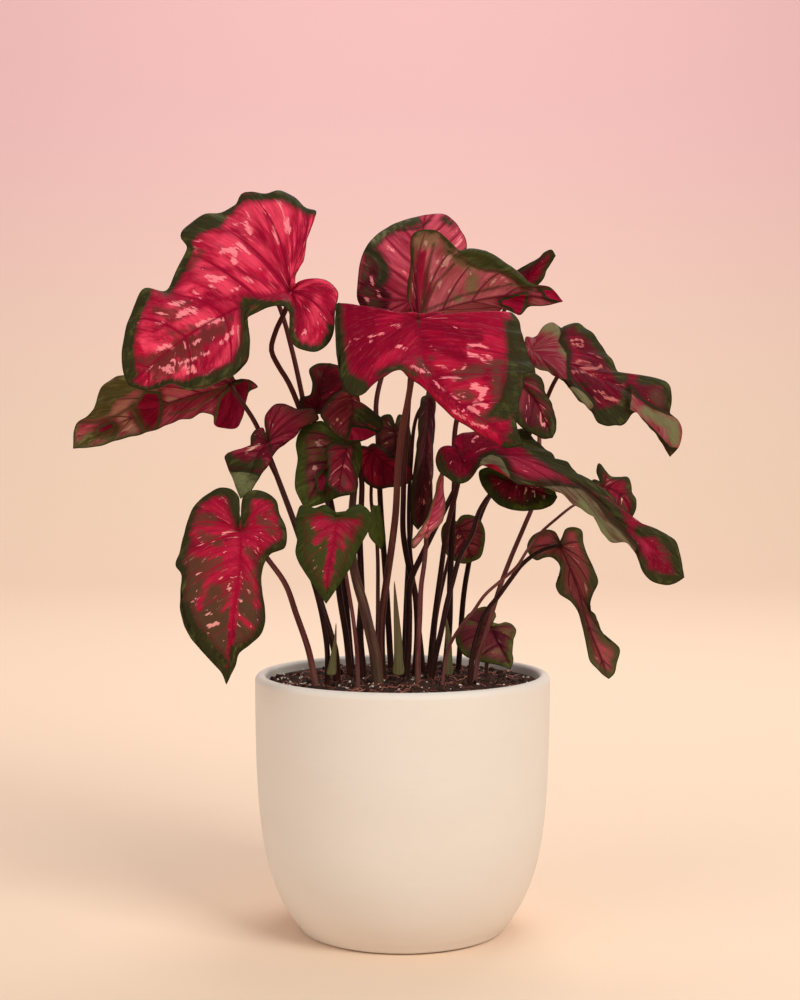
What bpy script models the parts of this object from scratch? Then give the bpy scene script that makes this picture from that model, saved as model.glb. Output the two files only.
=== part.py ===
"""Potted caladium: heart-shaped crimson and green leaves on long stems in a plain cream ceramic pot.

The tables are in centimetres; everything built is in metres, +Z up, with the pot standing on z = 0.
Leaf and stem tables give points as (across, up) on the upright plane through the pot's axis, as seen
from EYE, with a depth for each: a point is moved along its line of sight to that depth, so the plant
keeps its outline from the front and has its real depth from every other side.
"""

import math

import bmesh
import bpy
import numpy as np
from mathutils import Matrix, Vector

CM = 0.01
EYE = np.array([-0.15, -105.0, 30.0])

# Pot: outer wall radius is POT_RADIUS - POT_FLARE * exp(-z / POT_CURVE).
POT_RADIUS = 9.0
POT_FLARE = 2.9
POT_CURVE = 3.15
POT_HEIGHT = 15.6
POT_WALL = 0.65
POT_FLOOR = 0.9
POT_BASE_RADIUS = 5.8
POT_BASE_CORNER = 0.25
LIP_OUTER_ROUND = 0.4
LIP_INNER_ROUND = 0.25
TURNS = 36

SOIL_LEVEL = 15.0
SOIL_MOUND = 0.35
SOIL_RELIEF = 0.11
SOIL_RINGS = 7
GAP = 0.035
MERGE = 0.00001
HOLE_DEPTH = 1.2
HOLE_CLEARANCE = 0.06
HOLE_ABOVE = 0.5
HOLE_BELOW = 0.1
HOLE_SIDES = 8

BLADE_THICKNESS = 0.08
STEM_BEVEL = 1
STEM_STEPS = 9
JOINT_GAP = 0.035
RIB_START = 0.42
RIB_POWER = 1.25

# One blade: rib runs from the stem joint to the tip; left and right margins run from the notch round
# each lobe to the tip; the depth lists are spread evenly along a margin between notch and tip.
# face is 1 where the upper face is turned to the front, -1 where the underside is.
BLADES = {
    "blade_big_left": dict(
        face=1, kind="crimson", cells=(16, 4), bulge=0.35, wave=(0.12, 7, 0.3),
        rib=[(-6.75, 38.75, -1.5), (-10, 37.7, -2.3), (-12.5, 36.4, -3.0), (-14.5, 34.9, -3.6),
             (-16.6, 33.1, -4.0)],
        notch=(-6.5, 39.15, -1.5),
        left=[(-6.2, 39.05), (-5.8, 39.3), (-5, 39.5), (-4.4, 39.3), (-3.95, 38.8), (-4.1, 37.5),
              (-4.2, 36.4), (-4.6, 35.5), (-5.5, 35.05), (-6.4, 35.4), (-6.85, 36), (-6.75, 37),
              (-6.95, 37.6), (-7.6, 37.9), (-8.5, 37.7), (-9.3, 37.3), (-9.55, 36.9), (-9.3, 36.2),
              (-9.3, 35.2), (-9.6, 34.3), (-10.4, 33.5), (-11.4, 33.1), (-12.3, 32.8), (-13, 32.75),
              (-14, 33.1), (-14.8, 32.9), (-15.6, 32.8)],
        left_depth=[-2.2, -3.4, -4.3, -4.4, -3.2, -2.9, -4.4, -4.8, -4.6],
        right=[(-6.5, 39.6), (-6.45, 40), (-6.05, 40.45), (-5.9, 41.2), (-5.7, 42.4), (-5.25, 43.6),
               (-5.9, 43.85), (-6.6, 44.5), (-7.4, 44.75), (-8.1, 44.6), (-9.1, 44.75), (-9.75, 44.7),
               (-10.1, 44), (-10.7, 43.5), (-12, 43.35), (-12.9, 42.9), (-13.4, 42.05), (-13, 41.35),
               (-13.6, 40.3), (-14.5, 38.7), (-15.7, 38.9), (-16.2, 38), (-16.8, 36.2), (-17, 35),
               (-16.9, 33.8)],
        right_depth=[0.6, 2.2, 2.6, 1.8, 0.3, -1.4, -3.0]),
    "blade_left_drooping": dict(
        face=-1, kind="underside", cells=(16, 4), bulge=0.25, wave=(0.1, 6, 1.2),
        rib=[(-10.4, 33.1, 1.0), (-13, 32.4, 0.8), (-16.5, 31.1, 0.4), (-19, 29.9, 0.1),
             (-20, 29.25, 0.0)],
        notch=(-10.15, 33.4, 1.0),
        left=[(-9.9, 33.35), (-9.3, 33.4), (-8.8, 33), (-9.3, 32.7), (-9.5, 32), (-9.8, 31),
              (-10, 30.6), (-10.9, 30.45), (-11.4, 30.7), (-11.5, 31.3), (-12, 31.45), (-12.8, 31.05),
              (-13.6, 31), (-15, 30.35), (-16.5, 30), (-18.5, 29.4)],
        left_depth=[1.6, 2.0, 1.6, 1.4, 1.0, 0.5],
        right=[(-10.5, 34), (-12.5, 34.2), (-15, 33.8), (-16.8, 33.4), (-17.6, 33.35),
               (-18.3, 32.8), (-18.6, 32), (-19, 31.3), (-19.8, 30.7)],
        right_depth=[-0.2, -1.2, -1.7, -1.5, -0.7]),
    "blade_top_back": dict(
        face=1, kind="crimson", cells=(12, 4), bulge=0.3, wave=(0.1, 5, 0.0),
        rib=[(0.5, 38.2, 4.5), (0.6, 39.5, 4.3), (0.9, 41, 4.6), (1.2, 42.4, 5.0), (1.4, 43.35, 5.5)],
        notch=(0.4, 37.5, 4.5),
        left=[(-0.3, 37.0), (-1.2, 37.0), (-2.2, 37.4), (-2.7, 38.3), (-2.7, 39.3), (-2.6, 40.2),
              (-2.3, 41.2), (-1.5, 42.2), (-0.5, 42.8), (0.5, 43.15)],
        left_depth=[3.7, 3.4, 3.7, 4.4, 5.1],
        right=[(1.4, 37.2), (2.5, 37.6), (3.2, 38.9), (3.6, 40.4), (3.85, 41.7), (3.5, 42.5),
               (2.45, 43.4)],
        right_depth=[4.2, 4.5, 5.0, 5.4]),
    "blade_top_folded": dict(
        face=-1, kind="underside", cells=(14, 4), bulge=0.25, wave=(0.08, 5, 0.6),
        rib=[(1.0, 37.15, 0.3), (3.6, 38, 0.7), (6, 38.45, 0.6), (7.6, 38.5, 0.3), (9.7, 38.15, 0.0)],
        notch=(0.6, 37.35, 0.3),
        left=[(0.3, 38.5), (0.5, 40.3), (0.75, 42.3), (1.8, 42.45), (2.9, 41.7), (3.4, 41.2),
              (4.2, 41.2), (5.3, 40.95), (6.3, 40.2), (7.1, 39.6), (7.6, 39.15), (8.9, 39)],
        left_depth=[0.2, -0.2, -0.4, -0.2, 0.0],
        right=[(1.3, 36.7), (2.2, 36.9), (3.8, 37.0), (5.6, 37.4), (6.3, 37.8), (7.1, 37.35),
               (7.6, 37.8), (8.6, 37.9)],
        right_depth=[1.4, 2.0, 1.8, 1.0, 0.4]),
    "blade_front_centre": dict(
        face=1, kind="crimson", cells=(16, 4), bulge=0.4, wave=(0.12, 6, 0.8),
        rib=[(1.0, 37.05, -5.0), (1.25, 34.8, -6.3), (2.8, 32.5, -7.5), (5.0, 30.9, -8.5),
             (7.3, 29.5, -9.0)],
        notch=(1.0, 37.35, -4.7),
        left=[(0.5, 37.45), (0, 37.4), (-1, 37.4), (-2, 37.1), (-2.9, 37.5), (-3.5, 37.9),
              (-3.9, 38), (-4, 37.3), (-4, 36), (-3.9, 34.5), (-3.7, 33.3), (-3.3, 32.6),
              (-2.8, 32.35), (-2.4, 32.5), (-1.9, 33), (-1.2, 33.6), (-0.5, 34), (-0.1, 34),
              (0.3, 33.6), (1, 33.1), (1.6, 32.6), (2.4, 31.8), (3, 31.2), (4.2, 30.4),
              (5.2, 29.8), (6.4, 29.3), (6.9, 29.35)],
        left_depth=[-3.8, -3.5, -4.9, -6.4, -7.3, -7.1, -7.8, -8.5],
        right=[(1.6, 37.3), (2.2, 37.5), (3, 37.1), (3.6, 37), (4.2, 36.6), (4.9, 36.4),
               (5.8, 36.5), (6.2, 37.3), (6.6, 37.5), (7, 37.1), (7.2, 36.2), (7.5, 35.3),
               (7.9, 34.2), (8, 33.9), (7.5, 33.8), (7.3, 33), (7.1, 32.2), (7, 31.5),
               (6.9, 30.9), (7, 30.3)],
        right_depth=[-4.0, -3.8, -4.6, -5.8, -7.2, -8.3]),
    "blade_right_back": dict(
        face=1, kind="red", cells=(9, 3), bulge=0.15, wave=(0.05, 4, 0.0),
        rib=[(6.5, 38.6, 3.0), (7.8, 39.8, 2.4), (9.25, 40.9, 1.5)],
        notch=(6.1, 38.4, 3.1),
        left=[(5.9, 38.9), (6.2, 39.4), (6.9, 40), (7.8, 40.5), (8.3, 40.8), (8.6, 41.1), (9, 41.25)],
        left_depth=[3.0, 2.6, 2.1],
        right=[(6.5, 38.1), (7.2, 38.3), (7.8, 38.8), (8.1, 39.05), (8.5, 39.5), (8.7, 40),
               (8.95, 40.4)],
        right_depth=[2.9, 2.4, 2.0]),
    "blade_right_twisted": dict(
        face=1, kind="crimson", cells=(16, 4), bulge=0.25, wave=(0.1, 7, 0.0),
        rib=[(7.8, 35.2, 1.0), (10, 34.4, 0.5), (12, 33.5, 0.0), (13.8, 32.6, -0.5),
             (15, 31.6, -0.8), (16, 30.3, -1.0), (16.25, 28.75, -1.0)],
        notch=(7.4, 35.5, 1.1),
        left=[(7.4, 34.9), (8, 34.2), (9, 33.8), (10.1, 33.1), (10.9, 32), (11.7, 31.2),
              (12.1, 30.7), (12.8, 30.6), (13.5, 30.8), (14.0, 31.4), (14.9, 30.7), (15.6, 29.8),
              (16.0, 29.2)],
        left_depth=[0.3, -1.0, -1.8, -1.7, -1.3],
        right=[(7.5, 36), (7.9, 35.95), (8.2, 36.1), (8.6, 36.7), (9, 36.85), (9.5, 36.6),
               (9.75, 36.4), (10.1, 36.8), (10.6, 36.85), (11.2, 36.4), (11.8, 35.9), (12.4, 35),
               (13, 34), (13.4, 33.5), (14, 33.3), (15, 33.35), (15.9, 33.4), (16.15, 33.1),
               (16.3, 32), (16.3, 31.3), (16.7, 31), (16.95, 30), (16.8, 29.4)],
        right_depth=[1.8, 2.6, 2.2, 1.2, 0.4, -0.4]),
    "blade_behind_centre": dict(
        face=1, kind="crimson", cells=(10, 3), bulge=0.2, wave=(0.06, 4, 0.5),
        rib=[(6.9, 33.4, -1.5), (8, 32.2, -1.7), (8.6, 31, -2.0), (9.1, 29.9, -2.3)],
        notch=(7.2, 33.8, -1.4),
        left=[(8.15, 33.75), (8.4, 33.5), (8.7, 32.6), (9.1, 31.8), (9.3, 31), (9.3, 30.3)],
        left_depth=[-1.2, -1.5, -1.9],
        right=[(6.6, 33.6), (6.3, 32.6), (6.5, 31.6), (6.9, 30.9), (7.2, 30.6), (8, 30.1),
               (8.6, 29.85)],
        right_depth=[-2.0, -2.5, -2.6]),
    "blade_long_arching": dict(
        face=1, kind="crimson", cells=(18, 4), bulge=0.3, wave=(0.12, 8, 0.0),
        rib=[(3.6, 28.5, -2.5), (6, 28.8, -3.2), (9.3, 27.8, -4.0), (11.4, 26.5, -4.5),
             (13, 24.9, -4.8), (14.6, 23.8, -4.9), (15.8, 22.6, -5.0), (17.15, 21.4, -5.0)],
        notch=(3.2, 28.9, -2.4),
        left=[(2.7, 29.4), (2.3, 29.25), (2.05, 28.7), (2.15, 28), (2.6, 27.5), (3.2, 27.2),
              (3.8, 27.2), (4.3, 27.6), (4.6, 28), (5.1, 28.3), (5.7, 28.3), (6.2, 27.9),
              (6.5, 27.5), (6.9, 27.1), (8.2, 27.05), (9.2, 26.65), (10.5, 25.9), (11.7, 24.9),
              (12.3, 24), (12.6, 23.7), (13.7, 23.4), (14.4, 22.5), (14.8, 21.5), (15.6, 21),
              (16.7, 21.1)],
        left_depth=[-3.4, -4.4, -4.9, -5.3, -5.5, -5.6, -5.6, -5.5, -5.3],
        right=[(3.1, 29.8), (3.7, 30.2), (4.4, 30.25), (5.8, 29.9), (7.2, 30.4), (8.2, 29.7),
               (9, 28.9), (9.4, 28.4), (10, 28.5), (10.7, 27.5), (11.8, 27.15), (12.6, 26.4),
               (13.2, 25.4), (14, 24.95), (14.5, 24.5), (15.2, 24.2), (16, 24.1), (16.5, 23.7),
               (17, 22.3)],
        right_depth=[-1.6, -1.2, -1.8, -2.7, -3.5, -4.2, -4.7]),
    "blade_dark_lobe": dict(
        face=1, kind="olive", cells=(10, 3), bulge=0.15, wave=(0.06, 4, 0.0),
        rib=[(6.5, 27.3, -1.4), (7.6, 26.9, -1.5), (8.5, 26.6, -1.6), (9.4, 26.3, -1.7)],
        notch=(6.2, 27.8, -1.3),
        left=[(5.4, 28.1), (4.7, 27.9), (4.8, 27.1), (5.3, 26.4), (6, 25.75), (6.9, 25.5),
              (7.9, 25.5), (8.6, 25.6), (9.2, 25.95)],
        left_depth=[-1.3, -1.6, -2.0, -2.1],
        right=[(6.9, 28.2), (8, 27.9), (9, 27.2)],
        right_depth=[-1.2, -1.3, -1.6]),
    "blade_small_right": dict(
        face=1, kind="olive", cells=(10, 3), bulge=0.12, wave=(0.04, 4, 0.4),
        rib=[(12.2, 26.9, 0.0), (13, 26.6, -0.1), (13.6, 26, -0.2), (13.95, 25.0, -0.3)],
        notch=(12.0, 27.25, 0.0),
        left=[(11.6, 27.35), (11.45, 26.9), (11.9, 26.4), (12.4, 26.1), (12.8, 25.6),
              (13.1, 25.15), (13.6, 25)],
        left_depth=[-0.2, -0.5, -0.5],
        right=[(11.8, 27.9), (11.95, 28.35), (12.25, 28.0), (12.6, 27.6), (13.2, 27.5),
               (13.65, 27.5), (13.9, 27.1), (13.95, 26.6), (14.2, 26.1), (14.2, 25.6)],
        right_depth=[0.5, 0.5, 0.2, -0.1]),
    "blade_hanging_lance": dict(
        face=-1, kind="underside", cells=(16, 4), bulge=0.15, wave=(0.06, 6, 0.0),
        rib=[(9.6, 23.3, -1.0), (9.95, 22.6, -1.1), (10.35, 21.6, -1.2), (10.8, 20.4, -1.4),
             (11.05, 19.4, -1.5), (11.5, 18, -1.7), (12, 16.8, -1.8), (12.6, 15.2, -2.0)],
        notch=(9.6, 23.6, -1.0),
        left=[(9.45, 23.9), (9.3, 24.15), (8.85, 24.3), (8.3, 24.15), (7.9, 23.9), (7.6, 23.2),
              (7.85, 22.65), (8.2, 22.45), (8.6, 22.6), (9.0, 22.65), (9.5, 22.3), (9.65, 21.6),
              (9.35, 20.9), (9.5, 20.5), (10.3, 19.9), (10.6, 19.5), (11, 18.3), (11.3, 16.9),
              (11.45, 16.3), (11.9, 15.8), (12.3, 15.4)],
        left_depth=[-0.7, -0.5, -0.8, -1.1, -1.3, -1.6],
        right=[(9.75, 23.9), (9.95, 24.35), (10.4, 24.45), (10.85, 24.3), (11, 23.5), (11.15, 23),
               (11.65, 21.9), (11.9, 21.1), (11.6, 20.4), (11.4, 19.6), (11.6, 19.0), (12.2, 18),
               (12.5, 17.65), (12.9, 17.4), (13.2, 17.1), (13.05, 16.1), (12.9, 15.5)],
        right_depth=[-0.7, -0.9, -1.2, -1.5, -1.7]),
    "blade_low_right": dict(
        face=1, kind="olive", cells=(10, 3), bulge=0.15, wave=(0.05, 4, 0.9),
        rib=[(5.4, 18.3, -0.6), (5.8, 17.5, -0.8), (6.3, 16.6, -1.1), (6.6, 15.8, -1.3)],
        notch=(5.5, 18.65, -0.6),
        left=[(5.85, 18.55), (6.3, 18.65), (6.7, 18.5), (6.9, 18.2), (6.75, 17.5), (6.7, 16.8),
              (6.75, 16.3)],
        left_depth=[-0.7, -1.0, -1.2],
        right=[(5.7, 19.1), (5.5, 19.45), (5.1, 19.6), (4.4, 19.4), (3.8, 18.9), (3.4, 18.3),
               (3.3, 17.4), (3.7, 16.7), (4.6, 16.3), (5.8, 16.05)],
        right_depth=[-0.1, 0.2, -0.1, -0.6, -1.0]),
    "blade_round_back": dict(
        face=1, kind="olive", cells=(9, 3), bulge=0.12, wave=(0.04, 3, 0.0),
        rib=[(3.4, 24.4, 3.2), (3.7, 23.8, 3.1), (4.0, 23.1, 3.0), (4.2, 22.35, 2.8)],
        notch=(3.3, 24.8, 3.2),
        left=[(2.9, 24.95), (2.5, 24.6), (2.4, 23.6), (2.7, 22.8), (3.2, 22.4), (3.8, 22.25)],
        left_depth=[3.0, 2.9, 2.8],
        right=[(3.6, 25.15), (4.1, 25.2), (4.6, 25), (4.95, 24.4), (4.95, 23.3), (4.7, 22.6)],
        right_depth=[3.2, 3.1, 2.9]),
    "blade_pink_furled": dict(
        face=1, kind="pink", cells=(12, 3), bulge=0.1, wave=(0.03, 4, 0.0),
        rib=[(1.45, 24.2, -2.1), (1.75, 25.3, -2.2), (2.1, 26.6, -2.2), (2.5, 28.1, -2.2)],
        notch=(1.2, 23.85, -2.1),
        left=[(1.35, 23.55), (1.6, 23.65), (1.8, 24.0), (2.4, 24.6), (2.8, 25), (2.95, 25.6),
              (2.95, 26.4), (2.7, 27), (2.6, 27.6)],
        left_depth=[-1.8, -1.4, -1.1, -1.5],
        right=[(0.8, 23.2), (0.35, 22.75), (0.2, 23.3), (0.7, 24), (1, 24.4), (1.2, 24.8),
               (1.6, 25.4), (1.8, 26), (2, 26.7), (2.1, 27.4)],
        right_depth=[-2.5, -2.7, -2.7, -2.5]),
    "blade_edge_on": dict(
        face=1, kind="red", cells=(10, 3), bulge=0.15, wave=(0.05, 4, 0.0),
        rib=[(1.55, 32.2, 1.2), (1.4, 30, 1.0), (1.3, 28, 1.0), (1.2, 26, 1.0), (0.95, 24.3, 1.0)],
        notch=(1.6, 32.5, 1.2),
        left=[(1.25, 32.4), (1.05, 31.6), (0.9, 29.5), (0.85, 28.2), (0.6, 27), (0.5, 25.5),
              (0.7, 24.6)],
        left_depth=[0.0, -0.2, 0.1, 0.5],
        right=[(1.8, 32.4), (1.95, 31), (1.8, 28.8), (1.8, 27.3), (1.7, 25.5), (1.3, 24.7)],
        right_depth=[2.2, 2.4, 2.2, 1.6]),
    "blade_heart_front": dict(
        face=1, kind="green", cells=(12, 4), bulge=0.25, wave=(0.06, 5, 0.2),
        rib=[(-3.95, 25.1, -5.5), (-4.2, 23.5, -5.9), (-4.5, 22, -6.2), (-4.65, 19.8, -6.5)],
        notch=(-4.0, 25.35, -5.4),
        left=[(-3.6, 25.4), (-3.1, 25.5), (-2.7, 25.85), (-2.3, 25.7), (-1.85, 25), (-1.9, 24.6),
              (-2.15, 24.1), (-2.7, 23.1), (-3, 22.3), (-3.5, 21.5), (-4.1, 20.6)],
        left_depth=[-5.0, -5.0, -5.6, -6.1],
        right=[(-4.3, 25.5), (-4.7, 25.8), (-5.4, 25.6), (-6.2, 25.75), (-6.4, 25.3), (-6.5, 24.3),
               (-6.4, 23.8), (-6.5, 22.9), (-6.3, 22.3), (-6, 21.8), (-5.4, 20.9), (-5, 20.3)],
        right_depth=[-5.0, -5.1, -5.6, -6.1]),
    "blade_heart_left": dict(
        face=1, kind="olive", cells=(16, 4), bulge=0.3, wave=(0.1, 7, 0.5),
        rib=[(-9.85, 24.2, -6.0), (-9.9, 22, -6.6), (-10.2, 20, -7.0), (-10.4, 18, -7.3),
             (-10.6, 16.3, -7.4), (-10.75, 14.85, -7.5)],
        notch=(-9.85, 24.75, -6.0),
        left=[(-9.74, 25.6), (-9.7, 26.25), (-9.4, 26.6), (-8.9, 26.7), (-8.2, 26.5), (-7.7, 26.1),
              (-7.5, 25.3), (-7.1, 24.4), (-7.05, 23.8), (-7.2, 23.2), (-7.6, 23), (-8, 22.85),
              (-8.4, 22.3), (-8.6, 21.5), (-8.55, 20.5), (-8.4, 19.5), (-8.4, 18.6), (-8.6, 18),
              (-9.3, 17.3), (-10, 16.7), (-10.2, 16), (-10.5, 15.4)],
        left_depth=[-5.4, -5.0, -5.6, -6.2, -6.8, -7.2],
        right=[(-9.97, 25.6), (-9.97, 26.3), (-10.4, 26.75), (-11, 26.85), (-11.8, 26.5),
               (-12.6, 25.8), (-13, 25), (-13.3, 24), (-13.55, 22.9), (-13.8, 22.1), (-13.5, 21.7),
               (-13.5, 20.5), (-13.45, 19.4), (-13.1, 18.2), (-12.3, 17), (-11.6, 16.2),
               (-11.0, 15.5)],
        right_depth=[-5.5, -5.2, -5.8, -6.4, -6.9, -7.3]),
    "blade_left_centre": dict(
        face=1, kind="olive", cells=(14, 4), bulge=0.2, wave=(0.08, 6, 0.0),
        rib=[(-8.2, 29.6, -1.2), (-8.8, 28.8, -1.6), (-9.3, 27.6, -2.0), (-9.85, 26.2, -2.3)],
        notch=(-8.3, 30.0, -1.2),
        left=[(-8.25, 30.6), (-8.35, 31.1), (-8.1, 31.6), (-7.7, 31.9), (-7.3, 31.95),
              (-6.8, 31.8), (-6.35, 31.65), (-5.4, 31.6), (-5.1, 31.1), (-5.8, 30.7), (-6.5, 30),
              (-7.2, 29.5), (-7.9, 28.75), (-8.1, 28.35), (-8.5, 27.8), (-8.8, 27.3), (-9.3, 26.6)],
        left_depth=[-0.9, -0.7, -0.9, -1.5, -2.0],
        right=[(-8.5, 30.5), (-8.95, 30.35), (-9.2, 29.9), (-9.3, 29.3), (-9.7, 29.15),
               (-10.3, 29.05), (-10.75, 28.8), (-10.6, 28.1), (-10.3, 27.4), (-10.05, 26.7)],
        right_depth=[-1.0, -1.0, -1.4, -2.0]),
    "blade_spotted": dict(
        face=1, kind="green", cells=(12, 4), bulge=0.2, wave=(0.06, 5, 0.0),
        rib=[(-3.4, 29.6, -0.5), (-4.3, 28.3, -0.8), (-5.2, 27, -1.1), (-5.95, 25.6, -1.4)],
        notch=(-3.35, 30.0, -0.4),
        left=[(-2.9, 30.1), (-2.6, 29.7), (-2.45, 28.8), (-2.7, 27.5), (-2.9, 26.6), (-3.9, 26.3),
              (-4.9, 25.9)],
        left_depth=[-0.4, -0.6, -0.9, -1.2],
        right=[(-3.9, 30.0), (-4.4, 30.5), (-4.9, 30.9), (-5.4, 30.8), (-6.2, 30.3), (-6.45, 29.6),
               (-6.35, 28.6), (-6.5, 27.6), (-6.5, 26.8), (-6.2, 26.1)],
        right_depth=[-0.4, -0.4, -0.7, -1.1]),
    "blade_spotted_fold": dict(
        face=1, kind="red", cells=(9, 3), bulge=0.1, wave=(0.03, 3, 0.0),
        rib=[(-3.4, 29.2, -1.6), (-3.65, 28.2, -1.8), (-3.8, 27.4, -2.0), (-3.9, 26.4, -2.2)],
        notch=(-3.45, 29.5, -1.6),
        left=[(-3.1, 29.6), (-2.95, 29.3), (-3.05, 28), (-2.75, 27.5), (-2.85, 26.6)],
        left_depth=[-1.4, -1.5, -1.9],
        right=[(-3.8, 29.6), (-4.35, 29.6), (-4.6, 29.3), (-4.5, 28), (-4.65, 27.2)],
        right_depth=[-1.7, -2.0, -2.2]),
    "blade_red_upright": dict(
        face=1, kind="red", cells=(9, 3), bulge=0.1, wave=(0.03, 3, 0.0),
        rib=[(-5.05, 31.7, 0.9), (-5.0, 32.6, 0.7), (-4.8, 33.6, 0.5), (-4.4, 34.4, 0.3)],
        notch=(-5.1, 31.35, 0.9),
        left=[(-5.6, 31.35), (-6.1, 31.7), (-6.2, 32.3), (-5.6, 32.5), (-5.45, 33.1),
              (-5.6, 34.1), (-5.2, 34.35)],
        left_depth=[0.6, 0.3, 0.3],
        right=[(-4.6, 31.3), (-4.0, 31.7), (-3.5, 32.6), (-3.4, 33.6), (-3.8, 34.2)],
        right_depth=[0.9, 0.8, 0.5]),
    "blade_dark_centre": dict(
        face=1, kind="green", cells=(10, 3), bulge=0.12, wave=(0.04, 4, 0.0),
        rib=[(-3.1, 32.4, -1.5), (-2.95, 31.2, -1.8), (-3.1, 30.2, -2.0), (-2.9, 29.55, -2.1)],
        notch=(-3.1, 32.75, -1.5),
        left=[(-2.7, 32.5), (-2.5, 31.9), (-2.1, 31.55), (-1.7, 31.4), (-1.3, 31.1), (-1.2, 30.5),
              (-2, 29.9)],
        left_depth=[-1.3, -1.3, -1.7],
        right=[(-3.4, 32.85), (-3.8, 32.7), (-4.6, 32), (-4.95, 31.2), (-4.7, 30.8), (-4, 30),
               (-3.3, 29.65)],
        right_depth=[-1.9, -2.4, -2.4]),
    "blade_round_centre": dict(
        face=1, kind="green", cells=(9, 3), bulge=0.12, wave=(0.04, 3, 0.0),
        rib=[(-0.45, 30.2, 4.0), (-0.4, 29.5, 4.0), (-0.2, 28.7, 4.0), (0.0, 27.9, 4.0)],
        notch=(-0.45, 30.7, 4.0),
        left=[(-0.75, 31.3), (-1.25, 31.2), (-1.5, 30.5), (-1.5, 29.3), (-1.15, 28.4),
              (-0.55, 28)],
        left_depth=[4.2, 4.2, 4.1],
        right=[(-0.2, 31.3), (0.3, 31), (0.45, 30.4), (0.55, 29.5), (0.6, 28.8), (0.45, 28.2)],
        right_depth=[4.0, 3.9, 4.0]),
    "blade_red_centre": dict(
        face=1, kind="red", cells=(9, 3), bulge=0.12, wave=(0.04, 3, 0.0),
        rib=[(-1.9, 29.1, 1.9), (-1.2, 28.5, 1.8), (-0.5, 28, 1.7), (0.65, 27.4, 1.6)],
        notch=(-2.1, 29.35, 1.9),
        left=[(-2.5, 29.4), (-2.75, 28.3), (-2.5, 27.5), (-2, 27), (-1.5, 26.8), (-0.8, 26.9),
              (0.1, 27.0)],
        left_depth=[2.0, 1.8, 1.7],
        right=[(-1.8, 29.55), (-1.4, 29.4), (-0.4, 28.7), (0.4, 28.35)],
        right_depth=[1.9, 1.7, 1.6]),
    "blade_small_green": dict(
        face=1, kind="green", cells=(9, 3), bulge=0.08, wave=(0.02, 3, 0.0),
        rib=[(-1.6, 25.5, -0.7), (-1.6, 24.9, -0.8), (-1.5, 24.2, -0.9), (-1.3, 23.1, -1.0)],
        notch=(-1.6, 25.75, -0.7),
        left=[(-1.45, 25.8), (-1.3, 25.3), (-1.15, 24.5), (-1.05, 23.7)],
        left_depth=[-0.7, -0.8, -0.9],
        right=[(-1.75, 25.8), (-1.95, 25.3), (-2.05, 24.8), (-2, 23.9), (-1.6, 23.4)],
        right_depth=[-0.7, -0.8, -0.9]),
    "blade_back_left": dict(
        face=-1, kind="crimson", cells=(12, 4), bulge=0.3, wave=(0.1, 5, 0.0),
        rib=[(-8.4, 40.4, 3.6), (-8.8, 40.3, 6.0), (-9.2, 39.8, 8.6), (-9.8, 38.9, 11.2)],
        notch=(-8.3, 40.6, 3.2),
        left=[(-7.6, 41.0), (-6.6, 41.0), (-6.2, 40.4), (-6.6, 39.8), (-7.6, 39.2), (-8.8, 38.8)],
        left_depth=[2.4, 3.6, 6.2, 9.2],
        right=[(-9.2, 41.0), (-10.6, 40.8), (-11.4, 40.2), (-11.6, 39.6), (-11.0, 39.0)],
        right_depth=[2.4, 3.6, 6.2, 9.2]),
    "blade_back_centre": dict(
        face=-1, kind="crimson", cells=(12, 4), bulge=0.3, wave=(0.1, 5, 1.0),
        rib=[(2.4, 35.6, 5.4), (3.0, 35.0, 7.4), (3.6, 34.2, 9.4), (4.2, 33.2, 11.2)],
        notch=(2.2, 35.8, 5.0),
        left=[(1.4, 35.6), (-0.2, 35.8), (-1.0, 35.2), (-0.2, 34.8), (1.6, 34.0), (3.2, 33.0)],
        left_depth=[4.2, 5.2, 7.2, 9.6],
        right=[(2.8, 36.2), (4.4, 36.2), (6.0, 35.8), (6.4, 35.2), (6.0, 34.4), (5.0, 33.4)],
        right_depth=[4.4, 5.0, 7.0, 9.4]),
    "blade_back_right": dict(
        face=-1, kind="olive", cells=(12, 4), bulge=0.25, wave=(0.08, 5, 0.4),
        rib=[(10.4, 34.9, 4.2), (10.9, 34.6, 6.0), (11.5, 34.0, 7.8), (12.2, 33.2, 9.6)],
        notch=(10.2, 35.1, 3.9),
        left=[(9.7, 34.9), (9.1, 35.0), (9.3, 34.7), (10.2, 34.2), (11.4, 33.2)],
        left_depth=[3.6, 4.2, 6.0, 8.2],
        right=[(10.6, 35.5), (11.4, 35.4), (12.2, 34.9), (12.8, 34.0), (12.8, 33.2)],
        right_depth=[3.6, 4.4, 6.0, 8.2]),
}

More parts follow.
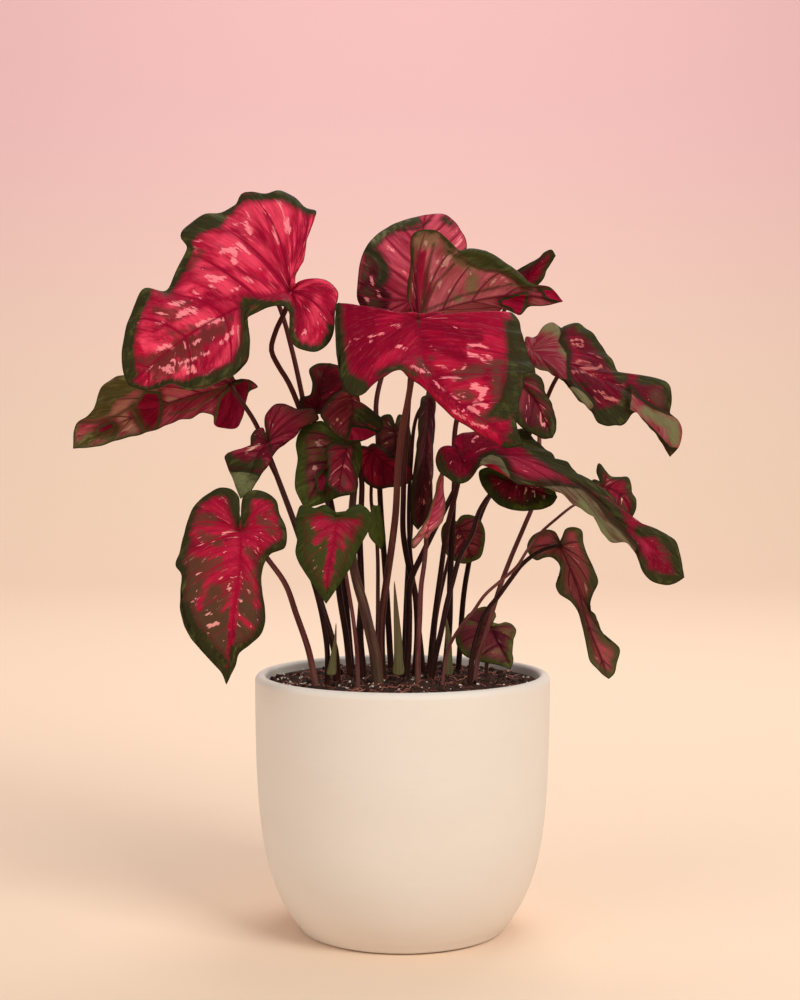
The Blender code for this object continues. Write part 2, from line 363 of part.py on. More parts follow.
# One stem: the blade it carries, the radii at its top and foot, and its way down to the soil.
STEMS = {
    "stem_big_left": dict(
        blade="blade_big_left", kind="dark", radii=(0.15, 0.2),
        way=[(-7.1, 37.6, -0.9), (-7.7, 36.3, -0.5), (-7.95, 35.2, -0.2), (-7.5, 34.2, 0.0),
             (-7, 33.4, 0.1), (-6.3, 31.8, 0.1), (-5.7, 30, 0.1), (-5.1, 28, 0.1), (-4.5, 26.5, 0.1),
             (-4.05, 23.5, 0.2), (-3.9, 20.8, 0.2), (-3.4, 17.5, 0.2), (-3.2, 15.3, 0.2)]),
    "stem_left_drooping": dict(
        blade="blade_left_drooping", kind="dark", radii=(0.13, 0.24),
        way=[(-10.2, 32.7, 0.1), (-9.5, 31.7, 0.2), (-9, 30.9, 0.4), (-8.3, 29.3, 0.2),
             (-7.5, 27.2, -0.2), (-6.5, 24.5, -0.8), (-5.2, 20.5, -1.4), (-4.5, 18.2, -1.8),
             (-4.15, 17, -1.9), (-4, 15.3, -1.9)]),
    "stem_top_back": dict(
        blade="blade_top_back", kind="dark", radii=(0.14, 0.2),
        way=[(0.2, 37.3, 4.7), (-0.5, 35.5, 4.4), (-1.2, 33.8, 3.9), (-1.6, 32, 3.3),
             (-1.5, 30, 2.7), (-1.35, 26, 2.3), (-1.0, 21, 2.3), (-0.7, 15.3, 2.2)]),
    "stem_top_folded": dict(
        blade="blade_top_folded", kind="dark", radii=(0.14, 0.2),
        way=[(0.75, 36.4, -0.3), (0.5, 34, -0.2), (0.3, 31, 0.0), (0.1, 28, 0.2), (0.05, 26.3, 0.3),
             (0.05, 24, 0.3), (0.35, 22.2, 0.3), (0.75, 20.5, 0.3), (0.9, 18.5, 0.3),
             (0.75, 15.3, 0.3)]),
    "stem_front_centre": dict(
        blade="blade_front_centre", kind="brown", radii=(0.17, 0.24),
        way=[(0.85, 35.6, -4.2), (0.55, 33.5, -3.4), (0.3, 32, -3.0), (0.1, 31, -2.7),
             (-0.2, 29, -2.3), (-0.45, 25, -1.7), (-0.7, 23, -1.5), (-1, 21, -1.3),
             (-1.25, 19, -1.2), (-1.3, 17, -1.1), (-1.2, 15.3, -1.0)]),
    "stem_right_back": dict(
        blade="blade_right_back", kind="dark", radii=(0.12, 0.22),
        way=[(6.2, 37.7, 3.4), (5.2, 35.4, 3.2), (4.0, 33, 2.6), (3.3, 31, 2.1), (3.15, 27, 1.7),
             (3, 24, 1.5), (2.9, 21, 1.4), (2.85, 18.6, 1.3), (2.6, 15.3, 1.2)]),
    "stem_right_twisted": dict(
        blade="blade_right_twisted", kind="pink", radii=(0.12, 0.16),
        way=[(7.9, 34.2, 1.7), (8.2, 32, 1.2), (8.3, 29, 0.6), (8, 26, 0.1), (7.4, 24.5, -0.2),
             (6.6, 22.6, -0.5), (6, 21, -0.7), (5.5, 19.4, -0.9), (5.05, 17.9, -1.2),
             (4.6, 16.4, -1.3), (4.4, 15.3, -1.3)]),
    "stem_behind_centre": dict(
        blade="blade_behind_centre", kind="dark", radii=(0.12, 0.22),
        way=[(6.3, 32.4, -0.7), (5.0, 30.4, -0.5), (3.9, 28.2, -0.5), (2.6, 25.6, -0.4),
             (1.3, 23, -0.4), (0.45, 21, -0.5), (0.4, 19, -0.6), (0.35, 17, -0.7),
             (0.2, 15.3, -0.8)]),
    "stem_long_arching": dict(
        blade="blade_long_arching", kind="dark", radii=(0.15, 0.18),
        way=[(3.5, 27.8, -1.8), (3.25, 26.6, -1.0), (2.75, 24.6, -0.4), (2.3, 21.5, -0.4),
             (1.85, 18, -0.5), (1.6, 15.3, -0.5)]),
    "stem_dark_lobe": dict(
        blade="blade_dark_lobe", kind="dark", radii=(0.13, 0.18),
        way=[(6.1, 27.1, -0.9), (5.3, 26.4, -0.7), (4.7, 25.5, -0.6), (4.2, 24, -0.6),
             (3.5, 22.7, -0.7), (3.1, 21.3, -1.0), (2.7, 19.8, -1.4), (2.4, 18.3, -1.7),
             (2.0, 16.5, -1.9), (1.75, 15.3, -1.9)]),
    "stem_small_right": dict(
        blade="blade_small_right", kind="pink", radii=(0.08, 0.11),
        way=[(11.7, 26.4, 0.1), (10.6, 25.9, -0.5), (9.4, 25, -1.6), (8.3, 24, -2.3),
             (7.5, 22.9, -2.7), (7, 22.1, -2.9), (6, 21.2, -3.1), (5, 20.3, -3.2), (4.3, 19.3, -3.2),
             (3.5, 18.3, -3.1), (2.9, 17.3, -3.0), (2.4, 15.3, -3.0)]),
    "stem_hanging_lance": dict(
        blade="blade_hanging_lance", kind="dark", radii=(0.12, 0.17),
        way=[(9.2, 23.3, -1.9), (8.2, 22.9, -2.1), (7.3, 22.2, -2.1), (6.6, 21.3, -2.1),
             (5.8, 20.2, -2.2), (5.1, 19.3, -2.3), (4.6, 18, -2.4), (4.25, 16.5, -2.5),
             (4.1, 15.3, -2.5)]),
    "stem_low_right": dict(
        blade="blade_low_right", kind="pink", radii=(0.1, 0.13),
        way=[(5.25, 17.6, -0.1), (5.15, 16.4, 0.2), (5.1, 15.3, 0.2)]),
    "stem_round_back": dict(
        blade="blade_round_back", kind="brown", radii=(0.1, 0.14),
        way=[(3.1, 23.6, 3.6), (2.5, 21.2, 3.4), (2.0, 18.5, 3.0), (1.9, 15.3, 2.8)]),
    "stem_pink_furled": dict(
        blade="blade_pink_furled", kind="pink", radii=(0.13, 0.18),
        way=[(1.42, 23.3, -1.5), (1.32, 22.2, -1.7), (1.15, 21, -2.0), (1.05, 19, -2.2),
             (0.95, 17, -2.4), (0.93, 15.3, -2.5)]),
    "stem_edge_on": dict(
        blade="blade_edge_on", kind="dark", radii=(0.11, 0.15),
        way=[(1.0, 31.5, 2.0), (0.5, 28, 2.6), (0.4, 24, 2.3), (0.8, 20, 2.0), (1.1, 17.5, 1.7),
             (1.3, 15.3, 1.5)]),
    "stem_heart_front": dict(
        blade="blade_heart_front", kind="pink", radii=(0.1, 0.13),
        way=[(-3.9, 24.4, -4.8), (-3.6, 22.6, -4.7), (-3.35, 21, -4.5), (-3, 18.8, -4.2),
             (-2.8, 17, -4.0), (-2.7, 15.3, -3.9)]),
    "stem_heart_left": dict(
        blade="blade_heart_left", kind="pink", radii=(0.14, 0.2),
        way=[(-9.5, 23.9, -5.3), (-8.9, 23.4, -5.2), (-8.2, 22.5, -5.1), (-7.15, 21, -4.7),
             (-6.5, 19.2, -4.2), (-5.7, 16.8, -3.7), (-5.3, 15.3, -3.5)]),
    "stem_left_centre": dict(
        blade="blade_left_centre", kind="dark", radii=(0.12, 0.17),
        way=[(-8.2, 28.8, -0.6), (-7.6, 27.4, -0.9), (-6.9, 25.6, -1.5), (-5.7, 22, -2.3),
             (-4.9, 19, -2.9), (-4.6, 17, -3.0), (-4.6, 15.3, -3.0)]),
    "stem_spotted": dict(
        blade="blade_spotted", kind="dark", radii=(0.15, 0.24),
        way=[(-2.9, 28.9, 0.1), (-2.5, 27.4, 0.3), (-2.5, 25.9, 0.3), (-2.6, 24, 0.2),
             (-2.55, 22, 0.1), (-2.5, 20, 0.0), (-2.6, 18, -0.1), (-2.4, 15.3, -0.2)]),
    "stem_dark_centre": dict(
        blade="blade_dark_centre", kind="pale", radii=(0.14, 0.36),
        way=[(-2.95, 31.7, -0.6), (-2.8, 30, 0.6), (-2.9, 27.5, 0.9), (-3.1, 25, 0.2), (-2.9, 21.6, -1.8),
             (-2.7, 20.8, -2.3), (-2.4, 19.8, -2.5), (-2.1, 18.5, -2.7), (-1.75, 17, -2.8),
             (-1.5, 15.3, -2.8)]),
    "stem_red_centre": dict(
        blade="blade_red_centre", kind="brown", radii=(0.1, 0.14),
        way=[(-1.85, 28.2, 2.4), (-1.9, 26, 1.5), (-1.6, 24, 1.1), (-1.5, 20, 1.0), (-1.6, 15.3, 0.9)]),
    "stem_back_left": dict(
        blade="blade_back_left", kind="dark", radii=(0.14, 0.2),
        way=[(-8.1, 39.4, 3.4), (-7.3, 37.4, 3.3), (-6.7, 35.2, 3.3), (-5.7, 30.6, 3.2),
             (-4.6, 26.2, 3.0), (-3.6, 21.0, 2.7), (-3.1, 15.3, 2.4)]),
    "stem_back_centre": dict(
        blade="blade_back_centre", kind="dark", radii=(0.14, 0.2),
        way=[(2.0, 34.4, 5.6), (1.3, 31.0, 5.0), (0.7, 27.0, 4.8), (0.3, 21.0, 4.2),
             (0.1, 15.3, 3.8)]),
    "stem_back_right": dict(
        blade="blade_back_right", kind="dark", radii=(0.13, 0.18),
        way=[(9.4, 33.6, 4.6), (8.3, 31.2, 4.4), (6.8, 28.6, 4.0), (5.0, 25.8, 3.8),
             (3.9, 21.5, 3.2), (3.4, 15.3, 2.6)]),
}

# A sheath is a narrow pointed wrap at a stem's foot: its rib runs up from the soil.
SHEATHS = {
    "sheath_left": dict(
        face=1, kind="sheath", cells=(8, 2), bulge=0.05, wave=(0.0, 1, 0.0),
        rib=[(-4.35, 15.5, -3.7), (-4.2, 16.4, -3.55), (-4.1, 17.4, -3.45), (-4.05, 18.6, -3.4)],
        notch=(-4.35, 15.35, -3.7),
        left=[(-4.0, 15.4), (-3.85, 16.3), (-3.9, 17.3), (-4.0, 18.1)],
        left_depth=[-3.5, -3.3, -3.3],
        right=[(-4.7, 15.4), (-4.6, 16.4), (-4.35, 17.4), (-4.15, 18.1)],
        right_depth=[-3.5, -3.4, -3.4]),
    "sheath_centre": dict(
        face=1, kind="sheath", cells=(8, 2), bulge=0.05, wave=(0.0, 1, 0.0),
        rib=[(-0.25, 15.5, -2.4), (-0.3, 17.2, -2.2), (-0.35, 19.0, -2.0), (-0.5, 21.2, -1.9)],
        notch=(-0.25, 15.35, -2.4),
        left=[(0.15, 15.4), (0.2, 17.0), (0.1, 18.6), (-0.35, 20.6)],
        left_depth=[-2.1, -1.9, -1.8],
        right=[(-0.6, 15.4), (-0.65, 17.0), (-0.65, 18.8), (-0.6, 20.6)],
        right_depth=[-2.2, -2.1, -1.9]),
    "sheath_right": dict(
        face=1, kind="sheath", cells=(8, 2), bulge=0.05, wave=(0.0, 1, 0.0),
        rib=[(2.8, 15.5, -1.2), (2.9, 16.6, -1.0), (2.85, 17.8, -0.8), (2.6, 19.2, -0.7)],
        notch=(2.8, 15.35, -1.2),
        left=[(3.15, 15.4), (3.2, 16.6), (3.1, 17.6), (2.8, 18.7)],
        left_depth=[-0.9, -0.7, -0.6],
        right=[(2.45, 15.4), (2.5, 16.6), (2.5, 17.8), (2.5, 18.7)],
        right_depth=[-1.1, -0.9, -0.7]),
}

# Plain colours and roughness, one material for each kind of surface.
FINISHES = {
    "ceramic": ((0.80, 0.74, 0.66), 0.55),
    "soil": ((0.045, 0.03, 0.022), 0.95),
    "crimson": ((0.45, 0.03, 0.05), 0.38),
    "red": ((0.40, 0.02, 0.04), 0.42),
    "pink": ((0.72, 0.22, 0.26), 0.42),
    "olive": ((0.10, 0.10, 0.05), 0.40),
    "green": ((0.09, 0.14, 0.06), 0.40),
    "underside": ((0.33, 0.20, 0.17), 0.55),
    "stem_dark": ((0.06, 0.02, 0.02), 0.45),
    "stem_brown": ((0.20, 0.09, 0.06), 0.45),
    "stem_pink": ((0.50, 0.20, 0.17), 0.45),
    "stem_pale": ((0.48, 0.33, 0.22), 0.45),
    "sheath": ((0.20, 0.19, 0.09), 0.5),
}


def unit(vector):
    return vector / np.linalg.norm(vector)


def placed(points):
    """Points (across, up, depth) moved along their lines of sight to their depth."""
    points = np.asarray(points, float)
    flat = np.stack([points[:, 0], np.zeros(len(points)), points[:, 1]], axis=1)
    return EYE + (flat - EYE) * (1.0 + points[:, 2:3] / -EYE[1])


def shares(points):
    """The share of the whole chord length reached at each point."""
    steps = np.linalg.norm(np.diff(points, axis=0), axis=1)
    return np.concatenate([[0.0], np.cumsum(steps)]) / steps.sum()


def smooth_line(points, at):
    """A smooth curve through the points, read at these shares of its chord length."""
    points = np.asarray(points, float)
    knots = shares(points)
    slopes = np.gradient(points, knots, axis=0)
    i = np.clip(np.searchsorted(knots, at, side="right") - 1, 0, len(points) - 2)
    span = (knots[i + 1] - knots[i])[:, None]
    t = (at[:, None] - knots[i][:, None]) / span
    return (
        (2 * t**3 - 3 * t**2 + 1) * points[i]
        + (t**3 - 2 * t**2 + t) * span * slopes[i]
        + (3 * t**2 - 2 * t**3) * points[i + 1]
        + (t**3 - t**2) * span * slopes[i + 1]
    )


def margin_points(blade, side):
    """The margin from notch to tip, with its depths spread evenly along it."""
    notch, tip = blade["notch"], blade["rib"][-1]
    flat = np.array([notch[:2], *blade[side], tip[:2]], float)
    depths = np.array([notch[2], *blade[side + "_depth"], tip[2]])
    along = np.interp(shares(flat), np.linspace(0, 1, len(depths)), depths)
    return placed(np.column_stack([flat, along]))


def blade_frame(blade):
    """Rib, left and right margins and the upper-face normal; left and right swap so the normal is true."""
    rib = placed(blade["rib"])
    left, right = margin_points(blade, "left"), margin_points(blade, "right")
    normal = unit(np.cross(right.mean(axis=0) - left.mean(axis=0), rib[-1] - rib[0]))
    if (normal @ (EYE - rib[0]) > 0) != (blade["face"] > 0):
        left, right, normal = right, left, -normal
    return rib, left, right, normal


def rib_share(u):
    """Where on the rib the vein leaves that reaches the margin at u: the joint itself for the basal lobe."""
    return np.clip((u - RIB_START) / (1.0 - RIB_START), 0.0, 1.0) ** RIB_POWER


def half_blade(rib, margin, normal, blade, u, v):
    """One half as a grid: a ruled sheet from rib to margin, bulged between them and waved at the margin.

    P = (1 - v) rib(s(u)) + v margin(u) + N (bulge 4 v (1 - v) (1 - u^6) + wave v^2 sin(pi u) sin(2 pi f u + p)).
    """
    root = smooth_line(rib, rib_share(u))[:, None, :]
    edge = smooth_line(margin, u)[:, None, :]
    height, cycles, phase = blade["wave"]
    lift = blade["bulge"] * 4 * v * (1 - v) * (1 - u[:, None] ** 6)
    lift = lift + height * v**2 * np.sin(math.pi * u[:, None]) * np.sin(
        2 * math.pi * cycles * u[:, None] + phase
    )
    return (1 - v[None, :, None]) * root + v[None, :, None] * edge + lift[:, :, None] * normal


def blade_mesh(blade):
    """Vertices and triangles of a blade's middle surface, its upper face outward."""
    rib, left, right, normal = blade_frame(blade)
    rows, columns = blade["cells"]
    u = np.linspace(0.0, 1.0, rows + 1)
    v = np.linspace(0.0, 1.0, columns + 1)
    corners, faces = [], []
    for margin, turned in ((left, False), (right, True)):
        grid = half_blade(rib, margin, normal, blade, u, v)
        first = len(corners)
        corners.extend(grid.reshape(-1, 3))
        for i in range(rows):
            for j in range(columns):
                a = first + i * (columns + 1) + j
                quad = [a, a + columns + 1, a + columns + 2, a + 1]
                for triangle in ((quad[0], quad[1], quad[2]), (quad[0], quad[2], quad[3])):
                    faces.append(triangle[::-1] if turned else triangle)
    return welded(np.array(corners), faces)


def welded(corners, faces):
    """The mesh with coincident corners made one and collapsed triangles left out."""
    _, first, index = np.unique(
        np.round(corners, 5), axis=0, return_index=True, return_inverse=True
    )
    index = index.reshape(-1)
    kept = [[int(index[c]) for c in face] for face in faces]
    return corners[first], [face for face in kept if len(set(face)) == 3]


def stem_line(stem):
    """Points down a stem: evenly spaced from under its blade's joint to the soil, then straight in."""
    way = placed(stem["way"])
    way[-1, 2] = soil_top(way[-1, 0], way[-1, 1])
    rib, _, _, normal = blade_frame(BLADES[stem["blade"]])
    slant = unit(way[0] - rib[0])
    across = math.sqrt(max(0.0, 1.0 - (slant @ normal) ** 2))
    drop = BLADE_THICKNESS / 2 + JOINT_GAP + stem["radii"][0] * across
    line = np.vstack([rib[0] - normal * drop, way])
    line = smooth_line(line, np.linspace(0.0, 1.0, STEM_STEPS))
    return np.vstack([line, line[-1] + HOLE_DEPTH * unit(line[-1] - line[-2])])


def soil_top(x, y):
    """Height of the soil: a low mound with a fixed fine relief that dies away at the wall."""
    radius = np.hypot(x, y) / (POT_RADIUS - POT_WALL)
    relief = (
        np.sin(2.3 * x + 0.7 * y + 0.4) * np.cos(1.9 * y - 0.6 * x)
        + 0.6 * np.sin(4.1 * x - 2.2 * y + 1.3)
        + 0.5 * np.cos(3.4 * y + 2.7 * x + 0.2)
    )
    inside = np.clip(1.0 - radius**4, 0.0, 1.0)
    return SOIL_LEVEL + SOIL_MOUND * (1.0 - radius**2) + SOIL_RELIEF * relief * inside


def wall_radius(z):
    return POT_RADIUS - POT_FLARE * math.exp(-z / POT_CURVE)


def inner_radius(z):
    """Inner radius of the wall, measured square to its slope."""
    slope = POT_FLARE / POT_CURVE * math.exp(-z / POT_CURVE)
    return wall_radius(z) - POT_WALL * math.sqrt(1.0 + slope**2)


def arc(centre, radius, start, end, count):
    angles = np.radians(np.linspace(start, end, count))
    return [(centre[0] + radius * math.cos(a), centre[1] + radius * math.sin(a)) for a in angles]


def pot_profile():
    """From the middle of the inner floor, up the inside, over the lip and down the outside."""
    profile = [(0.0, POT_FLOOR), (inner_radius(POT_FLOOR) - 0.5, POT_FLOOR)]
    inner_top = POT_HEIGHT - LIP_INNER_ROUND
    profile += [(inner_radius(z), z) for z in (1.4, 2.4, 3.8, 6.0, 9.5, inner_top - 0.3)]
    lip = wall_radius(POT_HEIGHT - LIP_OUTER_ROUND)
    inner = (lip - POT_WALL + LIP_INNER_ROUND, inner_top)
    profile += arc(inner, LIP_INNER_ROUND, 180, 100, 4)
    outer = (lip - LIP_OUTER_ROUND, POT_HEIGHT - LIP_OUTER_ROUND)
    profile += arc(outer, LIP_OUTER_ROUND, 90, 0, 5)
    profile += [(wall_radius(z), z) for z in (12.0, 9.0, 6.5, 4.5, 3.0, 2.0, 1.2, 0.6)]
    profile += [(wall_radius(POT_BASE_CORNER), POT_BASE_CORNER)]
    profile += [(POT_BASE_RADIUS + 0.3, 0.07), (POT_BASE_RADIUS, 0.0), (0.0, 0.0)]
    return profile


def material_of(kind):
    """The finish of this kind, made the first time that it is asked for."""
    if kind in bpy.data.materials:
        return bpy.data.materials[kind]
    colour, roughness = FINISHES[kind]
    made = bpy.data.materials.new(kind)
    made.use_nodes = True
    shader = made.node_tree.nodes["Principled BSDF"]
    shader.inputs["Base Color"].default_value = (*colour, 1.0)
    shader.inputs["Roughness"].default_value = roughness
    shader.inputs["Metallic"].default_value = 0.0
    made.diffuse_color = (*colour, 1.0)
    return made


def linked(name, data, kind, collection):
    """A new object for this mesh or curve, with the finish of its kind."""
    made = bpy.data.objects.new(name, data)
    collection.objects.link(made)
    if kind:
        data.materials.append(material_of(kind))
    return made


def add_pot(collection):
    """The pot's profile, turned about its axis."""
    profile = [(x * CM, 0.0, z * CM) for x, z in pot_profile()]
    mesh = bpy.data.meshes.new("pot")
    mesh.from_pydata(profile, [(i, i + 1) for i in range(len(profile) - 1)], [])
    pot = linked("pot", mesh, "ceramic", collection)
    screw = pot.modifiers.new("turned", "SCREW")
    screw.axis = "Z"
    screw.steps = TURNS
    screw.render_steps = TURNS
    screw.use_smooth_shade = True
    screw.use_merge_vertices = True
    screw.merge_threshold = MERGE


def add_soil(collection):
    """A plug that fills the pot: a profile spun into rings, then the top ones raised by the relief."""
    rim = inner_radius(SOIL_LEVEL) - GAP
    profile = [(rim * ring / SOIL_RINGS, SOIL_LEVEL) for ring in range(SOIL_RINGS + 1)]
    profile += [(inner_radius(z) - 2 * GAP, z) for z in (9.5, 6.0, 3.8, 2.4, 1.4 + GAP)]
    profile += [(inner_radius(POT_FLOOR) - 0.5, POT_FLOOR + GAP), (0.0, POT_FLOOR + GAP)]
    shape = bmesh.new()
    points = [shape.verts.new((x * CM, 0.0, z * CM)) for x, z in profile]
    edges = [shape.edges.new(pair) for pair in zip(points, points[1:])]
    bmesh.ops.spin(
        shape, geom=points + edges, axis=(0, 0, 1), cent=(0, 0, 0), steps=TURNS, angle=2 * math.pi
    )
    bmesh.ops.remove_doubles(shape, verts=shape.verts, dist=MERGE)
    for corner in shape.verts:
        if corner.co.z > (SOIL_LEVEL - GAP) * CM:
            corner.co.z = soil_top(corner.co.x / CM, corner.co.y / CM) * CM
    bmesh.ops.recalc_face_normals(shape, faces=shape.faces)
    mesh = bpy.data.meshes.new("soil")
    shape.to_mesh(mesh)
    shape.free()
    return linked("soil", mesh, "soil", collection)


def add_stem(name, stem, line, collection):
    """A stem as a bevelled curve that widens towards its foot."""
    top, foot = stem["radii"]
    curve = bpy.data.curves.new(name, "CURVE")
    curve.dimensions = "3D"
    curve.bevel_depth = foot * CM
    curve.bevel_resolution = STEM_BEVEL
    curve.use_fill_caps = True
    spline = curve.splines.new("POLY")
    spline.points.add(len(line) - 1)
    for k, point in enumerate(line):
        spline.points[k].co = (*(point * CM), 1.0)
        spline.points[k].radius = (top + (foot - top) * k / (len(line) - 1)) / foot
    return linked(name, curve, "stem_" + stem["kind"], collection)


def cut_holes(soil, lines, holes):
    """Cuts one plain straight hole in the soil for each stem's foot."""
    for name, (line, radius) in lines.items():
        down = unit(line[-1] - line[-2])
        high = line[-2] - HOLE_ABOVE * down
        low = line[-1] + HOLE_BELOW * down
        turn = Vector((0, 0, 1)).rotation_difference(Vector(down)).to_matrix().to_4x4()
        shape = bmesh.new()
        bmesh.ops.create_cone(
            shape, cap_ends=True, segments=HOLE_SIDES, radius1=radius * CM, radius2=radius * CM,
            depth=float(np.linalg.norm(high - low)) * CM,
            matrix=Matrix.Translation(Vector((high + low) / 2 * CM)) @ turn)
        mesh = bpy.data.meshes.new("hole_" + name)
        shape.to_mesh(mesh)
        shape.free()
        cutter = linked("hole_" + name, mesh, None, holes)
        cutter.hide_render = True
        cutter.display_type = "WIRE"
    cut = soil.modifiers.new("stem holes", "BOOLEAN")
    cut.operation = "DIFFERENCE"
    cut.operand_type = "COLLECTION"
    cut.collection = holes


def add_blade(name, blade, collection):
    """A blade's middle surface, given its thickness half to each side."""
    corners, faces = blade_mesh(blade)
    mesh = bpy.data.meshes.new(name)
    mesh.from_pydata((corners * CM).tolist(), [], faces)
    mesh.shade_smooth()
    sheet = linked(name, mesh, blade["kind"], collection)
    wall = sheet.modifiers.new("thickness", "SOLIDIFY")
    wall.thickness = BLADE_THICKNESS * CM
    wall.offset = 0.0


def clear_scene():
    for item in list(bpy.data.objects):
        bpy.data.objects.remove(item, do_unlink=True)


def build():
    clear_scene()
    plant = bpy.data.collections.new("Potted caladium")
    holes = bpy.data.collections.new("Stem holes")
    bpy.context.scene.collection.children.link(plant)
    bpy.context.scene.collection.children.link(holes)
    add_pot(plant)
    soil = add_soil(plant)
    lines = {}
    for name, stem in STEMS.items():
        line = stem_line(stem)
        lines[name] = (line, stem["radii"][1] + HOLE_CLEARANCE)
        add_stem(name, stem, line, plant)
    cut_holes(soil, lines, holes)
    for name, blade in {**BLADES, **SHEATHS}.items():
        add_blade(name, blade, plant)


build()
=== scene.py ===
# %% [markdown]
# # A potted caladium
# A caladium is grown for its leaves: thin heart-shaped blades, crimson in the middle and green round the
# edge, each on its own long stem that rises straight from the soil. This lesson dresses a plain model of
# one, made in separate solids, with fine blades, stems, soil and glaze. Everything is worked out in
# centimetres from a few tables and turned into metres when a mesh is made, so that the numbers stay easy
# to read next to a ruler.
#
# The plain model comes in first. The dressed plant may not outgrow it.

# %% The plain model
import math

import bpy
import numpy as np
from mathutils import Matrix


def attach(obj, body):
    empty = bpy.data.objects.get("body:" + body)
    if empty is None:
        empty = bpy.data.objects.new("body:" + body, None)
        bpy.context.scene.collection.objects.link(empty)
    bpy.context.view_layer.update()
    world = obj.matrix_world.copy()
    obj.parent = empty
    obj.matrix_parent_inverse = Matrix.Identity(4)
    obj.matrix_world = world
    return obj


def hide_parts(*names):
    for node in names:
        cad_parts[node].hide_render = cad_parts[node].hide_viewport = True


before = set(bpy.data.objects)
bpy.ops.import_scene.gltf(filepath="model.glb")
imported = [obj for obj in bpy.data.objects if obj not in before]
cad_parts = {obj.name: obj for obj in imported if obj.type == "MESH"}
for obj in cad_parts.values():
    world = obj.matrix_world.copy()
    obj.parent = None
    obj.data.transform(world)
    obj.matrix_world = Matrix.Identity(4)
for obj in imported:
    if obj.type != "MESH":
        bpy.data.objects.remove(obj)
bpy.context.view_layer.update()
CM = 0.01

# %% [markdown]
# ## The camera
# The photograph looks slightly down on the plant from about a metre away. A camera's lens length and its
# distance can trade places in a picture, but only one pair gives the right opening of the pot's rim, so
# both were settled on the rim first. The frame is upright, and Blender's sensor width then belongs to
# its long side.

# %% Camera
EYE = np.array([-0.15, -105.0, 30.0])
LOOK_DOWN = 2.12
LENS = 62.2
SENSOR = 36.0

lens = bpy.data.cameras.new("camera")
lens.lens = LENS
lens.sensor_width = SENSOR
lens.clip_start = 0.05
lens.clip_end = 50.0
camera = bpy.data.objects.new("camera", lens)
camera.location = EYE * CM
camera.rotation_euler = (math.radians(90.0 - LOOK_DOWN), 0.0, 0.0)
bpy.context.scene.collection.objects.link(camera)
bpy.context.scene.camera = camera
print("camera height", round(camera.location.z, 3), "m")

# %% [markdown]
# ## Light
# A big soft lamp stands in front and to the right, so the right of the pot is lightest and the shadow
# gathers at the left of its foot. A weaker lamp at the left keeps the shaded stems readable, and one from
# behind and above picks out the edges of the blades. The sky is a plain pale glow that fills the rest.
# The plain view transform shows the colours as they are: the filmic one would pale the deep crimsons.

# %% Lamps and sky
LAMPS = {
    "key": dict(place=(1.25, -1.45, 1.45), size=1.0, power=34.0, colour=(0.96, 0.99, 1.0)),
    "fill": dict(place=(-1.6, -1.3, 0.8), size=1.6, power=15.0, colour=(0.97, 0.98, 1.0)),
    "top": dict(place=(0.35, 0.8, 1.7), size=1.0, power=10.0, colour=(0.97, 0.98, 1.0)),
    "wall": dict(place=(0.0, 1.6, 3.2), size=3.0, power=79.0, colour=(0.97, 0.97, 1.0), aim=(0.0, 4.6, 1.2)),
}
PLANT_MIDDLE = (0.0, 0.0, 0.24)
SKY = (0.97, 0.97, 1.0)
SKY_POWER = 0.36


def add_lamp(name, place, size, power, colour, aim=PLANT_MIDDLE):
    """A square lamp at a place in metres, turned to face its aim."""
    data = bpy.data.lights.new(name, "AREA")
    data.size = size
    data.energy = power
    data.color = colour
    lamp = bpy.data.objects.new(name, data)
    lamp.location = place
    away = np.array(place) - aim
    lamp.rotation_euler = (
        math.atan2(math.hypot(away[0], away[1]), away[2]),
        0.0,
        math.atan2(away[1], away[0]) + math.pi / 2,
    )
    bpy.context.scene.collection.objects.link(lamp)
    return lamp


for name, lamp in LAMPS.items():
    add_lamp(name, **lamp)
sky = bpy.data.worlds.new("sky")
sky.use_nodes = True
sky.node_tree.nodes["Background"].inputs["Color"].default_value = (*SKY, 1.0)
sky.node_tree.nodes["Background"].inputs["Strength"].default_value = SKY_POWER
bpy.context.scene.world = sky
bpy.context.scene.view_settings.view_transform = "Standard"
print("lamps:", ", ".join(LAMPS))

# %% [markdown]
# ## Short ways to write a finish
# A finish in Blender is a tree of small nodes. Written out in full it is mostly bookkeeping, so this
# helper gives each common node a short name: noise, cells, a soft step between two values, and a mix of
# two colours. Colours are given as they are read off a screen, from 0 to 255, and turned into the
# linear values that light needs.

# %% Finish helper
def paint(red, green, blue):
    """A screen colour as linear light: c / 12.92 when dark, else ((c + 0.055) / 1.055) to the power 2.4."""
    c = np.array([red, green, blue]) / 255.0
    return tuple(np.where(c <= 0.04045, c / 12.92, ((c + 0.055) / 1.055) ** 2.4))


def scaled(colour, share):
    return tuple(share * c for c in colour)


def both(first, share, second, other_share):
    """The sum of two colours, each scaled by its share."""
    return tuple(share * a + other_share * b for a, b in zip(first, second))


def looks(**shares):
    """Shares for a finish; the colours among them are given as on the screen, from 0 to 255."""
    return {key: paint(*value) if isinstance(value, tuple) else value for key, value in shares.items()}


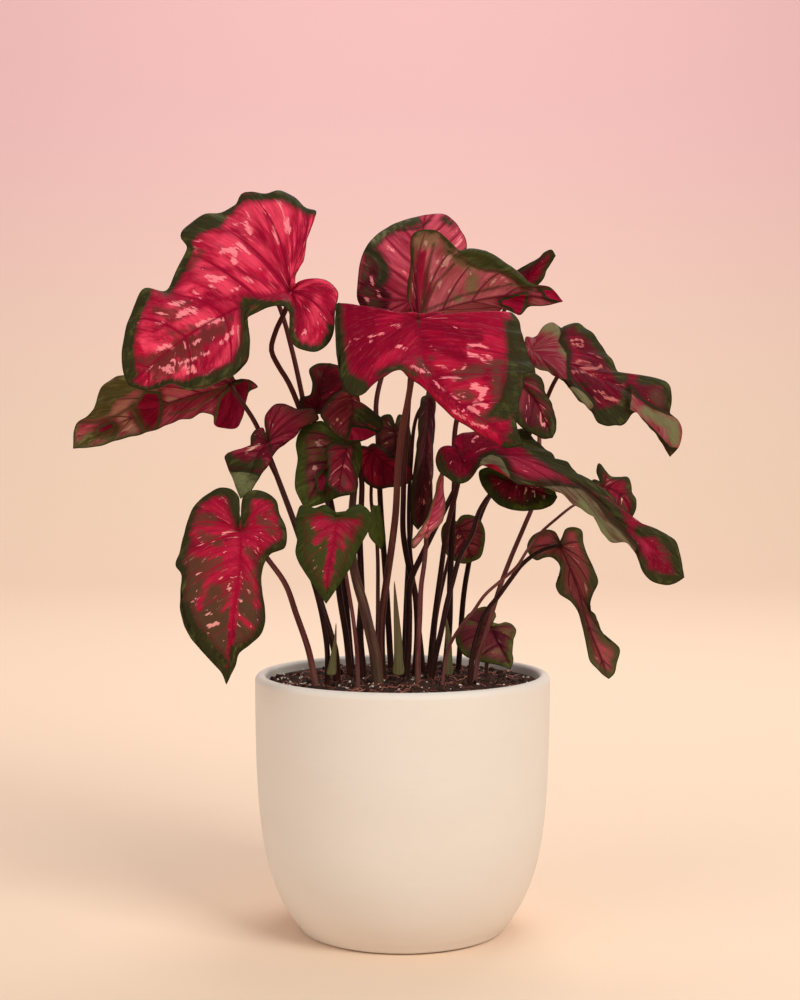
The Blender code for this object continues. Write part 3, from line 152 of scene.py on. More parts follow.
class Finish:
    """One material's node tree, with short ways to add to it."""

    def __init__(self, name, **fixed):
        self.material = bpy.data.materials.new(name)
        self.material.use_nodes = True
        self.tree = self.material.node_tree
        self.shader = self.tree.nodes["Principled BSDF"]
        for socket, value in fixed.items():
            self.shader.inputs[socket.replace("_", " ")].default_value = value

    def put(self, value, socket):
        """Links a node's output to the socket, or sets the socket to a plain value."""
        if isinstance(value, bpy.types.NodeSocket):
            self.tree.links.new(value, socket)
        elif isinstance(value, tuple) and len(value) == 3 and socket.type == "RGBA":
            socket.default_value = (*value, 1.0)
        else:
            socket.default_value = value

    def node(self, kind, inputs, output=0, **settings):
        made = self.tree.nodes.new("ShaderNode" + kind)
        for setting, value in settings.items():
            setattr(made, setting, value)
        for socket, value in inputs.items():
            self.put(value, made.inputs[socket])
        return made.outputs[output]

    def math(self, operation, a, b=0.0):
        return self.node("Math", {0: a, 1: b}, operation=operation)

    def plus(self, a, b):
        return self.math("ADD", a, b)

    def minus(self, a, b):
        return self.math("SUBTRACT", a, b)

    def times(self, a, b):
        return self.math("MULTIPLY", a, b)

    def most(self, a, b):
        return self.math("MAXIMUM", a, b)

    def least(self, a, b):
        return self.math("MINIMUM", a, b)

    def step(self, value, low, high):
        """0 below low, 1 above high and a smooth S between; low above high turns it round."""
        inputs = {"Value": value, "From Min": low, "From Max": high}
        return self.node("MapRange", inputs, interpolation_type="SMOOTHSTEP")

    def mix(self, share, a, b):
        """a where share is 0 and b where it is 1."""
        return self.node("Mix", {0: share, 6: a, 7: b}, 2, data_type="RGBA")

    def spread(self, value, low, high):
        """The value from 0 to 1 laid out evenly from low to high."""
        return self.node("MapRange", {"Value": value, "To Min": low, "To Max": high})

    def place(self, source="Object", scale=(1.0, 1.0, 1.0), shift=(0.0, 0.0, 0.0)):
        """Where on the piece: Object coordinates, or one of the piece's own maps by name."""
        if source == "Object":
            spot = self.node("TexCoord", {}, 3)
        else:
            spot = self.node("UVMap", {}, uv_map=source)
        return self.node("Mapping", {"Vector": spot, "Scale": scale, "Location": shift})

    def noise(self, place, scale, detail=2.0, roughness=0.5, warp=0.0):
        inputs = {"Vector": place, "Scale": scale, "Detail": detail, "Roughness": roughness,
                  "Distortion": warp}
        return self.node("TexNoise", inputs)

    def cells(self, place, scale, feature="F1"):
        return self.node("TexVoronoi", {"Vector": place, "Scale": scale}, feature=feature)

    def split(self, vector, part):
        return self.node("SeparateXYZ", {0: vector}, part)

    def bump(self, height, distance, strength=1.0):
        return self.node("Bump", {"Height": height, "Distance": distance, "Strength": strength})

    def done(self, **linked):
        """Joins what was worked out to the shader's sockets and gives back the material."""
        for socket, value in linked.items():
            self.put(value, self.shader.inputs[socket.replace("_", " ")])
        return self.material


print("crimson as light:", np.round(paint(190, 20, 50), 3).tolist())

# %% [markdown]
# ## The floor
# Studio floors turn up into the wall behind in one smooth sweep, so that no line crosses the picture.
# A profile, flat and then a quarter circle, is carried sideways. It is plain and pale: it is there to
# catch the shadow and to throw warm light back at the pot.

# %% Floor
FLOOR_REACH = 5.0
SWEEP_START = 2.4
SWEEP_RADIUS = 2.2
SWEEP_HEIGHT = 4.0


def make_floor():
    """P(s, t) = (t, y(s), z(s)): s runs along the floor, up the quarter circle and up the wall."""
    a = np.linspace(0, np.pi / 2, 24)
    y = np.concatenate([[-FLOOR_REACH], SWEEP_START + SWEEP_RADIUS * np.sin(a),
                        [SWEEP_START + SWEEP_RADIUS]])
    z = np.concatenate([[0.0], SWEEP_RADIUS * (1 - np.cos(a)), [SWEEP_HEIGHT]])
    points = np.stack([np.stack([0 * y + x, y, z], 1) for x in (-FLOOR_REACH, FLOOR_REACH)], 1).reshape(-1, 3)
    i = np.arange(len(y) - 1) * 2
    finish = Finish("floor", Roughness=0.9, Specular_IOR_Level=0.1)
    height = finish.step(finish.split(finish.place(), 2), 0.1, 1.5)
    colour = finish.mix(height, paint(242, 213, 185), paint(240, 192, 189))
    mesh = bpy.data.meshes.new("floor")
    mesh.from_pydata(points.tolist(), [], np.stack([i, i + 1, i + 3, i + 2], 1).tolist())
    mesh.polygons.foreach_set("use_smooth", np.ones(len(i), bool))
    mesh.materials.append(finish.done(Base_Color=colour))
    made = bpy.data.objects.new("floor", mesh)
    bpy.context.scene.collection.objects.link(made)
    return made


floor = make_floor()
print("floor and sweep:", len(floor.data.polygons), "faces")

# %% [markdown]
# ## From a grid of points to a mesh
# Every surface below is a function of two numbers, so it comes as a grid of points. Whole arrays go into
# the mesh at once with `foreach_set`, which is many times faster than adding corners one by one. Points
# of the grid that fall in the same place, at a pole or a seam, are made one corner, and triangles that
# collapse there are left out, so that the surface is closed. What follows the surface, such as the
# distance to a vein, is kept on the corners of the faces in named maps that the finishes read.

# %% Mesh helpers
def grid_faces(rows, columns):
    """Two triangles for each cell of a grid of rows x columns points, as grid numbers."""
    a = (np.arange(rows - 1)[:, None] * columns + np.arange(columns - 1)).reshape(-1)
    return np.concatenate([np.stack([a, a + 1, a + columns + 1], 1),
                           np.stack([a, a + columns + 1, a + columns], 1)])


def weld(points):
    """One number for each distinct place: first grid number of each, and each grid point's place."""
    _, first, place = np.unique(np.round(points, 5), axis=0, return_index=True, return_inverse=True)
    return first, place.reshape(-1)


def add_mesh(name, points, faces, maps=None, materials=(), slots=None, smooth=True):
    """A mesh object from corner points in centimetres and triangles; maps hold two values a face corner."""
    mesh = bpy.data.meshes.new(name)
    mesh.vertices.add(len(points))
    mesh.vertices.foreach_set("co", (points * CM).astype(np.float32).ravel())
    mesh.loops.add(faces.size)
    mesh.loops.foreach_set("vertex_index", faces.astype(np.int32).ravel())
    mesh.polygons.add(len(faces))
    mesh.polygons.foreach_set("loop_start", np.arange(0, faces.size, 3, dtype=np.int32))
    mesh.polygons.foreach_set("use_smooth", np.full(len(faces), smooth))
    for material in materials:
        mesh.materials.append(material)
    if slots is not None:
        mesh.polygons.foreach_set("material_index", slots.astype(np.int32))
    mesh.update(calc_edges=True)
    for title, values in (maps or {}).items():
        layer = mesh.uv_layers.new(name=title)
        layer.data.foreach_set("uv", values.astype(np.float32).ravel())
    made = bpy.data.objects.new(name, mesh)
    bpy.context.scene.collection.objects.link(made)
    return made


def settle(piece, slot, *nodes):
    """The piece belongs to the plant's one body and stands for these solids; the slot is not used."""
    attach(piece, "root")
    if nodes:
        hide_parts(*nodes)
    return piece


print("a grid of 4 x 5 points has", len(grid_faces(4, 5)), "triangles")

# %% [markdown]
# ## Lines of sight
# A leaf's place in a picture says where it is across and up, but not how deep. The tables therefore give
# points as (across, up) on the upright plane through the pot's middle, and a depth for each. Moving a
# point along its line of sight keeps its place in the picture, whatever its depth.

# %% Curves through points
def unit(vector):
    return vector / np.linalg.norm(vector, axis=-1, keepdims=True)


def placed(points):
    """Points (across, up, depth) moved along their lines of sight: eye + (point - eye)(1 + depth / reach)."""
    points = np.asarray(points, float)
    flat = np.stack([points[:, 0], np.zeros(len(points)), points[:, 1]], axis=1)
    return EYE + (flat - EYE) * (1.0 + points[:, 2:3] / -EYE[1])


def flattened(points):
    """The other way round: where points in space are seen, across and up, on the picture's plane."""
    return (EYE + (points - EYE) * (-EYE[1] / (points[..., 1:2] - EYE[1])))[..., [0, 2]]


def shares(points):
    """The share of the whole chord length reached at each point."""
    steps = np.linalg.norm(np.diff(points, axis=0), axis=1)
    return np.concatenate([[0.0], np.cumsum(steps)]) / steps.sum()


def smooth_line(points, at):
    """A smooth curve through the points, read at shares of its chord length: cubic Hermite pieces."""
    points = np.asarray(points, float)
    at = np.asarray(at, float)
    knots = shares(points)
    slopes = np.gradient(points, knots, axis=0)
    i = np.clip(np.searchsorted(knots, at, side="right") - 1, 0, len(points) - 2)
    span = (knots[i + 1] - knots[i])[..., None]
    t = (at[..., None] - knots[i][..., None]) / span
    return ((2 * t**3 - 3 * t**2 + 1) * points[i] + (t**3 - 2 * t**2 + t) * span * slopes[i]
            + (3 * t**2 - 2 * t**3) * points[i + 1] + (t**3 - t**2) * span * slopes[i + 1])


print("a point 10 cm back moves to", np.round(placed([(5, 40, 10)])[0], 2).tolist())

# %% [markdown]
# ## The pot
# A plain round ceramic pot: the wall rises almost straight and tucks in at the foot, and the lip is
# softly rounded. Turning a profile about the axis is how the real one is thrown, and it is also the
# simplest surface: a profile carried round a circle. The wall follows R(z) = radius - flare e^(-z/curve).

# %% Pot profile
POT_RADIUS = 9.0
POT_FLARE = 2.9
POT_CURVE = 3.15
POT_HEIGHT = 15.6
POT_WALL = 0.65
POT_FLOOR = 0.9
POT_BASE_RADIUS = 5.8
LIP_OUTER = 0.4
LIP_INNER = 0.25
SOIL_LEVEL = 15.0
SOIL_MOUND = 0.35
SOIL_RELIEF = 0.11
POT_TURNS = 144


def wall_radius(z):
    return POT_RADIUS - POT_FLARE * np.exp(-np.asarray(z, float) / POT_CURVE)


def inner_radius(z):
    """The inside of the wall, measured square to its slope."""
    slope = POT_FLARE / POT_CURVE * np.exp(-np.asarray(z, float) / POT_CURVE)
    return wall_radius(z) - POT_WALL * np.sqrt(1.0 + slope**2)


def arc(centre, radius, start, end, count):
    """Points on a circle's arc, angles in degrees."""
    a = np.radians(np.linspace(start, end, count))
    return np.stack([centre[0] + radius * np.cos(a), centre[1] + radius * np.sin(a)], 1)


def pot_profile():
    """From the middle of the inner floor, up the inside, over the lip, down the outside and under."""
    inner_top = POT_HEIGHT - LIP_INNER
    lip = wall_radius(POT_HEIGHT - LIP_OUTER)
    inside = np.linspace(1.5, inner_top - 0.3, 24)
    outside = np.linspace(POT_HEIGHT - LIP_OUTER - 0.2, 0.5, 48)
    foot = wall_radius(0.25)
    return np.concatenate([
        [(0.0, POT_FLOOR), (3.0, POT_FLOOR), (inner_radius(POT_FLOOR) - 0.5, POT_FLOOR)],
        np.stack([inner_radius(inside), inside], 1),
        arc((lip - POT_WALL + LIP_INNER, inner_top), LIP_INNER, 180, 100, 8),
        arc((lip - LIP_OUTER, POT_HEIGHT - LIP_OUTER), LIP_OUTER, 90, 0, 12),
        np.stack([wall_radius(outside), outside], 1),
        [(foot, 0.25), (foot - 0.06, 0.13), (POT_BASE_RADIUS + 0.2, 0.04), (POT_BASE_RADIUS, 0.0),
         (3.0, 0.0), (0.0, 0.0)],
    ])


# %% [markdown]
# The glaze is matt and warm white. A thrown pot is never perfectly even: the finish adds very faint level
# rings, a soft cloudiness and tiny pits, and the radius itself wanders by a tenth of a millimetre.

# %% Pot
def glaze():
    f = Finish("ceramic_glaze", Specular_IOR_Level=0.35)
    place = f.place()
    cloud = f.noise(f.place(scale=(1.0, 1.0, 2.2)), 14.0, 3.0, 0.55)
    colour = f.mix(cloud, paint(223, 209, 193), paint(229, 217, 203))
    speck = f.noise(place, 900.0, 2.0, 0.5)
    colour = f.mix(f.times(f.step(speck, 0.70, 0.78), 0.25), colour, paint(190, 166, 136))
    rings = f.noise(f.place(scale=(0.5, 0.5, 30.0)), 9.0, 2.0, 0.5)
    pits = f.noise(place, 1400.0, 2.0, 0.6)
    height = f.plus(f.times(rings, 0.6), f.times(pits, 0.25))
    return f.done(Base_Color=colour, Roughness=f.spread(cloud, 0.5, 0.62),
                  Normal=f.bump(height, 0.0005, 0.35))


def make_pot():
    """The profile turned about the axis; the radius wanders by 0.01 cm (sin 2a + sin(3a + z / 2))."""
    profile = pot_profile()
    a = np.linspace(0, 2 * np.pi, POT_TURNS + 1)
    r, z = profile[:, :1], profile[:, 1:]
    wander = 0.005 * (np.sin(2 * a) + np.sin(3 * a + z / 2)) * (r > 5.5)
    grid = np.stack([(r + wander) * np.cos(a), (r + wander) * np.sin(a), z + 0 * a], 2)
    grid[:, -1] = grid[:, 0]
    flat = grid.reshape(-1, 3)
    first, place = weld(flat)
    corners = place[grid_faces(*grid.shape[:2])]
    whole = ((corners[:, 0] != corners[:, 1]) & (corners[:, 1] != corners[:, 2])
             & (corners[:, 2] != corners[:, 0]))
    return add_mesh("ceramic_pot", flat[first], corners[whole], materials=[glaze()])


pot = settle(make_pot(), "ceramic", "pot")
print("pot:", len(pot.data.polygons), "faces, lip radius", round(float(wall_radius(15.2)), 2), "cm")

# %% [markdown]
# ## Tables of the leaves
# A leaf is described by three lines: its midrib, from the joint with the stem to the tip, and its left
# and right margins, from the notch round each lobe to the tip. Midrib points carry their own depth; the
# depths of a margin are spread evenly along it. `face` is 1 where the upper face is turned to the
# front and -1 where the underside is; `bulge` is how far each half swells and `wave` the height,
# count and phase of the ruffle at the margin.

# %% Reading a table
def points(text):
    """Points from text: spaces part the numbers of a point, and commas the points."""
    return [tuple(float(number) for number in point.split()) for point in text.split(",")]


# %% Leaves of the upper left
LEAVES = {
    "blade_big_left": dict(
        face=1, kind="crimson", bulge=0.35, wave=(0.12, 7, 0.3),
        rib=points("-6.75 38.75 -1.5, -10 37.7 -2.3, -12.5 36.4 -3, -14.5 34.9 -3.6, -16.6 33.1 -4"),
        notch=(-6.5, 39.15, -1.5),
        left=points("""
            -6.2 39.05, -5.8 39.3, -5 39.5, -4.4 39.3, -3.95 38.8, -4.1 37.5, -4.2 36.4, -4.6 35.5,
            -5.5 35.05, -6.4 35.4, -6.85 36, -6.75 37, -6.95 37.6, -7.6 37.9, -8.5 37.7, -9.3 37.3,
            -9.55 36.9, -9.3 36.2, -9.3 35.2, -9.6 34.3, -10.4 33.5, -11.4 33.1, -12.3 32.8, -13 32.75,
            -14 33.1, -14.8 32.9, -15.6 32.8"""),
        left_depth=[-2.2, -3.4, -4.3, -4.4, -3.2, -2.9, -4.4, -4.8, -4.6],
        right=points("""
            -6.5 39.6, -6.45 40, -6.05 40.45, -5.9 41.2, -5.7 42.4, -5.25 43.6, -5.9 43.85, -6.6 44.5,
            -7.4 44.75, -8.1 44.6, -9.1 44.75, -9.75 44.7, -10.1 44, -10.7 43.5, -12 43.35, -12.9 42.9,
            -13.4 42.05, -13 41.35, -13.6 40.3, -14.5 38.7, -15.7 38.9, -16.2 38, -16.8 36.2, -17 35,
            -16.9 33.8"""),
        right_depth=[0.6, 2.2, 2.6, 1.8, 0.3, -1.4, -3.0]),
    "blade_left_drooping": dict(
        face=-1, kind="underside", bulge=0.25, wave=(0.1, 6, 1.2),
        rib=points("-10.4 33.1 1, -13 32.4 0.8, -16.5 31.1 0.4, -19 29.9 0.1, -20 29.25 0"),
        notch=(-10.15, 33.4, 1.0),
        left=points("""
            -9.9 33.35, -9.3 33.4, -8.8 33, -9.3 32.7, -9.5 32, -9.8 31, -10 30.6, -10.9 30.45,
            -11.4 30.7, -11.5 31.3, -12 31.45, -12.8 31.05, -13.6 31, -15 30.35, -16.5 30, -18.5 29.4"""),
        left_depth=[1.6, 2.0, 1.6, 1.4, 1.0, 0.5],
        right=points("""
            -10.5 34, -12.5 34.2, -15 33.8, -16.8 33.4, -17.6 33.35, -18.3 32.8, -18.6 32, -19 31.3,
            -19.8 30.7"""),
        right_depth=[-0.2, -1.2, -1.7, -1.5, -0.7]),
    "blade_left_centre": dict(
        face=1, kind="olive", bulge=0.2, wave=(0.08, 6, 0.0),
        rib=points("-8.2 29.6 -1.2, -8.8 28.8 -1.6, -9.3 27.6 -2, -9.85 26.2 -2.3"),
        notch=(-8.3, 30.0, -1.2),
        left=points("""
            -8.25 30.6, -8.35 31.1, -8.1 31.6, -7.7 31.9, -7.3 31.95, -6.8 31.8, -6.35 31.65, -5.4 31.6,
            -5.1 31.1, -5.8 30.7, -6.5 30, -7.2 29.5, -7.9 28.75, -8.1 28.35, -8.5 27.8, -8.8 27.3,
            -9.3 26.6"""),
        left_depth=[-0.9, -0.7, -0.9, -1.5, -2.0],
        right=points("""
            -8.5 30.5, -8.95 30.35, -9.2 29.9, -9.3 29.3, -9.7 29.15, -10.3 29.05, -10.75 28.8,
            -10.6 28.1, -10.3 27.4, -10.05 26.7"""),
        right_depth=[-1.0, -1.0, -1.4, -2.0]),
    "blade_heart_left": dict(
        face=1, kind="olive", bulge=0.3, wave=(0.1, 7, 0.5),
        rib=points("""
            -9.85 24.2 -6, -9.9 22 -6.6, -10.2 20 -7, -10.4 18 -7.3, -10.6 16.3 -7.4, -10.75 14.85 -7.5"""),
        notch=(-9.85, 24.75, -6.0),
        left=points("""
            -9.74 25.6, -9.7 26.25, -9.4 26.6, -8.9 26.7, -8.2 26.5, -7.7 26.1, -7.5 25.3, -7.1 24.4,
            -7.05 23.8, -7.2 23.2, -7.6 23, -8 22.85, -8.4 22.3, -8.6 21.5, -8.55 20.5, -8.4 19.5,
            -8.4 18.6, -8.6 18, -9.3 17.3, -10 16.7, -10.2 16, -10.5 15.4"""),
        left_depth=[-5.4, -5.0, -5.6, -6.2, -6.8, -7.2],
        right=points("""
            -9.97 25.6, -9.97 26.3, -10.4 26.75, -11 26.85, -11.8 26.5, -12.6 25.8, -13 25, -13.3 24,
            -13.55 22.9, -13.8 22.1, -13.5 21.7, -13.5 20.5, -13.45 19.4, -13.1 18.2, -12.3 17,
            -11.6 16.2, -11 15.5"""),
        right_depth=[-5.5, -5.2, -5.8, -6.4, -6.9, -7.3]),
}

# %% Leaves at the top and front
LEAVES.update({
    "blade_top_back": dict(
        face=1, kind="crimson", bulge=0.3, wave=(0.1, 5, 0.0),
        rib=points("0.5 38.2 4.5, 0.6 39.5 4.3, 0.9 41 4.6, 1.2 42.4 5, 1.4 43.35 5.5"),
        notch=(0.4, 37.5, 4.5),
        left=points("""
            -0.3 37, -1.2 37, -2.2 37.4, -2.7 38.3, -2.7 39.3, -2.6 40.2, -2.3 41.2, -1.5 42.2,
            -0.5 42.8, 0.5 43.15"""),
        left_depth=[3.7, 3.4, 3.7, 4.4, 5.1],
        right=points("1.4 37.2, 2.5 37.6, 3.2 38.9, 3.6 40.4, 3.85 41.7, 3.5 42.5, 2.45 43.4"),
        right_depth=[4.2, 4.5, 5.0, 5.4]),
    "blade_top_folded": dict(
        face=-1, kind="underside", bulge=0.25, wave=(0.08, 5, 0.6),
        rib=points("1 37.15 0.3, 3.6 38 0.7, 6 38.45 0.6, 7.6 38.5 0.3, 9.7 38.15 0"),
        notch=(0.6, 37.35, 0.3),
        left=points("""
            0.3 38.5, 0.5 40.3, 0.75 42.3, 1.8 42.45, 2.9 41.7, 3.4 41.2, 4.2 41.2, 5.3 40.95, 6.3 40.2,
            7.1 39.6, 7.6 39.15, 8.9 39"""),
        left_depth=[0.2, -0.2, -0.4, -0.2, 0.0],
        right=points("1.3 36.7, 2.2 36.9, 3.8 37, 5.6 37.4, 6.3 37.8, 7.1 37.35, 7.6 37.8, 8.6 37.9"),
        right_depth=[1.4, 2.0, 1.8, 1.0, 0.4]),
    "blade_front_centre": dict(
        face=1, kind="crimson", bulge=0.4, wave=(0.12, 6, 0.8),
        rib=points("1 37.05 -5, 1.25 34.8 -6.3, 2.8 32.5 -7.5, 5 30.9 -8.5, 7.3 29.5 -9"),
        notch=(1.0, 37.35, -4.7),
        left=points("""
            0.5 37.45, 0 37.4, -1 37.4, -2 37.1, -2.9 37.5, -3.5 37.9, -3.9 38, -4 37.3, -4 36,
            -3.9 34.5, -3.7 33.3, -3.3 32.6, -2.8 32.35, -2.4 32.5, -1.9 33, -1.2 33.6, -0.5 34,
            -0.1 34, 0.3 33.6, 1 33.1, 1.6 32.6, 2.4 31.8, 3 31.2, 4.2 30.4, 5.2 29.8, 6.4 29.3,
            6.9 29.35"""),
        left_depth=[-3.8, -3.5, -4.9, -6.4, -7.3, -7.1, -7.8, -8.5],
        right=points("""
            1.6 37.3, 2.2 37.5, 3 37.1, 3.6 37, 4.2 36.6, 4.9 36.4, 5.8 36.5, 6.2 37.3, 6.6 37.5,
            7 37.1, 7.2 36.2, 7.5 35.3, 7.9 34.2, 8 33.9, 7.5 33.8, 7.3 33, 7.1 32.2, 7 31.5, 6.9 30.9,
            7 30.3"""),
        right_depth=[-4.0, -3.8, -4.6, -5.8, -7.2, -8.3]),
    "blade_right_back": dict(
        face=1, kind="red", bulge=0.15, wave=(0.05, 4, 0.0),
        rib=points("6.5 38.6 3, 7.8 39.8 2.4, 9.25 40.9 1.5"),
        notch=(6.1, 38.4, 3.1),
        left=points("5.9 38.9, 6.2 39.4, 6.9 40, 7.8 40.5, 8.3 40.8, 8.6 41.1, 9 41.25"),
        left_depth=[3.0, 2.6, 2.1],
        right=points("6.5 38.1, 7.2 38.3, 7.8 38.8, 8.1 39.05, 8.5 39.5, 8.7 40, 8.95 40.4"),
        right_depth=[2.9, 2.4, 2.0]),
})

# %% Leaves of the right
LEAVES.update({
    "blade_right_twisted": dict(
        face=1, kind="crimson", bulge=0.25, wave=(0.1, 7, 0.0),
        rib=points("""
            7.8 35.2 1, 10 34.4 0.5, 12 33.5 0, 13.8 32.6 -0.5, 15 31.6 -0.8, 16 30.3 -1, 16.25 28.75 -1"""),
        notch=(7.4, 35.5, 1.1),
        left=points("""
            7.4 34.9, 8 34.2, 9 33.8, 10.1 33.1, 10.9 32, 11.7 31.2, 12.1 30.7, 12.8 30.6, 13.5 30.8,
            14 31.4, 14.9 30.7, 15.6 29.8, 16 29.2"""),
        left_depth=[0.3, -1.0, -1.8, -1.7, -1.3],
        right=points("""
            7.5 36, 7.9 35.95, 8.2 36.1, 8.6 36.7, 9 36.85, 9.5 36.6, 9.75 36.4, 10.1 36.8, 10.6 36.85,
            11.2 36.4, 11.8 35.9, 12.4 35, 13 34, 13.4 33.5, 14 33.3, 15 33.35, 15.9 33.4, 16.15 33.1,
            16.3 32, 16.3 31.3, 16.7 31, 16.95 30, 16.8 29.4"""),
        right_depth=[1.8, 2.6, 2.2, 1.2, 0.4, -0.4]),
    "blade_behind_centre": dict(
        face=1, kind="crimson", bulge=0.2, wave=(0.06, 4, 0.5),
        rib=points("6.9 33.4 -1.5, 8 32.2 -1.7, 8.6 31 -2, 9.1 29.9 -2.3"),
        notch=(7.2, 33.8, -1.4),
        left=points("8.15 33.75, 8.4 33.5, 8.7 32.6, 9.1 31.8, 9.3 31, 9.3 30.3"),
        left_depth=[-1.2, -1.5, -1.9],
        right=points("6.6 33.6, 6.3 32.6, 6.5 31.6, 6.9 30.9, 7.2 30.6, 8 30.1, 8.6 29.85"),
        right_depth=[-2.0, -2.5, -2.6]),
    "blade_long_arching": dict(
        face=1, kind="crimson", bulge=0.3, wave=(0.12, 8, 0.0),
        rib=points("""
            3.6 28.5 -2.5, 6 28.8 -3.2, 9.3 27.8 -4, 11.4 26.5 -4.5, 13 24.9 -4.8, 14.6 23.8 -4.9,
            15.8 22.6 -5, 17.15 21.4 -5"""),
        notch=(3.2, 28.9, -2.4),
        left=points("""
            2.7 29.4, 2.3 29.25, 2.05 28.7, 2.15 28, 2.6 27.5, 3.2 27.2, 3.8 27.2, 4.3 27.6, 4.6 28,
            5.1 28.3, 5.7 28.3, 6.2 27.9, 6.5 27.5, 6.9 27.1, 8.2 27.05, 9.2 26.65, 10.5 25.9,
            11.7 24.9, 12.3 24, 12.6 23.7, 13.7 23.4, 14.4 22.5, 14.8 21.5, 15.6 21, 16.7 21.1"""),
        left_depth=[-3.4, -4.4, -4.9, -5.3, -5.5, -5.6, -5.6, -5.5, -5.3],
        right=points("""
            3.1 29.8, 3.7 30.2, 4.4 30.25, 5.8 29.9, 7.2 30.4, 8.2 29.7, 9 28.9, 9.4 28.4, 10 28.5,
            10.7 27.5, 11.8 27.15, 12.6 26.4, 13.2 25.4, 14 24.95, 14.5 24.5, 15.2 24.2, 16 24.1,
            16.5 23.7, 17 22.3"""),
        right_depth=[-1.6, -1.2, -1.8, -2.7, -3.5, -4.2, -4.7]),
    "blade_dark_lobe": dict(
        face=1, kind="olive", bulge=0.15, wave=(0.06, 4, 0.0),
        rib=points("6.5 27.3 -1.4, 7.6 26.9 -1.5, 8.5 26.6 -1.6, 9.4 26.3 -1.7"),
        notch=(6.2, 27.8, -1.3),
        left=points("""
            5.4 28.1, 4.7 27.9, 4.8 27.1, 5.3 26.4, 6 25.75, 6.9 25.5, 7.9 25.5, 8.6 25.6, 9.2 25.95"""),
        left_depth=[-1.3, -1.6, -2.0, -2.1],
        right=points("6.9 28.2, 8 27.9, 9 27.2"),
        right_depth=[-1.2, -1.3, -1.6]),
    "blade_small_right": dict(
        face=1, kind="olive", bulge=0.12, wave=(0.04, 4, 0.4),
        rib=points("12.2 26.9 0, 13 26.6 -0.1, 13.6 26 -0.2, 13.95 25 -0.3"),
        notch=(12.0, 27.25, 0.0),
        left=points("11.6 27.35, 11.45 26.9, 11.9 26.4, 12.4 26.1, 12.8 25.6, 13.1 25.15, 13.6 25"),
        left_depth=[-0.2, -0.5, -0.5],
        right=points("""
            11.8 27.9, 11.95 28.35, 12.25 28, 12.6 27.6, 13.2 27.5, 13.65 27.5, 13.9 27.1, 13.95 26.6,
            14.2 26.1, 14.2 25.6"""),
        right_depth=[0.5, 0.5, 0.2, -0.1]),
    "blade_hanging_lance": dict(
        face=-1, kind="underside", bulge=0.15, wave=(0.06, 6, 0.0),
        rib=points("""
            9.6 23.3 -1, 9.95 22.6 -1.1, 10.35 21.6 -1.2, 10.8 20.4 -1.4, 11.05 19.4 -1.5, 11.5 18 -1.7,
            12 16.8 -1.8, 12.6 15.2 -2"""),
        notch=(9.6, 23.6, -1.0),
        left=points("""
            9.45 23.9, 9.3 24.15, 8.85 24.3, 8.3 24.15, 7.9 23.9, 7.6 23.2, 7.85 22.65, 8.2 22.45,
            8.6 22.6, 9 22.65, 9.5 22.3, 9.65 21.6, 9.35 20.9, 9.5 20.5, 10.3 19.9, 10.6 19.5, 11 18.3,
            11.3 16.9, 11.45 16.3, 11.9 15.8, 12.3 15.4"""),
        left_depth=[-0.7, -0.5, -0.8, -1.1, -1.3, -1.6],
        right=points("""
            9.75 23.9, 9.95 24.35, 10.4 24.45, 10.85 24.3, 11 23.5, 11.15 23, 11.65 21.9, 11.9 21.1,
            11.6 20.4, 11.4 19.6, 11.6 19, 12.2 18, 12.5 17.65, 12.9 17.4, 13.2 17.1, 13.05 16.1,
            12.9 15.5"""),
        right_depth=[-0.7, -0.9, -1.2, -1.5, -1.7]),
    "blade_low_right": dict(
        face=1, kind="olive", bulge=0.15, wave=(0.05, 4, 0.9),
        rib=points("5.4 18.3 -0.6, 5.8 17.5 -0.8, 6.3 16.6 -1.1, 6.6 15.8 -1.3"),
        notch=(5.5, 18.65, -0.6),
        left=points("5.85 18.55, 6.3 18.65, 6.7 18.5, 6.9 18.2, 6.75 17.5, 6.7 16.8, 6.75 16.3"),
        left_depth=[-0.7, -1.0, -1.2],
        right=points("""
            5.7 19.1, 5.5 19.45, 5.1 19.6, 4.4 19.4, 3.8 18.9, 3.4 18.3, 3.3 17.4, 3.7 16.7, 4.6 16.3,
            5.8 16.05"""),
        right_depth=[-0.1, 0.2, -0.1, -0.6, -1.0]),
})

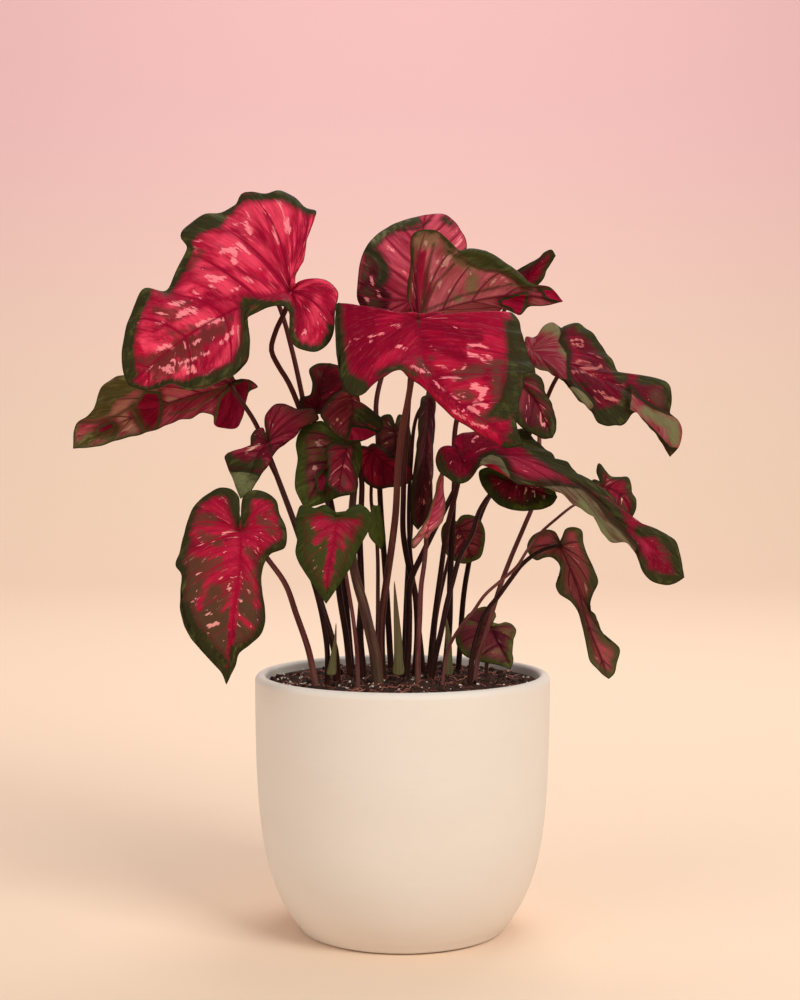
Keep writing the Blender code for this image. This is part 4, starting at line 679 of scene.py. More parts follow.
# %% Leaves of the middle
LEAVES.update({
    "blade_round_back": dict(
        face=1, kind="olive", bulge=0.12, wave=(0.04, 3, 0.0),
        rib=points("3.4 24.4 3.2, 3.7 23.8 3.1, 4 23.1 3, 4.2 22.35 2.8"),
        notch=(3.3, 24.8, 3.2),
        left=points("2.9 24.95, 2.5 24.6, 2.4 23.6, 2.7 22.8, 3.2 22.4, 3.8 22.25"),
        left_depth=[3.0, 2.9, 2.8],
        right=points("3.6 25.15, 4.1 25.2, 4.6 25, 4.95 24.4, 4.95 23.3, 4.7 22.6"),
        right_depth=[3.2, 3.1, 2.9]),
    "blade_pink_furled": dict(
        face=1, kind="pink", bulge=0.1, wave=(0.03, 4, 0.0),
        rib=points("1.45 24.2 -2.1, 1.75 25.3 -2.2, 2.1 26.6 -2.2, 2.5 28.1 -2.2"),
        notch=(1.2, 23.85, -2.1),
        left=points("""
            1.35 23.55, 1.6 23.65, 1.8 24, 2.4 24.6, 2.8 25, 2.95 25.6, 2.95 26.4, 2.7 27, 2.6 27.6"""),
        left_depth=[-1.8, -1.4, -1.1, -1.5],
        right=points("""
            0.8 23.2, 0.35 22.75, 0.2 23.3, 0.7 24, 1 24.4, 1.2 24.8, 1.6 25.4, 1.8 26, 2 26.7, 2.1 27.4"""),
        right_depth=[-2.5, -2.7, -2.7, -2.5]),
    "blade_edge_on": dict(
        face=1, kind="red", bulge=0.15, wave=(0.05, 4, 0.0),
        rib=points("1.55 32.2 1.2, 1.4 30 1, 1.3 28 1, 1.2 26 1, 0.95 24.3 1"),
        notch=(1.6, 32.5, 1.2),
        left=points("1.25 32.4, 1.05 31.6, 0.9 29.5, 0.85 28.2, 0.6 27, 0.5 25.5, 0.7 24.6"),
        left_depth=[0.0, -0.2, 0.1, 0.5],
        right=points("1.8 32.4, 1.95 31, 1.8 28.8, 1.8 27.3, 1.7 25.5, 1.3 24.7"),
        right_depth=[2.2, 2.4, 2.2, 1.6]),
    "blade_heart_front": dict(
        face=1, kind="green", bulge=0.25, wave=(0.06, 5, 0.2),
        rib=points("-3.95 25.1 -5.5, -4.2 23.5 -5.9, -4.5 22 -6.2, -4.65 19.8 -6.5"),
        notch=(-4.0, 25.35, -5.4),
        left=points("""
            -3.6 25.4, -3.1 25.5, -2.7 25.85, -2.3 25.7, -1.85 25, -1.9 24.6, -2.15 24.1, -2.7 23.1,
            -3 22.3, -3.5 21.5, -4.1 20.6"""),
        left_depth=[-5.0, -5.0, -5.6, -6.1],
        right=points("""
            -4.3 25.5, -4.7 25.8, -5.4 25.6, -6.2 25.75, -6.4 25.3, -6.5 24.3, -6.4 23.8, -6.5 22.9,
            -6.3 22.3, -6 21.8, -5.4 20.9, -5 20.3"""),
        right_depth=[-5.0, -5.1, -5.6, -6.1]),
    "blade_spotted": dict(
        face=1, kind="green", bulge=0.2, wave=(0.06, 5, 0.0),
        rib=points("-3.4 29.6 -0.5, -4.3 28.3 -0.8, -5.2 27 -1.1, -5.95 25.6 -1.4"),
        notch=(-3.35, 30.0, -0.4),
        left=points("-2.9 30.1, -2.6 29.7, -2.45 28.8, -2.7 27.5, -2.9 26.6, -3.9 26.3, -4.9 25.9"),
        left_depth=[-0.4, -0.6, -0.9, -1.2],
        right=points("""
            -3.9 30, -4.4 30.5, -4.9 30.9, -5.4 30.8, -6.2 30.3, -6.45 29.6, -6.35 28.6, -6.5 27.6,
            -6.5 26.8, -6.2 26.1"""),
        right_depth=[-0.4, -0.4, -0.7, -1.1]),
    "blade_spotted_fold": dict(
        face=1, kind="red", bulge=0.1, wave=(0.03, 3, 0.0),
        rib=points("-3.4 29.2 -1.6, -3.65 28.2 -1.8, -3.8 27.4 -2, -3.9 26.4 -2.2"),
        notch=(-3.45, 29.5, -1.6),
        left=points("-3.1 29.6, -2.95 29.3, -3.05 28, -2.75 27.5, -2.85 26.6"),
        left_depth=[-1.4, -1.5, -1.9],
        right=points("-3.8 29.6, -4.35 29.6, -4.6 29.3, -4.5 28, -4.65 27.2"),
        right_depth=[-1.7, -2.0, -2.2]),
    "blade_red_upright": dict(
        face=1, kind="red", bulge=0.1, wave=(0.03, 3, 0.0),
        rib=points("-5.05 31.7 0.9, -5 32.6 0.7, -4.8 33.6 0.5, -4.4 34.4 0.3"),
        notch=(-5.1, 31.35, 0.9),
        left=points("-5.6 31.35, -6.1 31.7, -6.2 32.3, -5.6 32.5, -5.45 33.1, -5.6 34.1, -5.2 34.35"),
        left_depth=[0.6, 0.3, 0.3],
        right=points("-4.6 31.3, -4 31.7, -3.5 32.6, -3.4 33.6, -3.8 34.2"),
        right_depth=[0.9, 0.8, 0.5]),
    "blade_dark_centre": dict(
        face=1, kind="green", bulge=0.12, wave=(0.04, 4, 0.0),
        rib=points("-3.1 32.4 -1.5, -2.95 31.2 -1.8, -3.1 30.2 -2, -2.9 29.55 -2.1"),
        notch=(-3.1, 32.75, -1.5),
        left=points("-2.7 32.5, -2.5 31.9, -2.1 31.55, -1.7 31.4, -1.3 31.1, -1.2 30.5, -2 29.9"),
        left_depth=[-1.3, -1.3, -1.7],
        right=points("-3.4 32.85, -3.8 32.7, -4.6 32, -4.95 31.2, -4.7 30.8, -4 30, -3.3 29.65"),
        right_depth=[-1.9, -2.4, -2.4]),
    "blade_round_centre": dict(
        face=1, kind="green", bulge=0.12, wave=(0.04, 3, 0.0),
        rib=points("-0.45 30.2 4, -0.4 29.5 4, -0.2 28.7 4, 0 27.9 4"),
        notch=(-0.45, 30.7, 4.0),
        left=points("-0.75 31.3, -1.25 31.2, -1.5 30.5, -1.5 29.3, -1.15 28.4, -0.55 28"),
        left_depth=[4.2, 4.2, 4.1],
        right=points("-0.2 31.3, 0.3 31, 0.45 30.4, 0.55 29.5, 0.6 28.8, 0.45 28.2"),
        right_depth=[4.0, 3.9, 4.0]),
    "blade_red_centre": dict(
        face=1, kind="red", bulge=0.12, wave=(0.04, 3, 0.0),
        rib=points("-1.9 29.1 1.9, -1.2 28.5 1.8, -0.5 28 1.7, 0.65 27.4 1.6"),
        notch=(-2.1, 29.35, 1.9),
        left=points("-2.5 29.4, -2.75 28.3, -2.5 27.5, -2 27, -1.5 26.8, -0.8 26.9, 0.1 27"),
        left_depth=[2.0, 1.8, 1.7],
        right=points("-1.8 29.55, -1.4 29.4, -0.4 28.7, 0.4 28.35"),
        right_depth=[1.9, 1.7, 1.6]),
    "blade_small_green": dict(
        face=1, kind="green", bulge=0.08, wave=(0.02, 3, 0.0),
        rib=points("-1.6 25.5 -0.7, -1.6 24.9 -0.8, -1.5 24.2 -0.9, -1.3 23.1 -1"),
        notch=(-1.6, 25.75, -0.7),
        left=points("-1.45 25.8, -1.3 25.3, -1.15 24.5, -1.05 23.7"),
        left_depth=[-0.7, -0.8, -0.9],
        right=points("-1.75 25.8, -1.95 25.3, -2.05 24.8, -2 23.9, -1.6 23.4"),
        right_depth=[-0.7, -0.8, -0.9]),
})

# %% Leaves of the back
LEAVES.update({
    "blade_back_left": dict(
        face=-1, kind="crimson", bulge=0.3, wave=(0.1, 5, 0.0),
        rib=points("-8.4 40.4 3.6, -8.8 40.3 6, -9.2 39.8 8.6, -9.8 38.9 11.2"),
        notch=(-8.3, 40.6, 3.2),
        left=points("-7.6 41, -6.6 41, -6.2 40.4, -6.6 39.8, -7.6 39.2, -8.8 38.8"),
        left_depth=[2.4, 3.6, 6.2, 9.2],
        right=points("-9.2 41, -10.6 40.8, -11.4 40.2, -11.6 39.6, -11 39"),
        right_depth=[2.4, 3.6, 6.2, 9.2]),
    "blade_back_centre": dict(
        face=-1, kind="crimson", bulge=0.3, wave=(0.1, 5, 1.0),
        rib=points("2.4 35.6 5.4, 3 35 7.4, 3.6 34.2 9.4, 4.2 33.2 11.2"),
        notch=(2.2, 35.8, 5.0),
        left=points("1.4 35.6, -0.2 35.8, -1 35.2, -0.2 34.8, 1.6 34, 3.2 33"),
        left_depth=[4.2, 5.2, 7.2, 9.6],
        right=points("2.8 36.2, 4.4 36.2, 6 35.8, 6.4 35.2, 6 34.4, 5 33.4"),
        right_depth=[4.4, 5.0, 7.0, 9.4]),
    "blade_back_right": dict(
        face=-1, kind="olive", bulge=0.25, wave=(0.08, 5, 0.4),
        rib=points("10.4 34.9 4.2, 10.9 34.6 6, 11.5 34 7.8, 12.2 33.2 9.6"),
        notch=(10.2, 35.1, 3.9),
        left=points("9.7 34.9, 9.1 35, 9.3 34.7, 10.2 34.2, 11.4 33.2"),
        left_depth=[3.6, 4.2, 6.0, 8.2],
        right=points("10.6 35.5, 11.4 35.4, 12.2 34.9, 12.8 34, 12.8 33.2"),
        right_depth=[3.6, 4.4, 6.0, 8.2]),
})
print("leaves in the tables:", len(LEAVES))

# %% [markdown]
# ## Tables of the stems
# Each stem belongs to one leaf and has a radius at its top and foot, a kind of skin and a way down.
# The narrow sheaths at the feet of some stems are described like leaves.

# %% Stems
STEMS = {
    "stem_big_left": dict(
        blade="blade_big_left", kind="dark", radii=(0.15, 0.2),
        way=points("""
            -7.1 37.6 -0.9, -7.7 36.3 -0.5, -7.95 35.2 -0.2, -7.5 34.2 0, -7 33.4 0.1, -6.3 31.8 0.1,
            -5.7 30 0.1, -5.1 28 0.1, -4.5 26.5 0.1, -4.05 23.5 0.2, -3.9 20.8 0.2, -3.4 17.5 0.2,
            -3.2 15.3 0.2""")),
    "stem_left_drooping": dict(
        blade="blade_left_drooping", kind="dark", radii=(0.13, 0.24),
        way=points("""
            -10.2 32.7 0.1, -9.5 31.7 0.2, -9 30.9 0.4, -8.3 29.3 0.2, -7.5 27.2 -0.2, -6.5 24.5 -0.8,
            -5.2 20.5 -1.4, -4.5 18.2 -1.8, -4.15 17 -1.9, -4 15.3 -1.9""")),
    "stem_top_back": dict(
        blade="blade_top_back", kind="dark", radii=(0.14, 0.2),
        way=points("""
            0.2 37.3 4.7, -0.5 35.5 4.4, -1.2 33.8 3.9, -1.6 32 3.3, -1.5 30 2.7, -1.35 26 2.3,
            -1 21 2.3, -0.7 15.3 2.2""")),
    "stem_top_folded": dict(
        blade="blade_top_folded", kind="dark", radii=(0.14, 0.2),
        way=points("""
            0.75 36.4 -0.3, 0.5 34 -0.2, 0.3 31 0, 0.1 28 0.2, 0.05 26.3 0.3, 0.05 24 0.3,
            0.35 22.2 0.3, 0.75 20.5 0.3, 0.9 18.5 0.3, 0.75 15.3 0.3""")),
    "stem_front_centre": dict(
        blade="blade_front_centre", kind="brown", radii=(0.17, 0.24),
        way=points("""
            0.85 35.6 -4.2, 0.55 33.5 -3.4, 0.3 32 -3, 0.1 31 -2.7, -0.2 29 -2.3, -0.45 25 -1.7,
            -0.7 23 -1.5, -1 21 -1.3, -1.25 19 -1.2, -1.3 17 -1.1, -1.2 15.3 -1""")),
    "stem_right_back": dict(
        blade="blade_right_back", kind="dark", radii=(0.12, 0.22),
        way=points("""
            6.2 37.7 3.4, 5.2 35.4 3.2, 4 33 2.6, 3.3 31 2.1, 3.15 27 1.7, 3 24 1.5, 2.9 21 1.4,
            2.85 18.6 1.3, 2.6 15.3 1.2""")),
    "stem_right_twisted": dict(
        blade="blade_right_twisted", kind="pink", radii=(0.12, 0.16),
        way=points("""
            7.9 34.2 1.7, 8.2 32 1.2, 8.3 29 0.6, 8 26 0.1, 7.4 24.5 -0.2, 6.6 22.6 -0.5, 6 21 -0.7,
            5.5 19.4 -0.9, 5.05 17.9 -1.2, 4.6 16.4 -1.3, 4.4 15.3 -1.3""")),
    "stem_behind_centre": dict(
        blade="blade_behind_centre", kind="dark", radii=(0.12, 0.22),
        way=points("""
            6.3 32.4 -0.7, 5 30.4 -0.5, 3.9 28.2 -0.5, 2.6 25.6 -0.4, 1.3 23 -0.4, 0.45 21 -0.5,
            0.4 19 -0.6, 0.35 17 -0.7, 0.2 15.3 -0.8""")),
    "stem_long_arching": dict(
        blade="blade_long_arching", kind="dark", radii=(0.15, 0.18),
        way=points("""
            3.5 27.8 -1.8, 3.25 26.6 -1, 2.75 24.6 -0.4, 2.3 21.5 -0.4, 1.85 18 -0.5, 1.6 15.3 -0.5""")),
    "stem_dark_lobe": dict(
        blade="blade_dark_lobe", kind="dark", radii=(0.13, 0.18),
        way=points("""
            6.1 27.1 -0.9, 5.3 26.4 -0.7, 4.7 25.5 -0.6, 4.2 24 -0.6, 3.5 22.7 -0.7, 3.1 21.3 -1,
            2.7 19.8 -1.4, 2.4 18.3 -1.7, 2 16.5 -1.9, 1.75 15.3 -1.9""")),
    "stem_small_right": dict(
        blade="blade_small_right", kind="pink", radii=(0.08, 0.11),
        way=points("""
            11.7 26.4 0.1, 10.6 25.9 -0.5, 9.4 25 -1.6, 8.3 24 -2.3, 7.5 22.9 -2.7, 7 22.1 -2.9,
            6 21.2 -3.1, 5 20.3 -3.2, 4.3 19.3 -3.2, 3.5 18.3 -3.1, 2.9 17.3 -3, 2.4 15.3 -3""")),
    "stem_hanging_lance": dict(
        blade="blade_hanging_lance", kind="dark", radii=(0.12, 0.17),
        way=points("""
            9.2 23.3 -1.9, 8.2 22.9 -2.1, 7.3 22.2 -2.1, 6.6 21.3 -2.1, 5.8 20.2 -2.2, 5.1 19.3 -2.3,
            4.6 18 -2.4, 4.25 16.5 -2.5, 4.1 15.3 -2.5""")),
    "stem_low_right": dict(
        blade="blade_low_right", kind="pink", radii=(0.1, 0.13),
        way=points("5.25 17.6 -0.1, 5.15 16.4 0.2, 5.1 15.3 0.2")),
    "stem_round_back": dict(
        blade="blade_round_back", kind="brown", radii=(0.1, 0.14),
        way=points("3.1 23.6 3.6, 2.5 21.2 3.4, 2 18.5 3, 1.9 15.3 2.8")),
    "stem_pink_furled": dict(
        blade="blade_pink_furled", kind="pink", radii=(0.13, 0.18),
        way=points("""
            1.42 23.3 -1.5, 1.32 22.2 -1.7, 1.15 21 -2, 1.05 19 -2.2, 0.95 17 -2.4, 0.93 15.3 -2.5""")),
    "stem_edge_on": dict(
        blade="blade_edge_on", kind="dark", radii=(0.11, 0.15),
        way=points("1 31.5 2, 0.5 28 2.6, 0.4 24 2.3, 0.8 20 2, 1.1 17.5 1.7, 1.3 15.3 1.5")),
    "stem_heart_front": dict(
        blade="blade_heart_front", kind="pink", radii=(0.1, 0.13),
        way=points("""
            -3.9 24.4 -4.8, -3.6 22.6 -4.7, -3.35 21 -4.5, -3 18.8 -4.2, -2.8 17 -4, -2.7 15.3 -3.9""")),
    "stem_heart_left": dict(
        blade="blade_heart_left", kind="pink", radii=(0.14, 0.2),
        way=points("""
            -9.5 23.9 -5.3, -8.9 23.4 -5.2, -8.2 22.5 -5.1, -7.15 21 -4.7, -6.5 19.2 -4.2,
            -5.7 16.8 -3.7, -5.3 15.3 -3.5""")),
    "stem_left_centre": dict(
        blade="blade_left_centre", kind="dark", radii=(0.12, 0.17),
        way=points("""
            -8.2 28.8 -0.6, -7.6 27.4 -0.9, -6.9 25.6 -1.5, -5.7 22 -2.3, -4.9 19 -2.9, -4.6 17 -3,
            -4.6 15.3 -3""")),
    "stem_spotted": dict(
        blade="blade_spotted", kind="dark", radii=(0.15, 0.24),
        way=points("""
            -2.9 28.9 0.1, -2.5 27.4 0.3, -2.5 25.9 0.3, -2.6 24 0.2, -2.55 22 0.1, -2.5 20 0,
            -2.6 18 -0.1, -2.4 15.3 -0.2""")),
    "stem_dark_centre": dict(
        blade="blade_dark_centre", kind="pale", radii=(0.14, 0.36),
        way=points("""
            -2.95 31.7 -0.6, -2.8 30 0.6, -2.9 27.5 0.9, -3.1 25 0.2, -2.9 21.6 -1.8, -2.7 20.8 -2.3,
            -2.4 19.8 -2.5, -2.1 18.5 -2.7, -1.75 17 -2.8, -1.5 15.3 -2.8""")),
    "stem_red_centre": dict(
        blade="blade_red_centre", kind="brown", radii=(0.1, 0.14),
        way=points("-1.85 28.2 2.4, -1.9 26 1.5, -1.6 24 1.1, -1.5 20 1, -1.6 15.3 0.9")),
    "stem_back_left": dict(
        blade="blade_back_left", kind="dark", radii=(0.14, 0.2),
        way=points("""
            -8.1 39.4 3.4, -7.3 37.4 3.3, -6.7 35.2 3.3, -5.7 30.6 3.2, -4.6 26.2 3, -3.6 21 2.7,
            -3.1 15.3 2.4""")),
    "stem_back_centre": dict(
        blade="blade_back_centre", kind="dark", radii=(0.14, 0.2),
        way=points("2 34.4 5.6, 1.3 31 5, 0.7 27 4.8, 0.3 21 4.2, 0.1 15.3 3.8")),
    "stem_back_right": dict(
        blade="blade_back_right", kind="dark", radii=(0.13, 0.18),
        way=points("9.4 33.6 4.6, 8.3 31.2 4.4, 6.8 28.6 4, 5 25.8 3.8, 3.9 21.5 3.2, 3.4 15.3 2.6")),
}
print("stems in the table:", len(STEMS))

# %% Sheaths in the table
SHEATHS = {
    "sheath_left": dict(
        face=1, kind="sheath", bulge=0.05, wave=(0.0, 1, 0.0),
        rib=points("-4.35 15.5 -3.7, -4.2 16.4 -3.55, -4.1 17.4 -3.45, -4.05 18.6 -3.4"),
        notch=(-4.35, 15.35, -3.7),
        left=points("-4 15.4, -3.85 16.3, -3.9 17.3, -4 18.1"),
        left_depth=[-3.5, -3.3, -3.3],
        right=points("-4.7 15.4, -4.6 16.4, -4.35 17.4, -4.15 18.1"),
        right_depth=[-3.5, -3.4, -3.4]),
    "sheath_centre": dict(
        face=1, kind="sheath", bulge=0.05, wave=(0.0, 1, 0.0),
        rib=points("-0.25 15.5 -2.4, -0.3 17.2 -2.2, -0.35 19 -2, -0.5 21.2 -1.9"),
        notch=(-0.25, 15.35, -2.4),
        left=points("0.15 15.4, 0.2 17, 0.1 18.6, -0.35 20.6"),
        left_depth=[-2.1, -1.9, -1.8],
        right=points("-0.6 15.4, -0.65 17, -0.65 18.8, -0.6 20.6"),
        right_depth=[-2.2, -2.1, -1.9]),
    "sheath_right": dict(
        face=1, kind="sheath", bulge=0.05, wave=(0.0, 1, 0.0),
        rib=points("2.8 15.5 -1.2, 2.9 16.6 -1, 2.85 17.8 -0.8, 2.6 19.2 -0.7"),
        notch=(2.8, 15.35, -1.2),
        left=points("3.15 15.4, 3.2 16.6, 3.1 17.6, 2.8 18.7"),
        left_depth=[-0.9, -0.7, -0.6],
        right=points("2.45 15.4, 2.5 16.6, 2.5 17.8, 2.5 18.7"),
        right_depth=[-1.1, -0.9, -0.7]),
}
print("sheaths in the table:", len(SHEATHS))

# %% [markdown]
# ## The shape of a blade
# A blade is built the way it grows. The stem meets it at a joint; from there the midrib runs to the tip,
# and side veins leave the joint and the midrib for the margin. So the surface is ruled from the midrib to
# the margin: one number, u, runs round the margin from the notch to the tip, and the other, w, crosses
# the blade from the left margin (-1) over the midrib (0) to the right margin (1). Lines of equal u are
# then exactly the paths of the side veins, which is what makes the ribs, the quilting between them and
# all the colouring easy later on. The lines sweep forward near the margin, as real veins do.

# %% Blade surface
RIB_START = 0.42
RIB_POWER = 1.25
SWEEP = 0.07
RUFFLE = 0.45


def margin_points(leaf, side):
    """The margin from notch to tip, with its depths spread evenly along it."""
    notch, tip = leaf["notch"], leaf["rib"][-1]
    flat = np.array([notch[:2], *leaf[side], tip[:2]], float)
    depths = np.array([notch[2], *leaf[side + "_depth"], tip[2]])
    along = np.interp(shares(flat), np.linspace(0, 1, len(depths)), depths)
    return placed(np.column_stack([flat, along]))


def leaf_frame(leaf):
    """Midrib, left and right margins and the upper face's direction; the sides swap to keep it true."""
    rib = placed(leaf["rib"])
    left, right = margin_points(leaf, "left"), margin_points(leaf, "right")
    normal = unit(np.cross(right.mean(axis=0) - left.mean(axis=0), rib[-1] - rib[0]))
    if (normal @ (EYE - rib[0]) > 0) != (leaf["face"] > 0):
        left, right, normal = right, left, -normal
    return rib, left, right, normal


def rib_share(u):
    """Where on the midrib the vein to margin place u leaves: the joint itself for the basal lobes."""
    return np.clip((u - RIB_START) / (1.0 - RIB_START), 0.0, 1.0) ** RIB_POWER


def leaf_sheet(leaf, u, w):
    """The blade's middle surface over u (rows) and w (columns).

    P = (1 - v) rib + v margin + N (bulge 4 v (1 - v) (1 - u^6) + wave v^2 sin(pi u) sin(2 pi f u + p)
    + a finer ruffle that grows with v^4), where v = |w| and u is swept forward by SWEEP v^2 sin(pi u).
    """
    rib, left, right, normal = leaf_frame(leaf)
    v = np.abs(w)[None, :] + 0.0 * u[:, None]
    u = u[:, None] + SWEEP * np.sin(np.pi * u[:, None]) * v**2
    root = smooth_line(rib, rib_share(u))
    edge = np.where((w < 0)[None, :, None], smooth_line(left, u), smooth_line(right, u))
    height, cycles, phase = leaf["wave"]
    lift = leaf["bulge"] * 4 * v * (1 - v) * (1 - u**6)
    lift = lift + height * v**2 * np.sin(np.pi * u) * np.sin(2 * np.pi * cycles * u + phase)
    turned = 2 * np.pi * 2.3 * cycles * u + 2.1 * phase + np.sign(w)[None, :]
    lift = lift + RUFFLE * height * v**4 * np.sin(np.pi * u) ** 0.5 * np.sin(turned)
    return (1 - v)[..., None] * root + v[..., None] * edge + lift[..., None] * normal


sheet = leaf_sheet(LEAVES["blade_big_left"], np.linspace(0, 1, 40), np.linspace(-1, 1, 21))
print("largest blade spans", np.round(np.ptp(sheet.reshape(-1, 3), axis=0), 1).tolist(), "cm")

# %% [markdown]
# ## Rolled margins
# Many margins roll over and show their other face. A roll is a strip added outside the margin that bends
# round a small circle: its place is margin + r sin(t) outward + r (1 - cos(t)) up, with t from 0 to
# about 160 degrees and r the strip's width divided by that angle. Its width swells and fades along the
# margin round given places, and the sheet under it draws in by r, so the outline stays where it was.

# %% Rolls
ROLL_ANGLE = 2.8
ROLL_COLUMNS = 6


def roll_widths(sheet, rolls):
    """The strip's width and its side (up or down) along the left and the right margin of a sheet."""
    found = np.zeros((2, len(sheet)))
    for x, z, reach, width, side in rolls:
        edges = flattened(np.stack([sheet[:, 0], sheet[:, -1]]))
        off = np.linalg.norm(edges - (x, z), axis=2)
        which, row = np.unravel_index(off.argmin(), off.shape)
        steps = np.linalg.norm(np.diff(edges[which], axis=0), axis=1)
        along = np.concatenate([[0], np.cumsum(steps)])
        found[which] += side * width * np.exp(-((along - along[row]) / reach) ** 4)
    return found


def calmed(ways, reach=5):
    """A running mean along the margin, so that a roll doesn't follow every small kink."""
    padded = np.pad(ways, ((reach, reach), (0, 0)), "edge")
    return np.mean([padded[k:k + len(ways)] for k in range(2 * reach + 1)], axis=0)


def roll_margins(sheet, w, rolls, normal):
    """The sheet drawn in where a margin rolls, with the rolled strips added outside it."""
    widths = roll_widths(sheet, rolls)
    turn = np.linspace(0, ROLL_ANGLE, ROLL_COLUMNS + 1)[1:]
    strips = []
    for which, column, inner in ((0, 0, 2), (1, -1, -3)):
        edge = sheet[:, column]
        outward = unit(edge - sheet[:, inner] + 1e-12)
        onward = np.gradient(edge, axis=0)
        up = np.cross(onward, outward)
        up = up * np.sign((up * normal).sum(1))[:, None]
        outward, up = (unit(calmed(way) + 1e-12) for way in (outward, unit(up + 1e-12)))
        radius = np.abs(widths[which])[:, None] / ROLL_ANGLE
        side = np.sign(widths[which])[:, None]
        pull = (np.clip(w * (1 if which else -1), 0, 1) ** 6)[None, :, None]
        sheet = sheet - pull * (radius * outward)[:, None]
        edge = sheet[:, column]
        strips.append(edge[:, None] + radius[:, None] * (
            np.sin(turn)[None, :, None] * outward[:, None]
            + (1 - np.cos(turn))[None, :, None] * (side * up)[:, None]))
    return np.concatenate([strips[0][:, ::-1], sheet, strips[1]], axis=1)


# %% [markdown]
# ## From a sheet to a leaf
# The sheet gets a thickness of half a millimetre and a rounded edge. Its relief is measured from the
# veins: the upper face sinks along them and swells between them, which is the quilting that catches the
# light, and on the underside the midrib and the side veins stand out as fine cords. The distances that
# this needs, to the nearest vein, margin and joint, are kept as maps for the finish. Further maps hold the
# marks that are given for one leaf: where it is green, bare of its green margin, olive, deep, rosy,
# flecked or folded over to show its back, and where a fold runs as a dark line, the margin's green
# darkened as painted shade. A mark is kept as the distance inside its outline, so its edge stays sharp
# however far apart the points of the leaf are.

# %% Leaf builder
LEAF_THICKNESS = 0.05
QUILT = 0.05
QUILT_WIDTH = 0.16
RIB_CORD = 0.07
VEIN_CORD = 0.025
FOLD_RISE = 0.13
# A fold's dark line, the last kind of mark, is the margin's green darkened as painted shade.
MARK_KINDS = ("green", "bare", "olive", "deep", "rosy", "fleck", "back", "crease")


def surface_normals(points, faces, place, count):
    """One direction for each grid point: the mean of its faces' directions, weighted by their area."""
    a, b, c = (points[faces[:, k]] for k in range(3))
    across = np.cross(b - a, c - a)
    total = np.zeros((count, 3))
    for k in range(3):
        np.add.at(total, place[faces[:, k]], across)
    return unit(total + 1e-12)[place]


def nearest(points, others, group=800):
    """Each point's distance to the closest of the others, worked out a group at a time."""
    parts = [points[i:i + group] for i in range(0, len(points), group)]
    return np.concatenate([np.sqrt(((p[:, None] - others[None]) ** 2).sum(-1).min(1)) for p in parts])


def mark_field(flat, radius, outline):
    """How far inside a mark each point is, in cm: a band round a line of points, or a closed outline."""
    ends = np.roll(outline, -1, axis=0)
    if radius:
        outline, ends = (outline[:-1], ends[:-1]) if len(outline) > 1 else (outline, outline)
    reach, inside = np.full(len(flat), 9.0), np.zeros(len(flat), bool)
    for a, b in zip(outline, ends):
        run = b - a
        share = np.clip((flat - a) @ run / max(run @ run, 1e-9), 0, 1)
        reach = np.minimum(reach, np.linalg.norm(flat - a - share[:, None] * run, axis=1))
        if not radius:
            crossed = a[0] + (flat[:, 1] - a[1]) / (run[1] or 1e-9) * run[0]
            inside ^= ((a[1] > flat[:, 1]) != (b[1] > flat[:, 1])) & (flat[:, 0] < crossed)
    return radius - reach if radius else np.where(inside, reach, -reach)


def mark_fields(flat, marks):
    """The strongest field of each kind of mark at each point, and -2 cm where there is none."""
    fields = {kind: np.full(len(flat), -2.0) for kind in MARK_KINDS}
    for kind, radius, *outline in marks:
        near = np.clip(mark_field(flat, radius, np.array(outline, float)), -2, 2)
        fields[kind] = np.maximum(fields[kind], near)
    return fields


